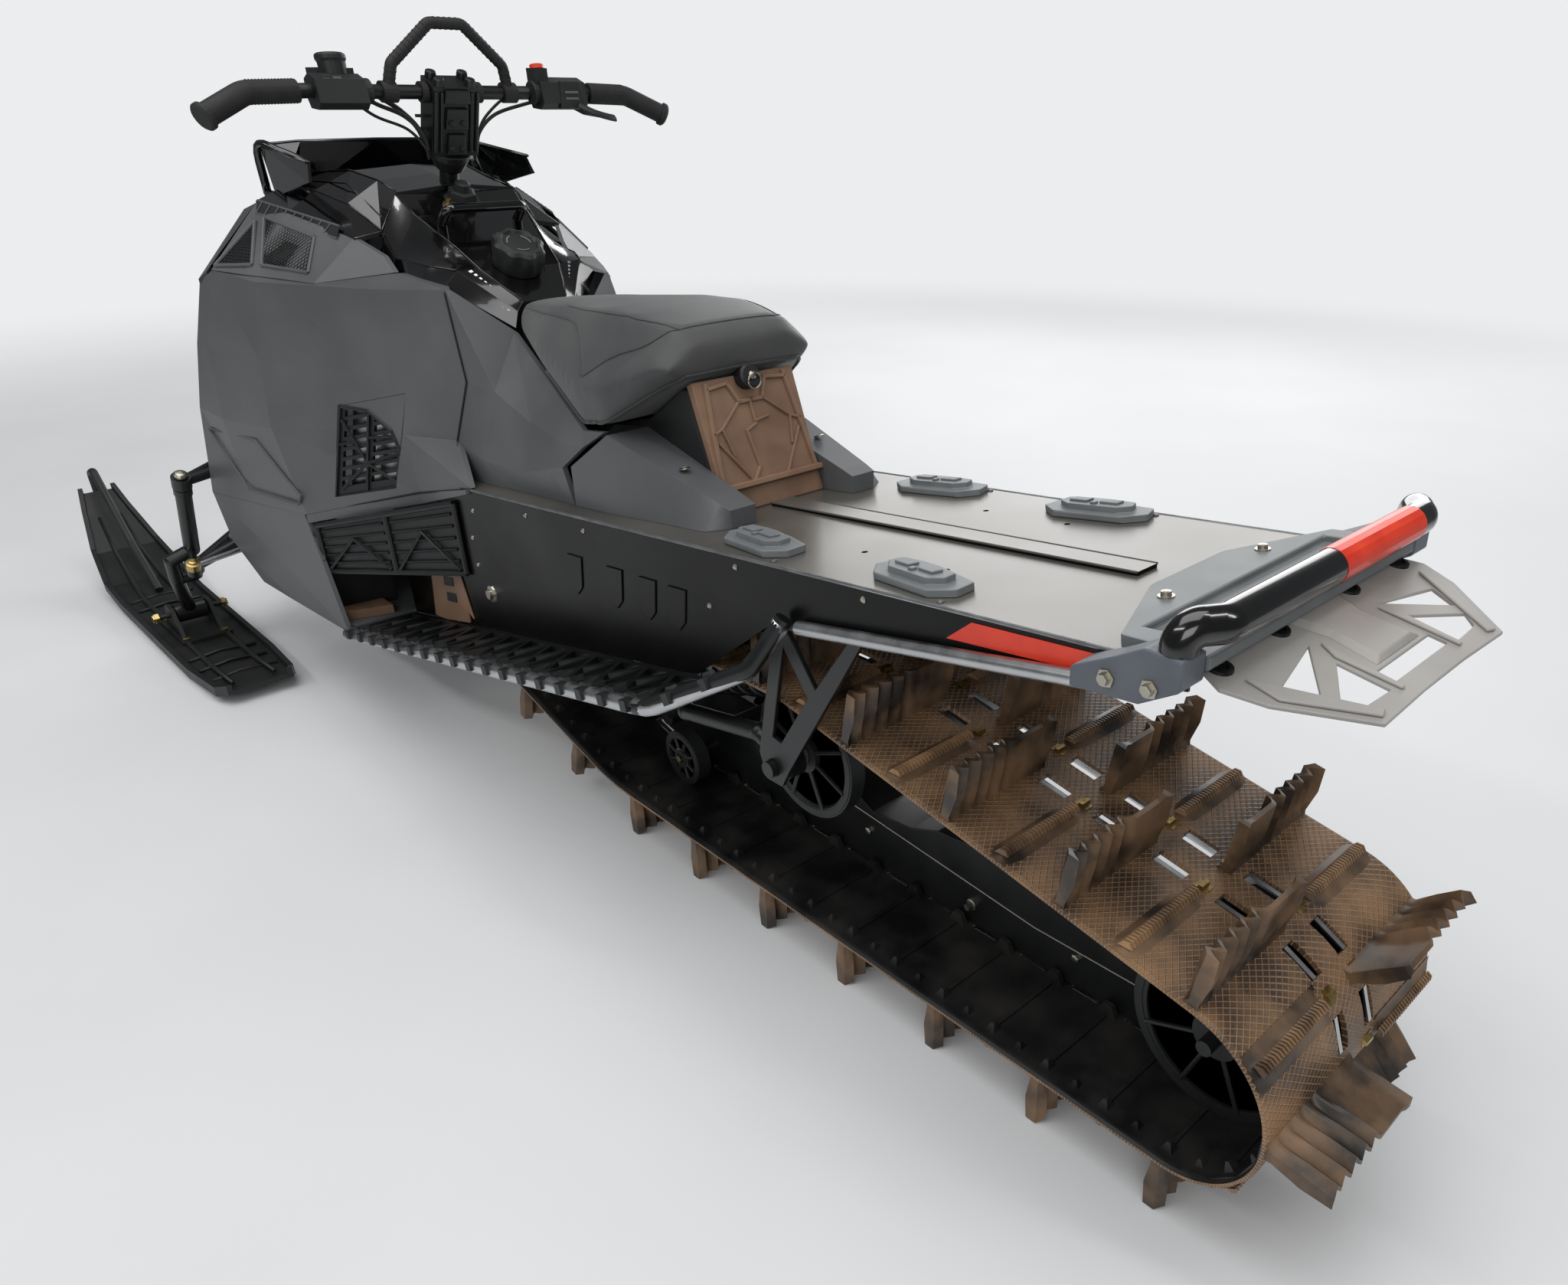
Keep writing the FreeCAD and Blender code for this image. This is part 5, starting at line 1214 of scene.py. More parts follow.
deck_rivets = Parts()
for x in (330, 615):
    for y in (196, -196):
        deck_rivets.lathe(on_deck(x, y, 0.3), deck_up, DECK_RIVET_HEAD, 10)
deck_rivets.build("deck_rivets", painted_reflection_deck)

rear_bolts = Parts()
# A bolt's head on its washer, and the bracket's nut
BOLT_ON_WASHER = [(0, 0.009), (0.0015, 0.009), (0.0016, 0.006), (0.006, 0.0055), (0.0065, 0.003)]
BRACKET_NUT = [(0, 0.0095), (0.002, 0.0095), (0.0021, 0.0062), (0.007, 0.0058)]
for y in (92, -92):
    rear_bolts.lathe(on_deck(118, y, 14.2), deck_up, BOLT_ON_WASHER, 12)
for x in (76, 30):
    for side in (1, -1):
        rear_bolts.lathe(at(x, side * 245.4, 684 - (x - 30) * 0.12), (0, side, 0), BRACKET_NUT, 6)
rear_bolts.build("rear_bolts", zinc_steel)
print("tunnel trim done")

# %% [markdown]
# The cleats that luggage clips onto are moulded in two steps, with slanting pads on top.
# The bumper is a painted tube, and the right part of it carries the same red film as the
# sides. The flap is stiffened by a channel down its middle and by ribs along its edges.

# %% Cleat pads and bumper film
cleat_pads = Parts()
for x, y, yaw in ((685, 158, -8), (398, 158, -8), (685, -165, 8), (398, -165, 8)):
    turn = math.radians(yaw)
    for a, b, length, width in ((-22, 0, 26, 14), (22, 0, 26, 14), (0, 9, 8, 8)):
        outline = []
        for da, db in ((-0.5, -0.5), (0.5, -0.5), (0.62, 0.5), (-0.38, 0.5)):
            p = a + da * length
            q = b + db * width
            turned_x = x + p * math.cos(turn) - q * math.sin(turn)
            turned_y = y + p * math.sin(turn) + q * math.cos(turn)
            outline.append((turned_x, turned_y))
        cleat_pads.plate(*deck_plate(outline, 3.0, 17.2))
soften(cleat_pads.build("cleat_pads", grey_moulding), 1.0)

bumper_film = Parts()
FILM_SIDES = 16
FILM_RADIUS = 18.7
BUMPER_X = -6
BUMPER_Z = 740
rings = []
for y in (8, -60, -110, -166):
    ring = []
    for k in range(FILM_SIDES):
        turn = 2 * math.pi * k / FILM_SIDES
        ring.append(at(BUMPER_X + FILM_RADIUS * math.cos(turn), y, BUMPER_Z + FILM_RADIUS * math.sin(turn)))
    rings.append(ring)
bumper_film.ring_stack(rings)
bumper_film.build("bumper_film", red_film)
print("cleats and bumper done")

# %% The flap's channel and bolts
FLAP_ROOT_Z = 686
FLAP_THICKNESS = 2.0
FLAP_TILT = math.atan2(22, 138)


def on_flap(x, y, height=0.0):
    """A place on the flap's top, from its own outline, in millimetres."""
    top = FLAP_THICKNESS + height
    slid = x * math.cos(FLAP_TILT) - top * math.sin(FLAP_TILT)
    return at(slid, y, FLAP_ROOT_Z + x * math.sin(FLAP_TILT) + top * math.cos(FLAP_TILT))


flap_up = Vector((-math.sin(FLAP_TILT), 0, math.cos(FLAP_TILT)))
channel = Parts()
low_line = [(14, 52), (-30, 40), (-84, 46), (-84, -46), (-30, -40), (14, -52)]
high_line = [(10, 40), (-30, 30), (-78, 34), (-78, -34), (-30, -30), (10, -40)]
channel.ring_stack([[on_flap(x, y) for x, y in low_line], [on_flap(x, y, 5) for x, y in high_line]])
OUTER_RIB = ((-20, 176), (-58, 180), (-128, 124), (-124, 112))
INNER_RIB = ((-52, 70), (-118, 66), (-118, 60), (-30, 58))
for side in (1, -1):
    for outline in (OUTER_RIB, INNER_RIB):
        channel.plate([on_flap(x, side * y) for x, y in outline], flap_up * 0.003)
soften(channel.build("flap_channel", warm_grey), 1.4)
flap_bolts = Parts()
HOLLOW_HEAD = [(0, 0.013), (0.003, 0.0125), (0.0032, 0.008), (0.001, 0.0075), (0.001, 0.003)]
for x, y in ((4, 177), (4, -177), (8, 71), (8, -71)):
    flap_bolts.lathe(on_flap(x, y), flap_up, HOLLOW_HEAD, 16)
flap_bolts.build("flap_bolts", powder_black)
print("rear trim done")

# %% [markdown]
# ## The panel under the seat
#
# The bronze panel behind the seat is stiffened with raised ribs: a notch round the
# latch, and legs that spread to its corners. They are drawn in the panel's own plane,
# by a share of its height and a distance from its middle.

# %% Rear panel ribs and lip
PANEL_FOOT = Vector((858, 0, deck_height(858)))
PANEL_HEAD = Vector((920.5, 0, 776.5))
panel_run = PANEL_HEAD - PANEL_FOOT
panel_out = Vector((-panel_run.z, 0, panel_run.x)).normalized()
CREST_SHARE = 0.6


def on_panel(share, y, out=0.0):
    """A place on the panel, by a share of its height and a distance from its middle."""
    p = PANEL_FOOT + panel_run * share + panel_out * out
    return at(p.x, y, p.z)


def panel_rib(parts, line, width, height):
    """A raised rib of even width along (y, share) points on the panel."""
    for (ya, sa), (yb, sb) in zip(line, line[1:]):
        a = Vector((ya, sa * panel_run.length))
        b = Vector((yb, sb * panel_run.length))
        along = (b - a).normalized()
        side = Vector((-along.y, along.x)) * width / 2
        a = a - along * width * 0.3
        b = b + along * width * 0.3
        levels = []
        for half, out in ((side, 0.0), (side * CREST_SHARE, height)):
            rim = (a + half, b + half, b - half, a - half)
            levels.append([on_panel(spot.y / panel_run.length, spot.x, out) for spot in rim])
        parts.ring_stack(levels)


MIRRORED_RIBS = (
    # width, height, (distance from the middle, share of the panel's height)
    (9, 5, ((83, 0.22), (76, 0.6), (68, 0.96))),
    (8, 5, ((68, 0.93), (33, 0.95), (20, 0.8), (0, 0.8))),
    (6, 4, ((24, 0.79), (60, 0.63), (74, 0.6))),
    (5, 4, ((60, 0.62), (52, 0.42))),
    (6, 4, ((70, 0.52), (30, 0.2))),
)
SINGLE_RIBS = (
    (6, 4, ((2, 0.78), (2, 0.64), (-22, 0.66))),
    (7, 4, ((20, 0.58), (14, 0.3), (30, 0.2))),
    (6, 4, ((20, 0.58), (2, 0.62))),
    (12, 12, ((88, 0.19), (-88, 0.19))),
)
panel_ribs = Parts()
for side in (1, -1):
    for width, height, line in MIRRORED_RIBS:
        panel_rib(panel_ribs, [(side * y, share) for y, share in line], width, height)
for width, height, line in SINGLE_RIBS:
    panel_rib(panel_ribs, line, width, height)
soften(panel_ribs.build("rear_panel_ribs", bronze_moulding), 1.0)
print("rear panel ribs:", 2 * len(MIRRORED_RIBS) + len(SINGLE_RIBS))

# %% The seat's latch and its lock, and the bolts of the rear covers
LATCH_FOOT = at(915, 0, 772)
KEY_RING_RADIUS = 11
latch = Parts()
latch.lathe(LATCH_FOOT, panel_out, [(-0.01, 0.017), (0.013, 0.017), (0.016, 0.014), (0.016, 0.004)], 20)
latch.build("seat_latch", pebbled_black)
key_ring = Parts()
key_ring.lathe(LATCH_FOOT + panel_out * 0.016, panel_out, [(0, 0.006), (0.004, 0.006), (0.005, 0.003)], 14)
ring_path = []
for k in range(21):
    turn = 2 * math.pi * k / 20
    ring_path.append(at(896, -2 + KEY_RING_RADIUS * math.cos(turn), 770 + KEY_RING_RADIUS * math.sin(turn)))
key_ring.bar(ring_path, 1.5 * MM, sides=6)
key_ring.build("latch_lock", zinc_steel, smooth=True)

cover_bolts = Parts()
DISHED_HEAD = [(0, 0.008), (0.002, 0.008), (0.003, 0.005), (0.0015, 0.0045)]
for side in (1, -1):
    cover_bolts.lathe(at(905, side * 122, 664.5), (0.25, 0, 1), DISHED_HEAD, 12)
cover_bolts.build("cover_bolts", zinc_steel)
print("seat panel done")

# %% [markdown]
# ## Running boards
#
# Boots need grip on snow, so the boards are open lattices with a toothed edge. The tube
# along the outside is bright, and black clips with teeth wrap it every 58 mm, repeated
# by the same tree that repeated the lugs.

# %% Board edges and teeth
BOARD_FALL = 0.2137
BOARD_REAR = 766
BOARD_FRONT = 1810
TUBE_RADIUS = 11.9
TUBE_BELOW = 6
TOOTH_SPACING = 58
# The tube's straight run from the board up to the tunnel, as its two ends
STRUT_FOOT = Vector((745, 306, 419))
STRUT_HEAD = Vector((618, 259, 494))


def board_height(x):
    """The board's upper side at a drawn x."""
    return 305 + (1294 - x) * BOARD_FALL


def board_outer(x):
    """How far out the tube runs at a drawn x."""
    return 313 + (x - BOARD_REAR) / (BOARD_FRONT - BOARD_REAR) * 23


board_edges = Parts()
STRUT_BENDS = ((606, 253, 502), (590, 236, 532), (575, 220.5, 566))
for side in (1, -1):
    line = []
    for x in (BOARD_FRONT, 1400, 1000, 800):
        line.append(at(x, side * board_outer(x), board_height(x) - TUBE_BELOW))
    for x, y, z in ((758, 311, 414), STRUT_FOOT, STRUT_HEAD, *STRUT_BENDS):
        line.append(at(x, side * y, z))
    board_edges.bar(line, TUBE_RADIUS * MM, sides=14)
board_edges.build("board_edge_tubes", bare_aluminium, smooth=True)

tooth_blocks = [
    block_rings((0, 0, 13), (24, 9, 10), (0.7, 0.8)),
    block_rings((0, -14, 9), (9, 26, 6), (0.7, 1)),
    block_rings((0, 4, 4), (16, 22, 16)),
]
tooth = module("pattern_board_tooth", tooth_blocks, pebbled_black)
tilt = math.atan(BOARD_FALL)
for side, name in SIDES:
    about = 0.0 if side == 1 else math.pi
    stations = []
    for x in range(790, 1800, TOOTH_SPACING):
        place = at(x, side * board_outer(x), board_height(x) - TUBE_BELOW)
        stations.append((place, (0.0, tilt, about)))
    for share in (0.25, 0.7):
        x, y, z = STRUT_FOOT + (STRUT_HEAD - STRUT_FOOT) * share
        stations.append((at(x, side * y, z), (0.0, math.radians(30), about)))
    repeated("board_teeth_" + name, tooth, pebbled_black, stations)
bpy.data.objects.remove(tooth)
print("boards done")

# %% [markdown]
# ## Side bodywork
#
# The panels are cooled by openings filled with moulded mesh, and the outline of a raised
# wedge marks each large flat face. The mesh is two sets of thin bars that slant opposite
# ways, and each bar ends where its line crosses the opening's rim.

# %% Vent meshes
def lerp(a, b, share):
    """A point a share of the way from one point to another."""
    return Vector(a) + (Vector(b) - Vector(a)) * share


def mirrored(side, points):
    """Drawn points as frame points, on the left (1) or mirrored to the right (-1)."""
    return [at(x, side * y, z) for x, y, z in points]


def crossing(outline, place, direction):
    """Where a line enters and leaves a convex outline of points in one plane."""
    normal = (outline[1] - outline[0]).cross(outline[2] - outline[0]).normalized()
    across = normal.cross(direction)
    spots = []
    for a, b in zip(outline, outline[1:] + outline[:1]):
        da = (a - place).dot(across)
        db = (b - place).dot(across)
        if da * db < 0:
            spots.append(a + (b - a) * da / (da - db))
    return spots if len(spots) == 2 else None


MOST_WIRES = 14
SHORTEST_WIRE = 4


def wire_mesh(parts, outline, spacing, radius):
    """Wires both ways over a flat outline of drawn points, apart by a spacing."""
    outline = [Vector(p) for p in outline]
    middle = sum(outline, Vector()) / len(outline)
    normal = (outline[1] - outline[0]).cross(outline[2] - outline[0]).normalized()
    level = (outline[1] - outline[0]).normalized()
    for turn in (60, -60):
        direction = level * math.cos(math.radians(turn)) + normal.cross(level) * math.sin(math.radians(turn))
        step = normal.cross(direction) * spacing
        for k in range(-MOST_WIRES, MOST_WIRES + 1):
            ends = crossing(outline, middle + step * k, direction)
            if ends and (ends[0] - ends[1]).length > SHORTEST_WIRE:
                parts.bar([at(*ends[0]), at(*ends[1])], radius * MM, sides=4)


VENT_TRIANGLE = ((1976, 266, 921), (1905, 309, 857), (1982, 346, 852))
VENT_WINDOW = ((1960, 254, 928), (1816, 227, 904), (1781, 262, 852), (1884, 300, 858))
for side, name in SIDES:
    mesh_bars = Parts()
    vent_shade_sheets = Parts()
    frames = Parts()
    for patch in (VENT_TRIANGLE, VENT_WINDOW):
        rim = [Vector((x, side * y, z)) for x, y, z in patch]
        normal = (rim[1] - rim[0]).cross(rim[2] - rim[0])
        if normal.y * side < 0:
            normal = -normal
        normal.normalize()
        # A black sheet under the mesh is painted shade, the dark of the opening behind it
        vent_shade_sheets.plate([at(*(p + normal * 0.6)) for p in rim], normal * 0.0006)
        wire_mesh(mesh_bars, [p + normal * 1.4 for p in rim], 6.5, 0.8)
        for start, end in zip(rim, rim[1:] + rim[:1]):
            frames.bar([at(*(start + normal * 1.5)), at(*(end + normal * 1.5))], 3.4 * MM, sides=8)
    vent_shade_sheets.build("vent_backs_" + name, pebbled_black)
    mesh_bars.build("vent_mesh_" + name, powder_black)
    frames.build("vent_rims_" + name, satin_panel)
print("vents done")

# %% Hood slots with their slats
SLATS = 9
for side, name in SIDES:
    slot_shade_sheet = Parts()
    slats = Parts()
    upper = [Vector((2002, side * 244, 952)), Vector((1775, side * 195, 922))]
    lower = [Vector((1992, side * 254, 932)), Vector((1771, side * 205, 903))]
    lift = Vector((0, side * 2.2, 1.6))
    rim = [at(*(p + lift)) for p in (*upper, *reversed(lower))]
    # The slot is a black sheet under the slats: painted shade of the opening
    slot_shade_sheet.plate(rim, (0, side * 0.0006, 0.0006))
    for k in range(SLATS):
        top = lerp(upper[0], upper[1], (k + 0.7) / (SLATS + 0.6)) + lift * 1.6
        low = lerp(lower[0], lower[1], (k + 0.1) / (SLATS + 0.6)) + lift * 1.6
        slats.bar([at(*top), at(*low)], 1.3 * MM, sides=6)
    for a, b in (upper, lower):
        slats.bar([at(*(a + lift)), at(*(b + lift))], 2.0 * MM, sides=6)
    slot_shade_sheet.build("hood_slot_" + name, pebbled_black)
    slats.build("hood_slats_" + name, satin_panel)
print("slats:", 2 * SLATS)

# %% The wedge on each side panel, and the gaps between panels
WEDGE_RIM = ((2224, 372, 521), (1989, 358, 541), (1873, 338, 452), (1886, 341, 434), (2086, 366, 424))
KNEE_GAP = ((1514, 151.4, 838), (1501, 148.6, 694), (1538, 167.6, 590), (1500, 186, 560))
LOWER_GAP = ((1884, 335, 413.5), (1622, 218.4, 488.5), (1440, 208.6, 533))
for side, name in SIDES:
    wedge = Parts()
    rim = [at(x, side * (y + 1.1), z) for x, y, z in WEDGE_RIM]
    for start, end in zip(rim, rim[1:] + rim[:1]):
        wedge.bar([start, end], 2.2 * MM, sides=6)
    wedge.build("side_wedge_" + name, satin_panel)

    lines = Parts()
    for line, radius in ((KNEE_GAP, 1.6), (LOWER_GAP, 1.8)):
        lines.bar([at(x, side * y, z) for x, y, z in line], radius * MM, sides=6)
    lines.build("panel_gaps_" + name, pebbled_black)
print("side trim done")

# %% [markdown]
# The grille low in the side panel shows the engine bay. Its shape is a rounded triangle
# crossed by ribs like the veins of a leaf, and a metal shield glints behind it.

# %% Side grille
SIDE_PLANE = 1210
# The panel recedes one part sideways for two parts forwards
OUT_X, OUT_Y = -0.4472, 0.8944
VEIN_ROOT = (1725, 530)
LEAF = [(1754, 631), (1701, 627), (1664, 595), (1652, 547), (1663, 512), (1680, 489)]
PANEL_CORNERS = [(1621, 664), (1673, 491)]
GRILLE_FRONT = (1806, 458)


def on_side(x, z, out, side):
    """A place on the flat rear part of the side panel."""
    return at(x + OUT_X * out, side * ((x - SIDE_PLANE) / 2 + OUT_Y * out), z)


VEINS = (
    (VEIN_ROOT, (1757, 606)),
    (VEIN_ROOT, (1700, 624)),
    (VEIN_ROOT, (1654, 556)),
    (VEIN_ROOT, (1672, 498)),
    (VEIN_ROOT, (1738, 478)),
    (VEIN_ROOT, (1790, 474)),
    ((1741, 568), (1771, 560)),
    ((1712, 578), (1660, 585)),
)
SHIELD = [(1748, 625), (1704, 620), (1672, 590), (1662, 548), (1690, 498), (1790, 472)]
for side, name in SIDES:
    infill = Parts()
    filled = [LEAF[0], PANEL_CORNERS[0], PANEL_CORNERS[1]] + LEAF[:0:-1]
    out = Vector((OUT_X, side * OUT_Y, 0))
    infill.plate([on_side(x, z, -0.6, side) for x, z in filled], out * 0.0012)
    infill.build("grille_surround_" + name, satin_panel)
    veins = Parts()
    rim = LEAF + [GRILLE_FRONT, LEAF[0]]
    veins.bar([on_side(x, z, 0.6, side) for x, z in rim], 3.6 * MM, sides=8)
    for (xa, za), (xb, zb) in VEINS:
        veins.bar([on_side(xa, za, 1.2, side), on_side(xb, zb, 1.2, side)], 3.0 * MM, sides=6)
    veins.lathe(on_side(*VEIN_ROOT, -2, side), out, [(0, 0.008), (0.004, 0.008), (0.005, 0.005)], 10)
    veins.build("grille_ribs_" + name, pebbled_black)
    shield = Parts()
    shield.plate([on_side(x, z, -22, side) for x, z in SHIELD], -out * 0.001)
    shield.build("heat_shield_" + name, bare_aluminium)
print("grilles done")

# %% [markdown]
# ## Console, cap and hood
#
# The console is gloss black with silver bars printed beside the fuel cap. The cap has
# eight lobes to be turned with a glove. Creases on the hood are pressed lines that show
# only by their highlights.

# %% Fuel cap
CAP_FOOT = Vector((1552, 0, 869))
CAP_SLOPE = math.atan2(48, 82)
CAP_UP = Vector((-math.sin(CAP_SLOPE), 0, math.cos(CAP_SLOPE)))
CAP_SIDE = Vector((math.cos(CAP_SLOPE), 0, math.sin(CAP_SLOPE)))


def on_cap(angle, radius, height):
    """A place round the cap's own axis, in millimetres."""
    across = Vector((0, 1, 0)) * radius * math.sin(angle)
    return at(*(CAP_FOOT + CAP_SIDE * radius * math.cos(angle) + across + CAP_UP * height))


LOBES = 8
CAP_CORNERS = 64
# height, radius, and how far the lobes stand out
CAP_LEVELS = ((-4, 40, 0), (16, 41, 5), (20, 42, 6), (36, 41, 6), (41, 36, 5), (42, 30, 2), (38.5, 27, 0))
cap = Parts()
rings = []
for height, radius, lobe in CAP_LEVELS:
    ring = []
    for k in range(CAP_CORNERS):
        angle = 2 * math.pi * k / CAP_CORNERS
        ring.append(on_cap(angle, radius + lobe * (0.5 + 0.5 * math.cos(LOBES * angle)) - lobe / 2, height))
    rings.append(ring)
cap.ring_stack(rings)
cap_knob = cap.build("fuel_cap_knob", pebbled_black, smooth=True)
cap_knob.data.set_sharp_from_angle(angle=math.radians(35))
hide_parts("fuel_cap")
cap_marks = Parts()
for start in (0.4, 2.5, 4.6):
    cap_marks.bar([on_cap(start + 0.1 * k, 20, 39.2) for k in range(12)], 1.1 * MM, sides=6)
cap_marks.build("fuel_cap_marks", grey_moulding, smooth=True)
print("lobes on the cap:", LOBES)

# %% Console stripes, creases, post nut and ignition lock
STRIPES = 10
STRIPE_SHARE = 0.042
# The striped field's rim: outer front, inner front, inner rear, outer rear
STRIPE_FIELD = [Vector(p) for p in ((1544, 118, 856), (1541, 88, 865), (1474, 47, 806), (1474, 56, 795))]
STRIPE_LIFT = Vector((0, 1.0, 1.4))
stripes = Parts()
for k in range(STRIPES):
    near = 0.03 + 0.94 * k / STRIPES
    far = near + STRIPE_SHARE
    line = []
    for along, inwards in ((near, 0.0), (near, 1.0), (far, 1.0), (far, 0.0)):
        outer = lerp(STRIPE_FIELD[0], STRIPE_FIELD[3], along)
        inner = lerp(STRIPE_FIELD[1], STRIPE_FIELD[2], along)
        line.append(lerp(outer, inner, inwards) + STRIPE_LIFT)
    for side in (1, -1):
        stripes.plate(mirrored(side, line), (0, side * 0.0006, 0.0009))
stripes.build("console_stripes", bare_aluminium)

INNER_CREASE = ((1738, 109, 973), (1690, 101, 941.5), (1600, 81, 896.5), (1541, 71, 863.5), (1474, 41, 819))
OUTER_CREASE = ((1738, 143.5, 909.5), (1690, 150, 876), (1600, 137, 871), (1541, 113, 867))
console_lines = Parts()
for side in (1, -1):
    for line, radius in ((INNER_CREASE, 1.5), (OUTER_CREASE, 1.3)):
        console_lines.bar(mirrored(side, line), radius * MM, sides=6)
console_lines.build("console_creases", gloss_black, smooth=True)

POST_FOOT = at(1722, 0, 958)
POST_UP = (-0.42, 0, 0.91)
NUT_PROFILE = [(-0.004, 0.034), (0.004, 0.034), (0.005, 0.026), (0.018, 0.024), (0.02, 0.018)]
post_nut = Parts()
post_nut.lathe(POST_FOOT, POST_UP, NUT_PROFILE, 6)
post_nut.lathe(POST_FOOT, POST_UP, [(0.018, 0.014), (0.032, 0.013), (0.034, 0.009)], 12)
post_nut.build("post_nut", pebbled_black)
LOCK_PROFILE = [(0, 0.009), (0.007, 0.009), (0.0075, 0.004), (0.016, 0.004)]
lock = Parts()
lock.lathe(at(1702, 36, 950), (-0.5, 0, 0.87), LOCK_PROFILE, 12)
lock.build("ignition_lock", gold_zinc)
print("console done")

# %% Hood creases
HOOD_CREASES = (
    ((1741, 143, 916.5), (1823, 160, 956), (1910, 180, 973), (2015, 190, 976)),
    ((1741, 105, 976), (1823, 100, 991), (1910, 110, 1003), (2015, 110, 997)),
    ((1760, 130, 935), (1860, 140, 985), (1990, 170, 984)),
)
hood_lines = Parts()
for side in (1, -1):
    for line in HOOD_CREASES:
        hood_lines.bar(mirrored(side, line), 1.6 * MM, sides=6)
hood_lines.build("hood_creases", gloss_black, smooth=True)
print("hood creases:", 2 * len(HOOD_CREASES))

# %% [markdown]
# ## Windshield
#
# The short screen is smoked, with a moulded black horn at each rear corner. Each horn
# is an open loop, so that snow doesn't pack behind it.

# %% Windshield horns
HORN_LOOP = (
    (2088, 200, 958), (2074, 202, 1038), (2030, 182, 1032),
    (1988, 156, 1010), (2000, 170, 985), (2050, 192, 958),
)
SIDE_TRIM = ((1850, 203, 1021), (1950, 200, 1030), (2066, 200, 1040))
TOP_TRIM = ((2067, 200, 1041), (2057, 140, 1046), (2049, 0, 1048), (2057, -140, 1046), (2067, -200, 1041))
horns = Parts()
for side in (1, -1):
    horns.bar(catmull(mirrored(side, HORN_LOOP + HORN_LOOP[:1]), 5), 7.5 * MM, sides=8)
    horns.bar(mirrored(side, SIDE_TRIM), 3.0 * MM, sides=8)
horns.bar(mirrored(1, TOP_TRIM), 3.0 * MM, sides=8)
horns.build("windshield_horns", gloss_black, smooth=True)
print("windshield done")

# %% [markdown]
# ## Footwell
#
# In front of the boots the footwell is closed by a slotted guard that hangs below the
# side panel, and a bronze gusset ties the board to the tunnel.

# %% Footwell guard
# Upper front, upper rear, lower rear and lower front corner
GUARD = ((1868, 324, 392), (1500, 209, 496), (1500, 209, 366), (1868, 324, 300))
GUARD_OUT = (-0.2985, 0.9544)
GUARD_HOOK = ((1868, 326, 392), (1880, 330, 372), (1880, 331, 340), (1862, 330, 322))
MID_POST = 0.52
FRAME_LINES = (
    ((0, 0), (1, 0)),
    ((0, 1), (1, 1)),
    ((0, 0), (0, 1)),
    ((1, 0), (1, 1)),
    ((MID_POST, 0), (MID_POST, 1)),
)
GUARD_FIELDS = ((0.03, 0.49), (0.55, 0.97))
SLOTS_PER_FIELD = 5
GUSSET = ((1667, 322), (1552, 354), (1528, 300), (1533, 258), (1640, 232), (1690, 226))


def on_guard(side, across, down, lift=0.0):
    """A place on a side's guard by shares of its width and height, lifted in millimetres."""
    a, b, c, d = [Vector((x, side * y, z)) for x, y, z in GUARD]
    out = Vector((GUARD_OUT[0], side * GUARD_OUT[1], 0))
    return at(*(lerp(lerp(a, b, across), lerp(d, c, across), down) + out * lift))


guard = Parts()
guard_shade_sheet = Parts()
gussets = Parts()
gusset_slots = Parts()
for side in (1, -1):
    out = Vector((GUARD_OUT[0], side * GUARD_OUT[1], 0))
    # A black sheet behind the bars is painted shade in the guard's slots
    guard_shade_sheet.plate([on_guard(side, *spot) for spot in ((0, 0), (1, 0), (1, 1), (0, 1))], out * -0.002)
    for start, end in FRAME_LINES:
        guard.bar([on_guard(side, *start, 3), on_guard(side, *end, 3)], 5.5 * MM, sides=8)
    for near, far in GUARD_FIELDS:
        for k in range(SLOTS_PER_FIELD):
            down = 0.14 + 0.17 * k
            guard.bar([on_guard(side, near, down, 3), on_guard(side, far, down, 3)], 2.6 * MM, sides=6)
        brace = ((near, 0.95), ((near + far) / 2, 0.35), (far, 0.95))
        guard.bar([on_guard(side, *spot, 5) for spot in brace], 3.4 * MM, sides=6)
    gussets.plate([at(x, side * 208, z) for x, z in GUSSET], (0, side * 0.004, 0))
    # Each slot in the gusset is a black plate: painted shade of the opening
    for low, high in ((320, 338), (288, 306)):
        outline = [(1612, low - 8), (1570, low), (1568, high), (1608, high - 8)]
        gusset_slots.plate([at(x, side * 212, z) for x, z in outline], (0, side * 0.0012, 0))
    guard.bar(mirrored(side, GUARD_HOOK), 6 * MM, sides=8)
guard_shade_sheet.build("footwell_backs", pebbled_black)
guard.build("footwell_guards", pebbled_black)
soften(gussets.build("board_gussets", bronze_moulding), 1.2)
gusset_slots.build("gusset_slots", pebbled_black)
print("footwell done")

# %% [markdown]
# ## Bars, riser and controls
#
# The bar is clamped on a forged riser with two ribs and four bolts. The left cluster
# holds switches and the brake, the right one the throttle block with its red stop
# switch. All of it turns with the bars, so it rides on the steering body.

# %% Riser and bar details
BAR = Vector((1694.3, 0, 1130.4))
RISER_UP = Vector((-0.41787, 0, 0.90851))
RISER_BACK = Vector((-0.90851, 0, -0.41787))


def on_riser(up, y, back):
    """A drawn place from the bar's centre, up the riser and out of its rear face."""
    p = BAR + RISER_UP * up + RISER_BACK * back
    return at(p.x, y, p.z)


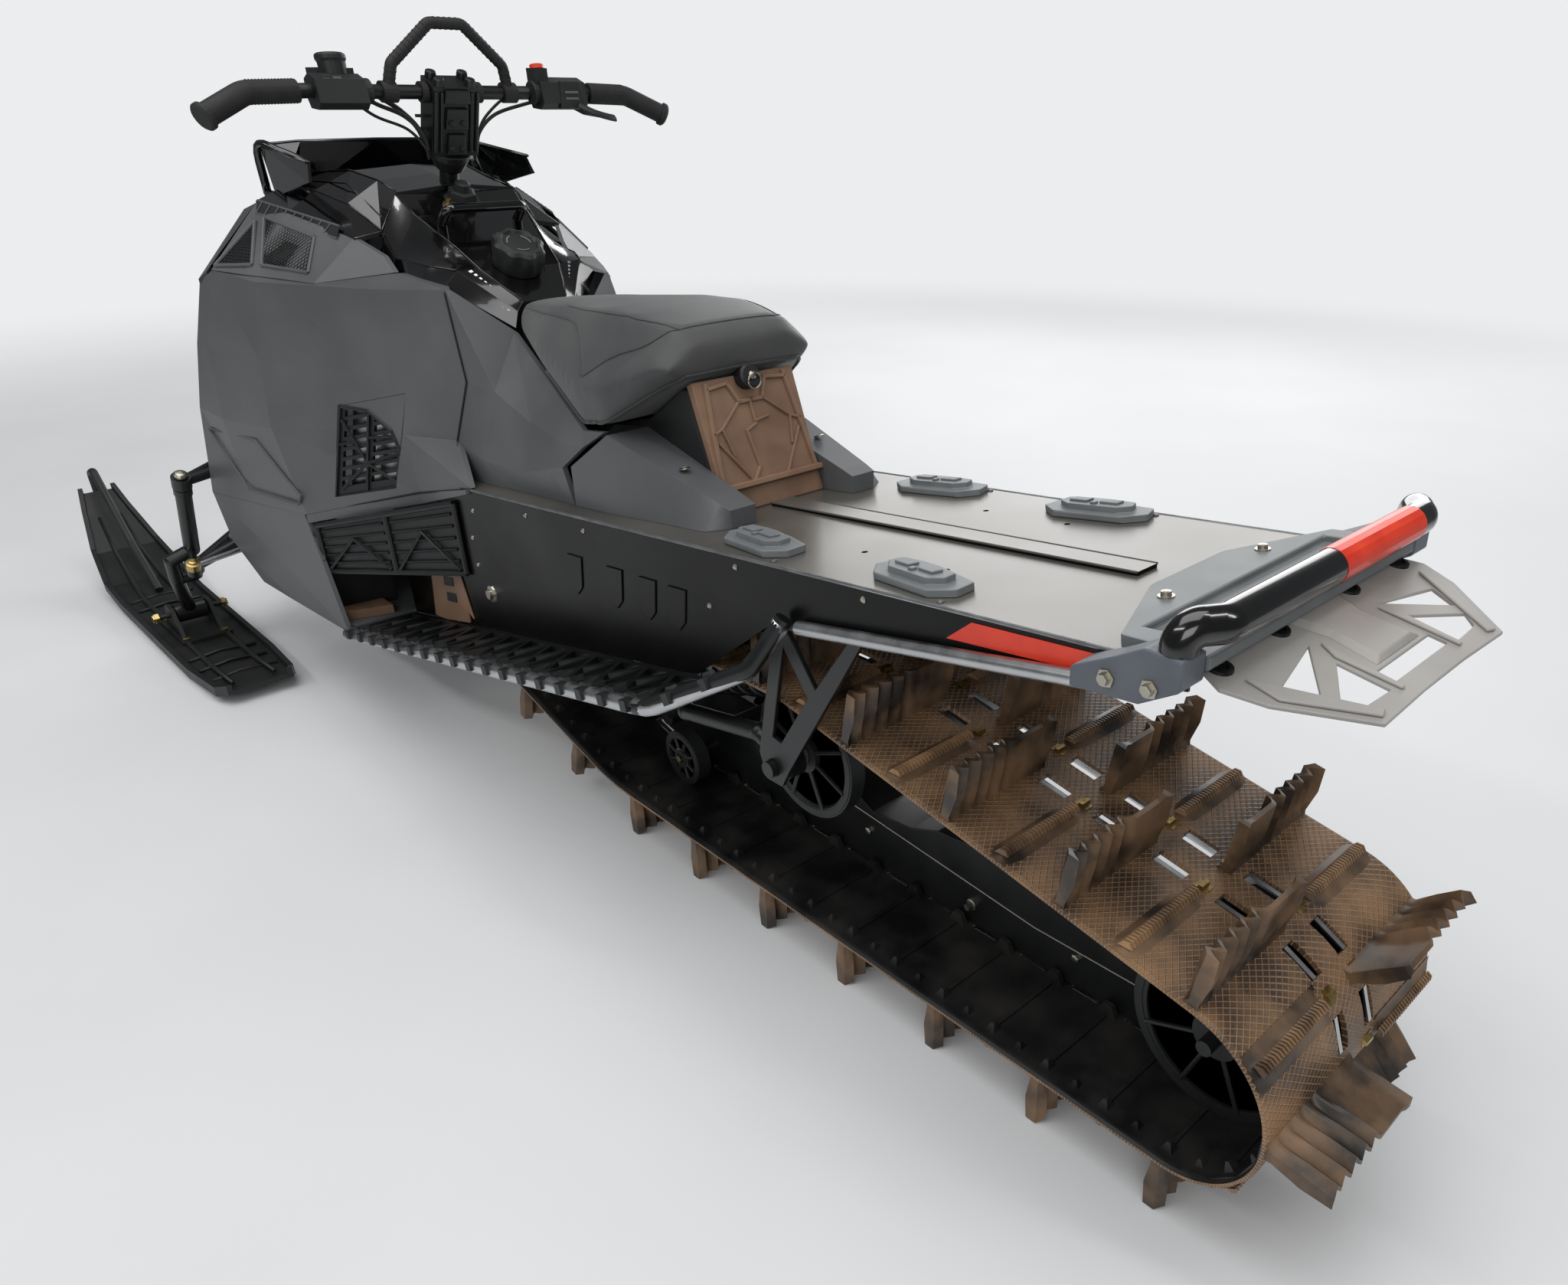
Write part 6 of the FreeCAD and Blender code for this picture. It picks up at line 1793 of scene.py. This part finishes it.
riser_trim = Parts()
POST_BOOT = [(0, 0.034), (0.012, 0.032), (0.03, 0.024), (0.034, 0.02)]
SMALL_BOLT = [(0, 0.0055), (0.003, 0.0052), (0.0035, 0.003)]
CLAMP_BOLT = [(0, 0.0095), (0.006, 0.009), (0.012, 0.0085), (0.013, 0.005)]
for y in (-26, -36, 36, 26):
    riser_trim.bar([on_riser(10, y, 24), on_riser(-92, y, 24)], 3.2 * MM, sides=8)
for low, high, half in ((-96, -60, 16), (-52, -16, 20), (-8, 14, 23)):
    outline = ((low, half), (high, half * 0.9), (high, -half * 0.9), (low, -half))
    riser_trim.plate([on_riser(up, y, 21.5) for up, y in outline], RISER_BACK * 0.006)
for y in (-27, 27):
    for back in (-14, 14):
        riser_trim.lathe(on_riser(17, y, back), RISER_UP, CLAMP_BOLT, 12)
riser_trim.lathe(on_riser(-100, 0, 0), -RISER_UP, POST_BOOT, 24)
soften(riser_trim.build("riser_ribs", powder_black, body="steering"), 1.2)

riser_bolts = Parts()
for up in (-40, -84):
    for y in (-10, 10):
        riser_bolts.lathe(on_riser(up, y, 27), RISER_BACK, SMALL_BOLT, 10)
riser_bolts.build("riser_bolts", pebbled_black, body="steering")

print("riser done")


# %% Rings on the grips and sleeves on the bar
def sleeve(low, high, outer, inner=0.0125):
    """The profile of a short tube round a bar, as (along, radius) in metres."""
    return [(low, inner), (low, outer), (high, outer), (high, inner)]


GRIP_RING = [(-0.0012, 0.0168), (-0.0006, 0.0178), (0.0006, 0.0178), (0.0012, 0.0168)]
GRIP_END = [(-0.004, 0.0172), (-0.003, 0.0205), (0.003, 0.0205), (0.006, 0.0175), (0.006, 0.004)]
ALONG_BAR = (0, 1, 0)
RINGS_PER_GRIP = 15
bar_trim = Parts()
bar_trim.lathe(at(BAR.x, 0, BAR.z), ALONG_BAR, sleeve(-0.052, -0.042, 0.0165), 18)
bar_trim.lathe(at(BAR.x, 0, BAR.z), ALONG_BAR, sleeve(0.042, 0.052, 0.0165), 18)
for side in (1, -1):
    start = BAR + Vector((-14.3, side * 235, 0.6))
    bend = BAR + Vector((-16.3, side * 325, -2.4))
    tip = BAR + Vector((-34.3, side * 392, -34.4))
    for k in range(RINGS_PER_GRIP):
        spot = lerp(start, bend, 0.2 + 0.052 * k)
        bar_trim.lathe(at(*spot), (bend - start).normalized(), GRIP_RING, 16)
    bar_trim.lathe(at(*tip), (tip - bend).normalized(), GRIP_END, 20)
bar_trim.build("grip_rings", soft_rubber, body="steering")
print("grip rings:", 2 * RINGS_PER_GRIP)

# %% Switches, reservoir and levers
BAR_UP = Vector((0.15, 0, 0.99)).normalized()
RESERVOIR = [(-0.004, 0.02), (0.02, 0.021), (0.024, 0.023), (0.03, 0.023), (0.033, 0.019)]
THUMB_LEVER = ((1652, -214, 1112), (1640, -236, 1100), (1640, -262, 1093), (1648, -282, 1090))
pods = Parts()
pods.block(at(1676, 190, 1138), (0.016, 0.052, 0.03), taper=0.8)
pods.lathe(at(1702, 180, 1152), (0.1, 0, 1), RESERVOIR, 20)
pods.block(at(1668, -206, 1128), (0.03, 0.05, 0.044), taper=0.75)
pods.lathe(at(1682, 146, 1131), ALONG_BAR, sleeve(-0.008, 0.008, 0.019, 0.0165), 18)
pods.lathe(at(1682, -146, 1131), ALONG_BAR, sleeve(-0.006, 0.006, 0.019, 0.0165), 18)
pods.bar(catmull([at(*p) for p in THUMB_LEVER], 4), 7.5 * MM, squeeze=0.5)
soften(pods.build("control_blocks", pebbled_black, body="steering"), 2.5)

# Sideways place, height, and the button's width and height
BUTTONS = (
    (172, 1144, 13, 9),
    (190, 1147, 14, 8),
    (190, 1134, 14, 8),
    (207, 1144, 12, 10),
    (172, 1130, 12, 8),
)
buttons = Parts()
for y, z, wide, high in BUTTONS:
    buttons.block(at(1667, y, z), (0.008, wide * MM, high * MM), taper=0.85)
for z in (1122, 1132):
    buttons.block(at(1657, -205, z), (0.006, 0.026, 0.004))
soften(buttons.build("switch_buttons", satin_panel, body="steering"), 1.0)

STOP_BUTTON = [(0, 0.006), (0.005, 0.006), (0.006, 0.012), (0.012, 0.012), (0.0135, 0.009)]
stop = Parts()
stop.lathe(at(1680, -158, 1163), BAR_UP, STOP_BUTTON, 18)
stop.build("stop_switch", red_film, body="steering")
print("buttons:", len(BUTTONS))

# %% The wrap on the hoop above the bar
# The corners of the hoop's left half, from the middle of the bar
HOOP_TOP = (-24.3, 28, 101.6)
HOOP_SHOULDER = (-11.3, 95, 41.6)
HOOP_FOOT = (-1.3, 104, 2.6)
WRAP_SPACING = 9
WRAP_FROM = 20
WRAP_RING = [(-0.0014, 0.0088), (-0.0007, 0.0098), (0.0007, 0.0098), (0.0014, 0.0088)]
half_hoop = [HOOP_FOOT, HOOP_SHOULDER, HOOP_TOP]
hoop_path = half_hoop + [(x, -y, z) for x, y, z in reversed(half_hoop)]
hoop_wrap = Parts()
for a, b in zip(hoop_path, hoop_path[1:]):
    start = BAR + Vector(a)
    end = BAR + Vector(b)
    along = (end - start).normalized()
    turns = max(2, int((end - start).length / WRAP_SPACING))
    for k in range(1, turns):
        spot = lerp(start, end, k / turns)
        if spot.z > BAR.z + WRAP_FROM:
            hoop_wrap.lathe(at(*spot), along, WRAP_RING, 12)
for side in (1, -1):
    hoop_wrap.lathe(at(BAR.x, side * 104, BAR.z), ALONG_BAR, sleeve(-0.012, 0.012, 0.0165), 18)
hoop_wrap.build("hoop_wrap", soft_rubber, body="steering")
print("bars done")

# %% [markdown]
# Cables leave the controls forwards, hang in a short loop under the bar and are tied to
# the riser. They are drawn as formed loops that turn with the bars.

# %% Cables tied to the riser
CABLES = (
    # radius, points from the control to the tie on the riser's side
    (3.6, ((1700, 150, 1128), (1716, 118, 1112), (1722, 74, 1094), (1716, 50, 1066), (1722, 42, 1040))),
    (2.6, ((1702, 166, 1122), (1726, 120, 1094), (1730, 70, 1074), (1722, 48, 1046), (1726, 43, 1026))),
    (4.4, ((1716, 176, 1140), (1732, 130, 1134), (1734, 84, 1110), (1726, 56, 1080), (1726, 44, 1050))),
    (3.0, ((1700, -184, 1122), (1716, -142, 1112), (1722, -88, 1096), (1716, -52, 1070), (1722, -43, 1042))),
    (2.4, ((1706, -176, 1138), (1726, -124, 1128), (1728, -72, 1092), (1722, -48, 1058), (1726, -43, 1030))),
)
cables = Parts()
for radius, points in CABLES:
    cables.bar(catmull([at(*p) for p in points], 7), radius * MM, sides=10)
cables.build("control_cables", soft_rubber, body="steering", smooth=True)
ties = Parts()
for up in (-62, -40):
    p = BAR + RISER_UP * up
    for y in (43.7, -43.7):
        ties.block(at(p.x + 14, y, p.z), (0.03, 0.008, 0.005))
ties.build("cable_ties", pebbled_black, body="steering")
print("cables done")

# %% [markdown]
# ## Springs and dampers
#
# A coil spring carries the weight, and the damper inside it calms the bounce. The CAD
# draws each coil as a ridged sleeve, good enough for a collision check. Here it becomes
# a real helix of wire between two seats, with the damper's shaft inside it.

# %% Coil-over dampers
STEPS_PER_TURN = 18


def coil_over(springs, steel, lower, upper, body_radius, coil_radius, wire, turns, share, eye):
    """A spring over a share of the length, its seats and the damper between two drawn points."""
    low = Vector(lower)
    run = Vector(upper) - low
    unit = run.normalized()
    side = unit.orthogonal().normalized()
    over = unit.cross(side)
    start = run.length * (1 - share) / 2
    length = run.length * share
    path = []
    steps = turns * STEPS_PER_TURN
    for k in range(steps + 1):
        part = k / steps
        turn = 2 * math.pi * turns * part
        rise = start + wire + (length - 2 * wire) * (part * 0.96 + 0.02)
        spot = low + unit * rise + (side * math.cos(turn) + over * math.sin(turn)) * coil_radius
        path.append(at(*spot))
    springs.bar(path, wire * MM, sides=8)
    profile = [
        (0, body_radius * 0.5),
        (start - 6, body_radius * 0.5),
        (start - 6, coil_radius + wire),
        (start, coil_radius + wire),
        (start, body_radius * 0.45),
        (start + length * 0.4, body_radius * 0.45),
        (start + length * 0.4, body_radius),
        (start + length - 1, body_radius),
        (start + length - 1, coil_radius + wire),
        (start + length + 7, coil_radius + wire),
        (start + length + 7, body_radius * 0.9),
        (run.length, body_radius * 0.7),
    ]
    steel.lathe(at(*low), unit, [(a * MM, r * MM) for a, r in profile], 24)
    for centre, axis, half, radius in eye:
        steel.lathe(at(*centre), axis, [(-half * MM, radius * MM), (half * MM, radius * MM)], 24)


ACROSS = (0, 1, 0)
FORWARDS = (1, 0, 0)
front_springs = Parts()
front_dampers = Parts()
for side in (1, -1):
    foot = (2434, side * 330, 224)
    head = (2346, side * 171, 570)
    eyes = ((foot, FORWARDS, 10, 17), (head, FORWARDS, 17, 18))
    coil_over(front_springs, front_dampers, foot, head, 17, 27, 4.6, 8, 0.6, eyes)
springs = front_springs.build("front_springs", powder_black, smooth=True)
front_dampers.build("front_damper_bodies", bare_aluminium)
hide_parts("front_shocks")

# Foot, head, and the radius of the eye at the head
SKID_DAMPERS = (((1176, 0, 205.3), (756, 0, 338), 20), ((1262, 0, 205.3), (1419, 0, 349), 22))
skid_springs = Parts()
skid_bodies = Parts()
for foot, head, pin in SKID_DAMPERS:
    eyes = ((foot, ACROSS, 20, 15), (head, ACROSS, 20, pin))
    coil_over(skid_springs, skid_bodies, foot, head, 17, 28, 5.0, 7, 0.6, eyes)
springs = skid_springs.build("skid_springs", powder_black, smooth=True)
skid_bodies.build("skid_damper_bodies", bare_aluminium)
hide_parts("skid_dampers")
print("springs done")

# %% [markdown]
# ## Skid bolts and wheels
#
# Idler wheels are moulded with spokes and turn on sealed bearings with bright rings.
# Shafts end in yellow passivated bolts, and a thin bright line is the slide's wear strip.

# %% Wheel bearings and spokes
bearings = Parts()
gold_ends = Parts()
silver_ends = Parts()
wheels = Parts()
WHEEL_PLACES = (
    # x, z, outer face, radius, hub
    (0, 197, 90, 113.7, 26),
    (1035, 131.3, 104, 48, 18),
    (639, 326, 150, 97.7, 24),
)
SPOKES = 8
WHEEL_BOLT = [(0, 0.0085), (0.006, 0.0085), (0.0075, 0.005)]
for x, z, face_y, radius, hub in WHEEL_PLACES:
    bearing = [(-0.004, hub), (0.002, hub), (0.0025, hub * 0.6), (0.0005, hub * 0.5)]
    rim = [(-0.004, radius - 1), (0.001, radius - 3), (0.001, radius - 12), (-0.004, radius - 13)]
    for side in (1, -1):
        centre = at(x, side * face_y, z)
        out = (0, side, 0)
        bearings.lathe(centre, out, [(along, r * MM) for along, r in bearing], 24)
        wheels.lathe(centre, out, [(along, r * MM) for along, r in rim], 40)
        for k in range(SPOKES):
            turn = 2 * math.pi * (k + 0.5) / SPOKES
            direction = Vector((math.cos(turn), 0, math.sin(turn)))
            spoke = [centre + direction * r * MM for r in (hub, radius - 12)]
            wheels.bar(spoke, 3.2 * MM, sides=6)
        gold_ends.lathe(centre + Vector((0, side * 0.001, 0)), out, WHEEL_BOLT, 6)
print("wheels with spokes:", 2 * len(WHEEL_PLACES))

# %% Shaft ends and rail bolts
SHAFT_END = [(-0.003, 0.014), (0.003, 0.013), (0.0035, 0.009), (0.012, 0.0085), (0.0135, 0.005)]
SPACER = [(0, 0.0155), (0.02, 0.0155)]
TUNNEL_BOLT = [(0, 0.016), (0.003, 0.015), (0.0035, 0.009), (0.009, 0.0085)]
ARM_BOLT = [(0, 0.009), (0.003, 0.009), (0.004, 0.006), (0.012, 0.005)]
RAIL_BOLT = [(0, 0.007), (0.004, 0.0065), (0.005, 0.003)]
RAIL_HALF = 36
for side in (1, -1):
    out = (0, side, 0)
    gold_ends.lathe(at(639, side * 178, 326), out, SHAFT_END, 12)
    silver_ends.lathe(at(639, side * 155, 326), out, SPACER, 20)
    silver_ends.lathe(at(1419, side * TUNNEL_HALF, 349), out, TUNNEL_BOLT, 12)
    silver_ends.lathe(at(426, side * RAIL_HALF, 118), out, ARM_BOLT, 12)
    for x, z in ((1176, 196), (1262, 196), (880, 150), (240, 132), (640, 140)):
        silver_ends.lathe(at(x, side * RAIL_HALF, z), out, RAIL_BOLT, 6)
bearings.build("wheel_bearings", zinc_steel)
wheels.build("wheel_spokes", pebbled_black)
gold_ends.build("shaft_bolts", gold_zinc)
silver_ends.build("rail_bolts", zinc_steel)
wear_line = Parts()
for side in (1, -1):
    path = [at(x, side * RAIL_HALF, z) for x, z in ((701, 173), (313, 141), (59, 146))]
    wear_line.bar(path, 1.1 * MM, sides=6)
wear_line.build("rail_wear_line", zinc_steel)
print("skid done")

# %% [markdown]
# ## Skis and steering ends
#
# The plastic skis have raised ribs along and across their upper side. Their bolts, and
# the rod ends of the steering, are yellow passivated.

# %% Ski ribs and bolts
# The ski bolt's x, the ski's middle, and half the width of its flat part
SKI_BOLT_X = 2498
SKI_MIDDLE = 452
SKI_HALF = 66
# Distance from the ski bolt and height along each long rib, and the rib's radius there
LONG_RIB = ((-395, 32, 4), (-250, 19, 6), (250, 19, 6), (380, 36, 5), (495, 84, 4), (575, 150, 3))
PIVOT_BOLT = [(-0.012, 0.012), (-0.004, 0.012), (-0.0035, 0.009), (0.0, 0.0085)]
SADDLE_BOLT = [(0, 0.008), (0.003, 0.008), (0.0045, 0.005)]
for side, name in SIDES:
    middle = side * SKI_MIDDLE
    ski_ribs = Parts()
    for offset in (-40, 40):
        line = []
        for a, z, radius in LONG_RIB:
            narrowing = 1 - max(0, a - 200) / 900
            line.append(at(SKI_BOLT_X + a, side * (SKI_MIDDLE + offset * narrowing), z))
        ski_ribs.bar(line, [radius * MM for a, z, radius in LONG_RIB], sides=8)
    for a in (-330, -260, -190, 190, 260):
        cross_rib = ((a, -SKI_HALF, 19), (a + 18, 0, 19.5), (a, SKI_HALF, 19))
        line = [at(SKI_BOLT_X + x, side * (SKI_MIDDLE + y), z) for x, y, z in cross_rib]
        ski_ribs.bar(line, 4.0 * MM, sides=6)
    ski_ribs.build("ski_ribs_" + name, pebbled_black, body="ski_" + name, smooth=True)
    ski_bolts = Parts()
    for out in (-1, 1):
        ski_bolts.lathe(at(SKI_BOLT_X, middle + 75 * out, 62), (0, out, 0), PIVOT_BOLT, 6)
    for a in (-76, 76):
        for b in (-38, 38):
            ski_bolts.lathe(at(SKI_BOLT_X + a, middle + b, 25.2), (0, 0, 1), SADDLE_BOLT, 6)
    ski_bolts.build("ski_bolts_" + name, gold_zinc, body="ski_" + name)
print("ski ribs and bolts done")

# %% Ball joint caps and rod ends
# The kingpin's upward direction, and the drawn places of its two ball joints
KINGPIN_UP = Vector((-0.4848, 0, 0.8746))
BALL_JOINTS = ((2290, 434, 409), (2411.4, 434, 190))
ROD_EYE = (2321.1, 455, 208.5)
JOINT_CAP = [(-0.002, 0.0125), (0.003, 0.0125), (0.006, 0.009), (0.007, 0.004)]
ROD_END = [(-0.0085, 0.0134), (0.0085, 0.0134), (0.0095, 0.009), (0.014, 0.0085), (0.015, 0.005)]
for side, name in SIDES:
    caps = Parts()
    for x, y, z in BALL_JOINTS:
        caps.lathe(at(*(Vector((x, side * y, z)) + KINGPIN_UP * 18)), KINGPIN_UP, JOINT_CAP, 18)
    caps.build("ball_joint_caps_" + name, zinc_steel)
    rod_end = Parts()
    eye = Vector((ROD_EYE[0], side * ROD_EYE[1], ROD_EYE[2])) + KINGPIN_UP * 17.5
    rod_end.lathe(at(*eye), KINGPIN_UP, ROD_END, 18)
    rod_end.build("rod_end_" + name, gold_zinc, body="tie_rod_" + name)
print("skis done")

# %% [markdown]
# ## Light, floor and camera
#
# A plain pale floor and an even room show dark, glossy parts best, because what they show
# is what they mirror. The room is bright to the camera and dimmer to mirroring surfaces,
# so that gloss black stays black. A wide lamp overhead gives soft shadows, and two narrow
# ones draw the bright lines along the bumper and the panels' edges.

# %% The room
scene.view_settings.view_transform = "Standard"
world = bpy.data.worlds.new("pale room")
scene.world = world
world.use_nodes = True
world.node_tree.nodes.clear()
sky_path = add(world.node_tree, "ShaderNodeLightPath")
room_light = add(world.node_tree, "ShaderNodeBackground", {"Color": linear("eef0f2"), "Strength": 0.62})
room_seen = add(world.node_tree, "ShaderNodeBackground", {"Color": linear("f2f3f4"), "Strength": 0.95})
room = add(
    world.node_tree,
    "ShaderNodeMixShader",
    {
        0: sky_path.outputs["Is Camera Ray"],
        1: room_light.outputs["Background"],
        2: room_seen.outputs["Background"],
    },
)
room_mirrored = add(world.node_tree, "ShaderNodeBackground", {"Color": linear("e6e9ec"), "Strength": 0.17})
mirrored = add(
    world.node_tree,
    "ShaderNodeMixShader",
    {0: sky_path.outputs["Is Glossy Ray"], 1: room.outputs["Shader"], 2: room_mirrored.outputs["Background"]},
)
add(world.node_tree, "ShaderNodeOutputWorld", {"Surface": mirrored.outputs["Shader"]})
print("room lit")

# %% The floor, which fades into the pale room
floor_finish = finish_of("pale studio floor", "c9cacb", "cfd0d1", 900, (0.6, 0.7), 6.0, 0.02)
floor_tree = floor_finish.node_tree
floor_place = add(floor_tree, "ShaderNodeTexCoord")
from_middle = {0: floor_place.outputs["Object"]}
floor_distance = add(floor_tree, "ShaderNodeVectorMath", from_middle, operation="LENGTH")
floor_fade = add(
    floor_tree,
    "ShaderNodeMapRange",
    {"Value": floor_distance.outputs["Value"], "From Min": 2.2, "From Max": 6.5},
    interpolation_type="SMOOTHSTEP",
)
floor_shader = next(n for n in floor_tree.nodes if n.type == "BSDF_PRINCIPLED")
floor_end = next(n for n in floor_tree.nodes if n.type == "OUTPUT_MATERIAL")
clear_air = add(floor_tree, "ShaderNodeBsdfTransparent")
floor_mix = add(
    floor_tree,
    "ShaderNodeMixShader",
    {0: floor_fade.outputs["Result"], 1: floor_shader.outputs["BSDF"], 2: clear_air.outputs["BSDF"]},
)
floor_tree.links.new(floor_mix.outputs["Shader"], floor_end.inputs["Surface"])
FLOOR_HALF = 14
floor_corners = [(2 * FLOOR_HALF * a, 2 * FLOOR_HALF * b, 0) for a, b in CORNER_SIGNS]
floor_mesh = bpy.data.meshes.new("studio_floor")
floor_mesh.from_pydata(floor_corners, [], [[0, 1, 2, 3]])
floor_mesh.materials.append(floor_finish)
studio_floor = bpy.data.objects.new("studio_floor", floor_mesh)
scene.collection.objects.link(studio_floor)
studio_floor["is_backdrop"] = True
print("floor ready")


# %% The lamps
def soft_lamp(name, place, aim, width, height, power):
    """A lamp with a wide face, in metres and watts, that looks at a point."""
    data = bpy.data.lights.new(name, "AREA")
    data.shape = "RECTANGLE"
    data.size = width
    data.size_y = height
    data.energy = power
    lamp = bpy.data.objects.new(name, data)
    lamp.location = place
    lamp.rotation_euler = (Vector(aim) - Vector(place)).to_track_quat("-Z", "Y").to_euler()
    scene.collection.objects.link(lamp)


soft_lamp("overhead lamp", (-0.3, 0.6, 4.2), (0, 0, 0.5), 4.0, 3.0, 95)
soft_lamp("far window", (1.6, -4.4, 2.2), (-0.6, 0, 0.6), 5.0, 2.4, 120)
soft_lamp("near fill", (-3.6, 3.4, 2.4), (0, 0, 0.5), 2.6, 2.0, 50)
soft_lamp("long strip", (0.2, 3.0, 3.2), (0.3, 0, 0.8), 3.4, 0.22, 30)
soft_lamp("short strip", (-2.8, -0.6, 3.4), (0.3, 0, 0.8), 0.3, 2.4, 24)
print("lamps:", len(bpy.data.lights))

# %% [markdown]
# The camera stands where the photographer stood: behind the left rear corner, a little
# above the bars, looking down. Its shift keeps the picture's centre where it was.

# %% The camera
IMAGE_WIDTH = 2048
IMAGE_HEIGHT = 1678
FOCAL_PIXELS = 1490.27
# The pixel that the camera faces, from the picture's upper left corner
FACED_PIXEL = (1268.36, 881.58)
SENSOR_MM = 36
camera_data = bpy.data.cameras.new("portrait camera")
camera_data.sensor_width = SENSOR_MM
camera_data.lens = FOCAL_PIXELS / IMAGE_WIDTH * SENSOR_MM
camera_data.shift_x = (IMAGE_WIDTH / 2 - FACED_PIXEL[0]) / IMAGE_WIDTH
camera_data.shift_y = (FACED_PIXEL[1] - IMAGE_HEIGHT / 2) / IMAGE_WIDTH
camera = bpy.data.objects.new("portrait camera", camera_data)
camera.location = at(-447.8, 984.1, 1136.8)
camera.rotation_euler = [math.radians(a) for a in (63.0122, -0.5769, -136.8028)]
scene.collection.objects.link(camera)
scene.camera = camera
print("lens:", round(camera_data.lens, 2), "mm")

low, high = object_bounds()
print("visual box:", [round(v, 3) for v in low], [round(v, 3) for v in high])
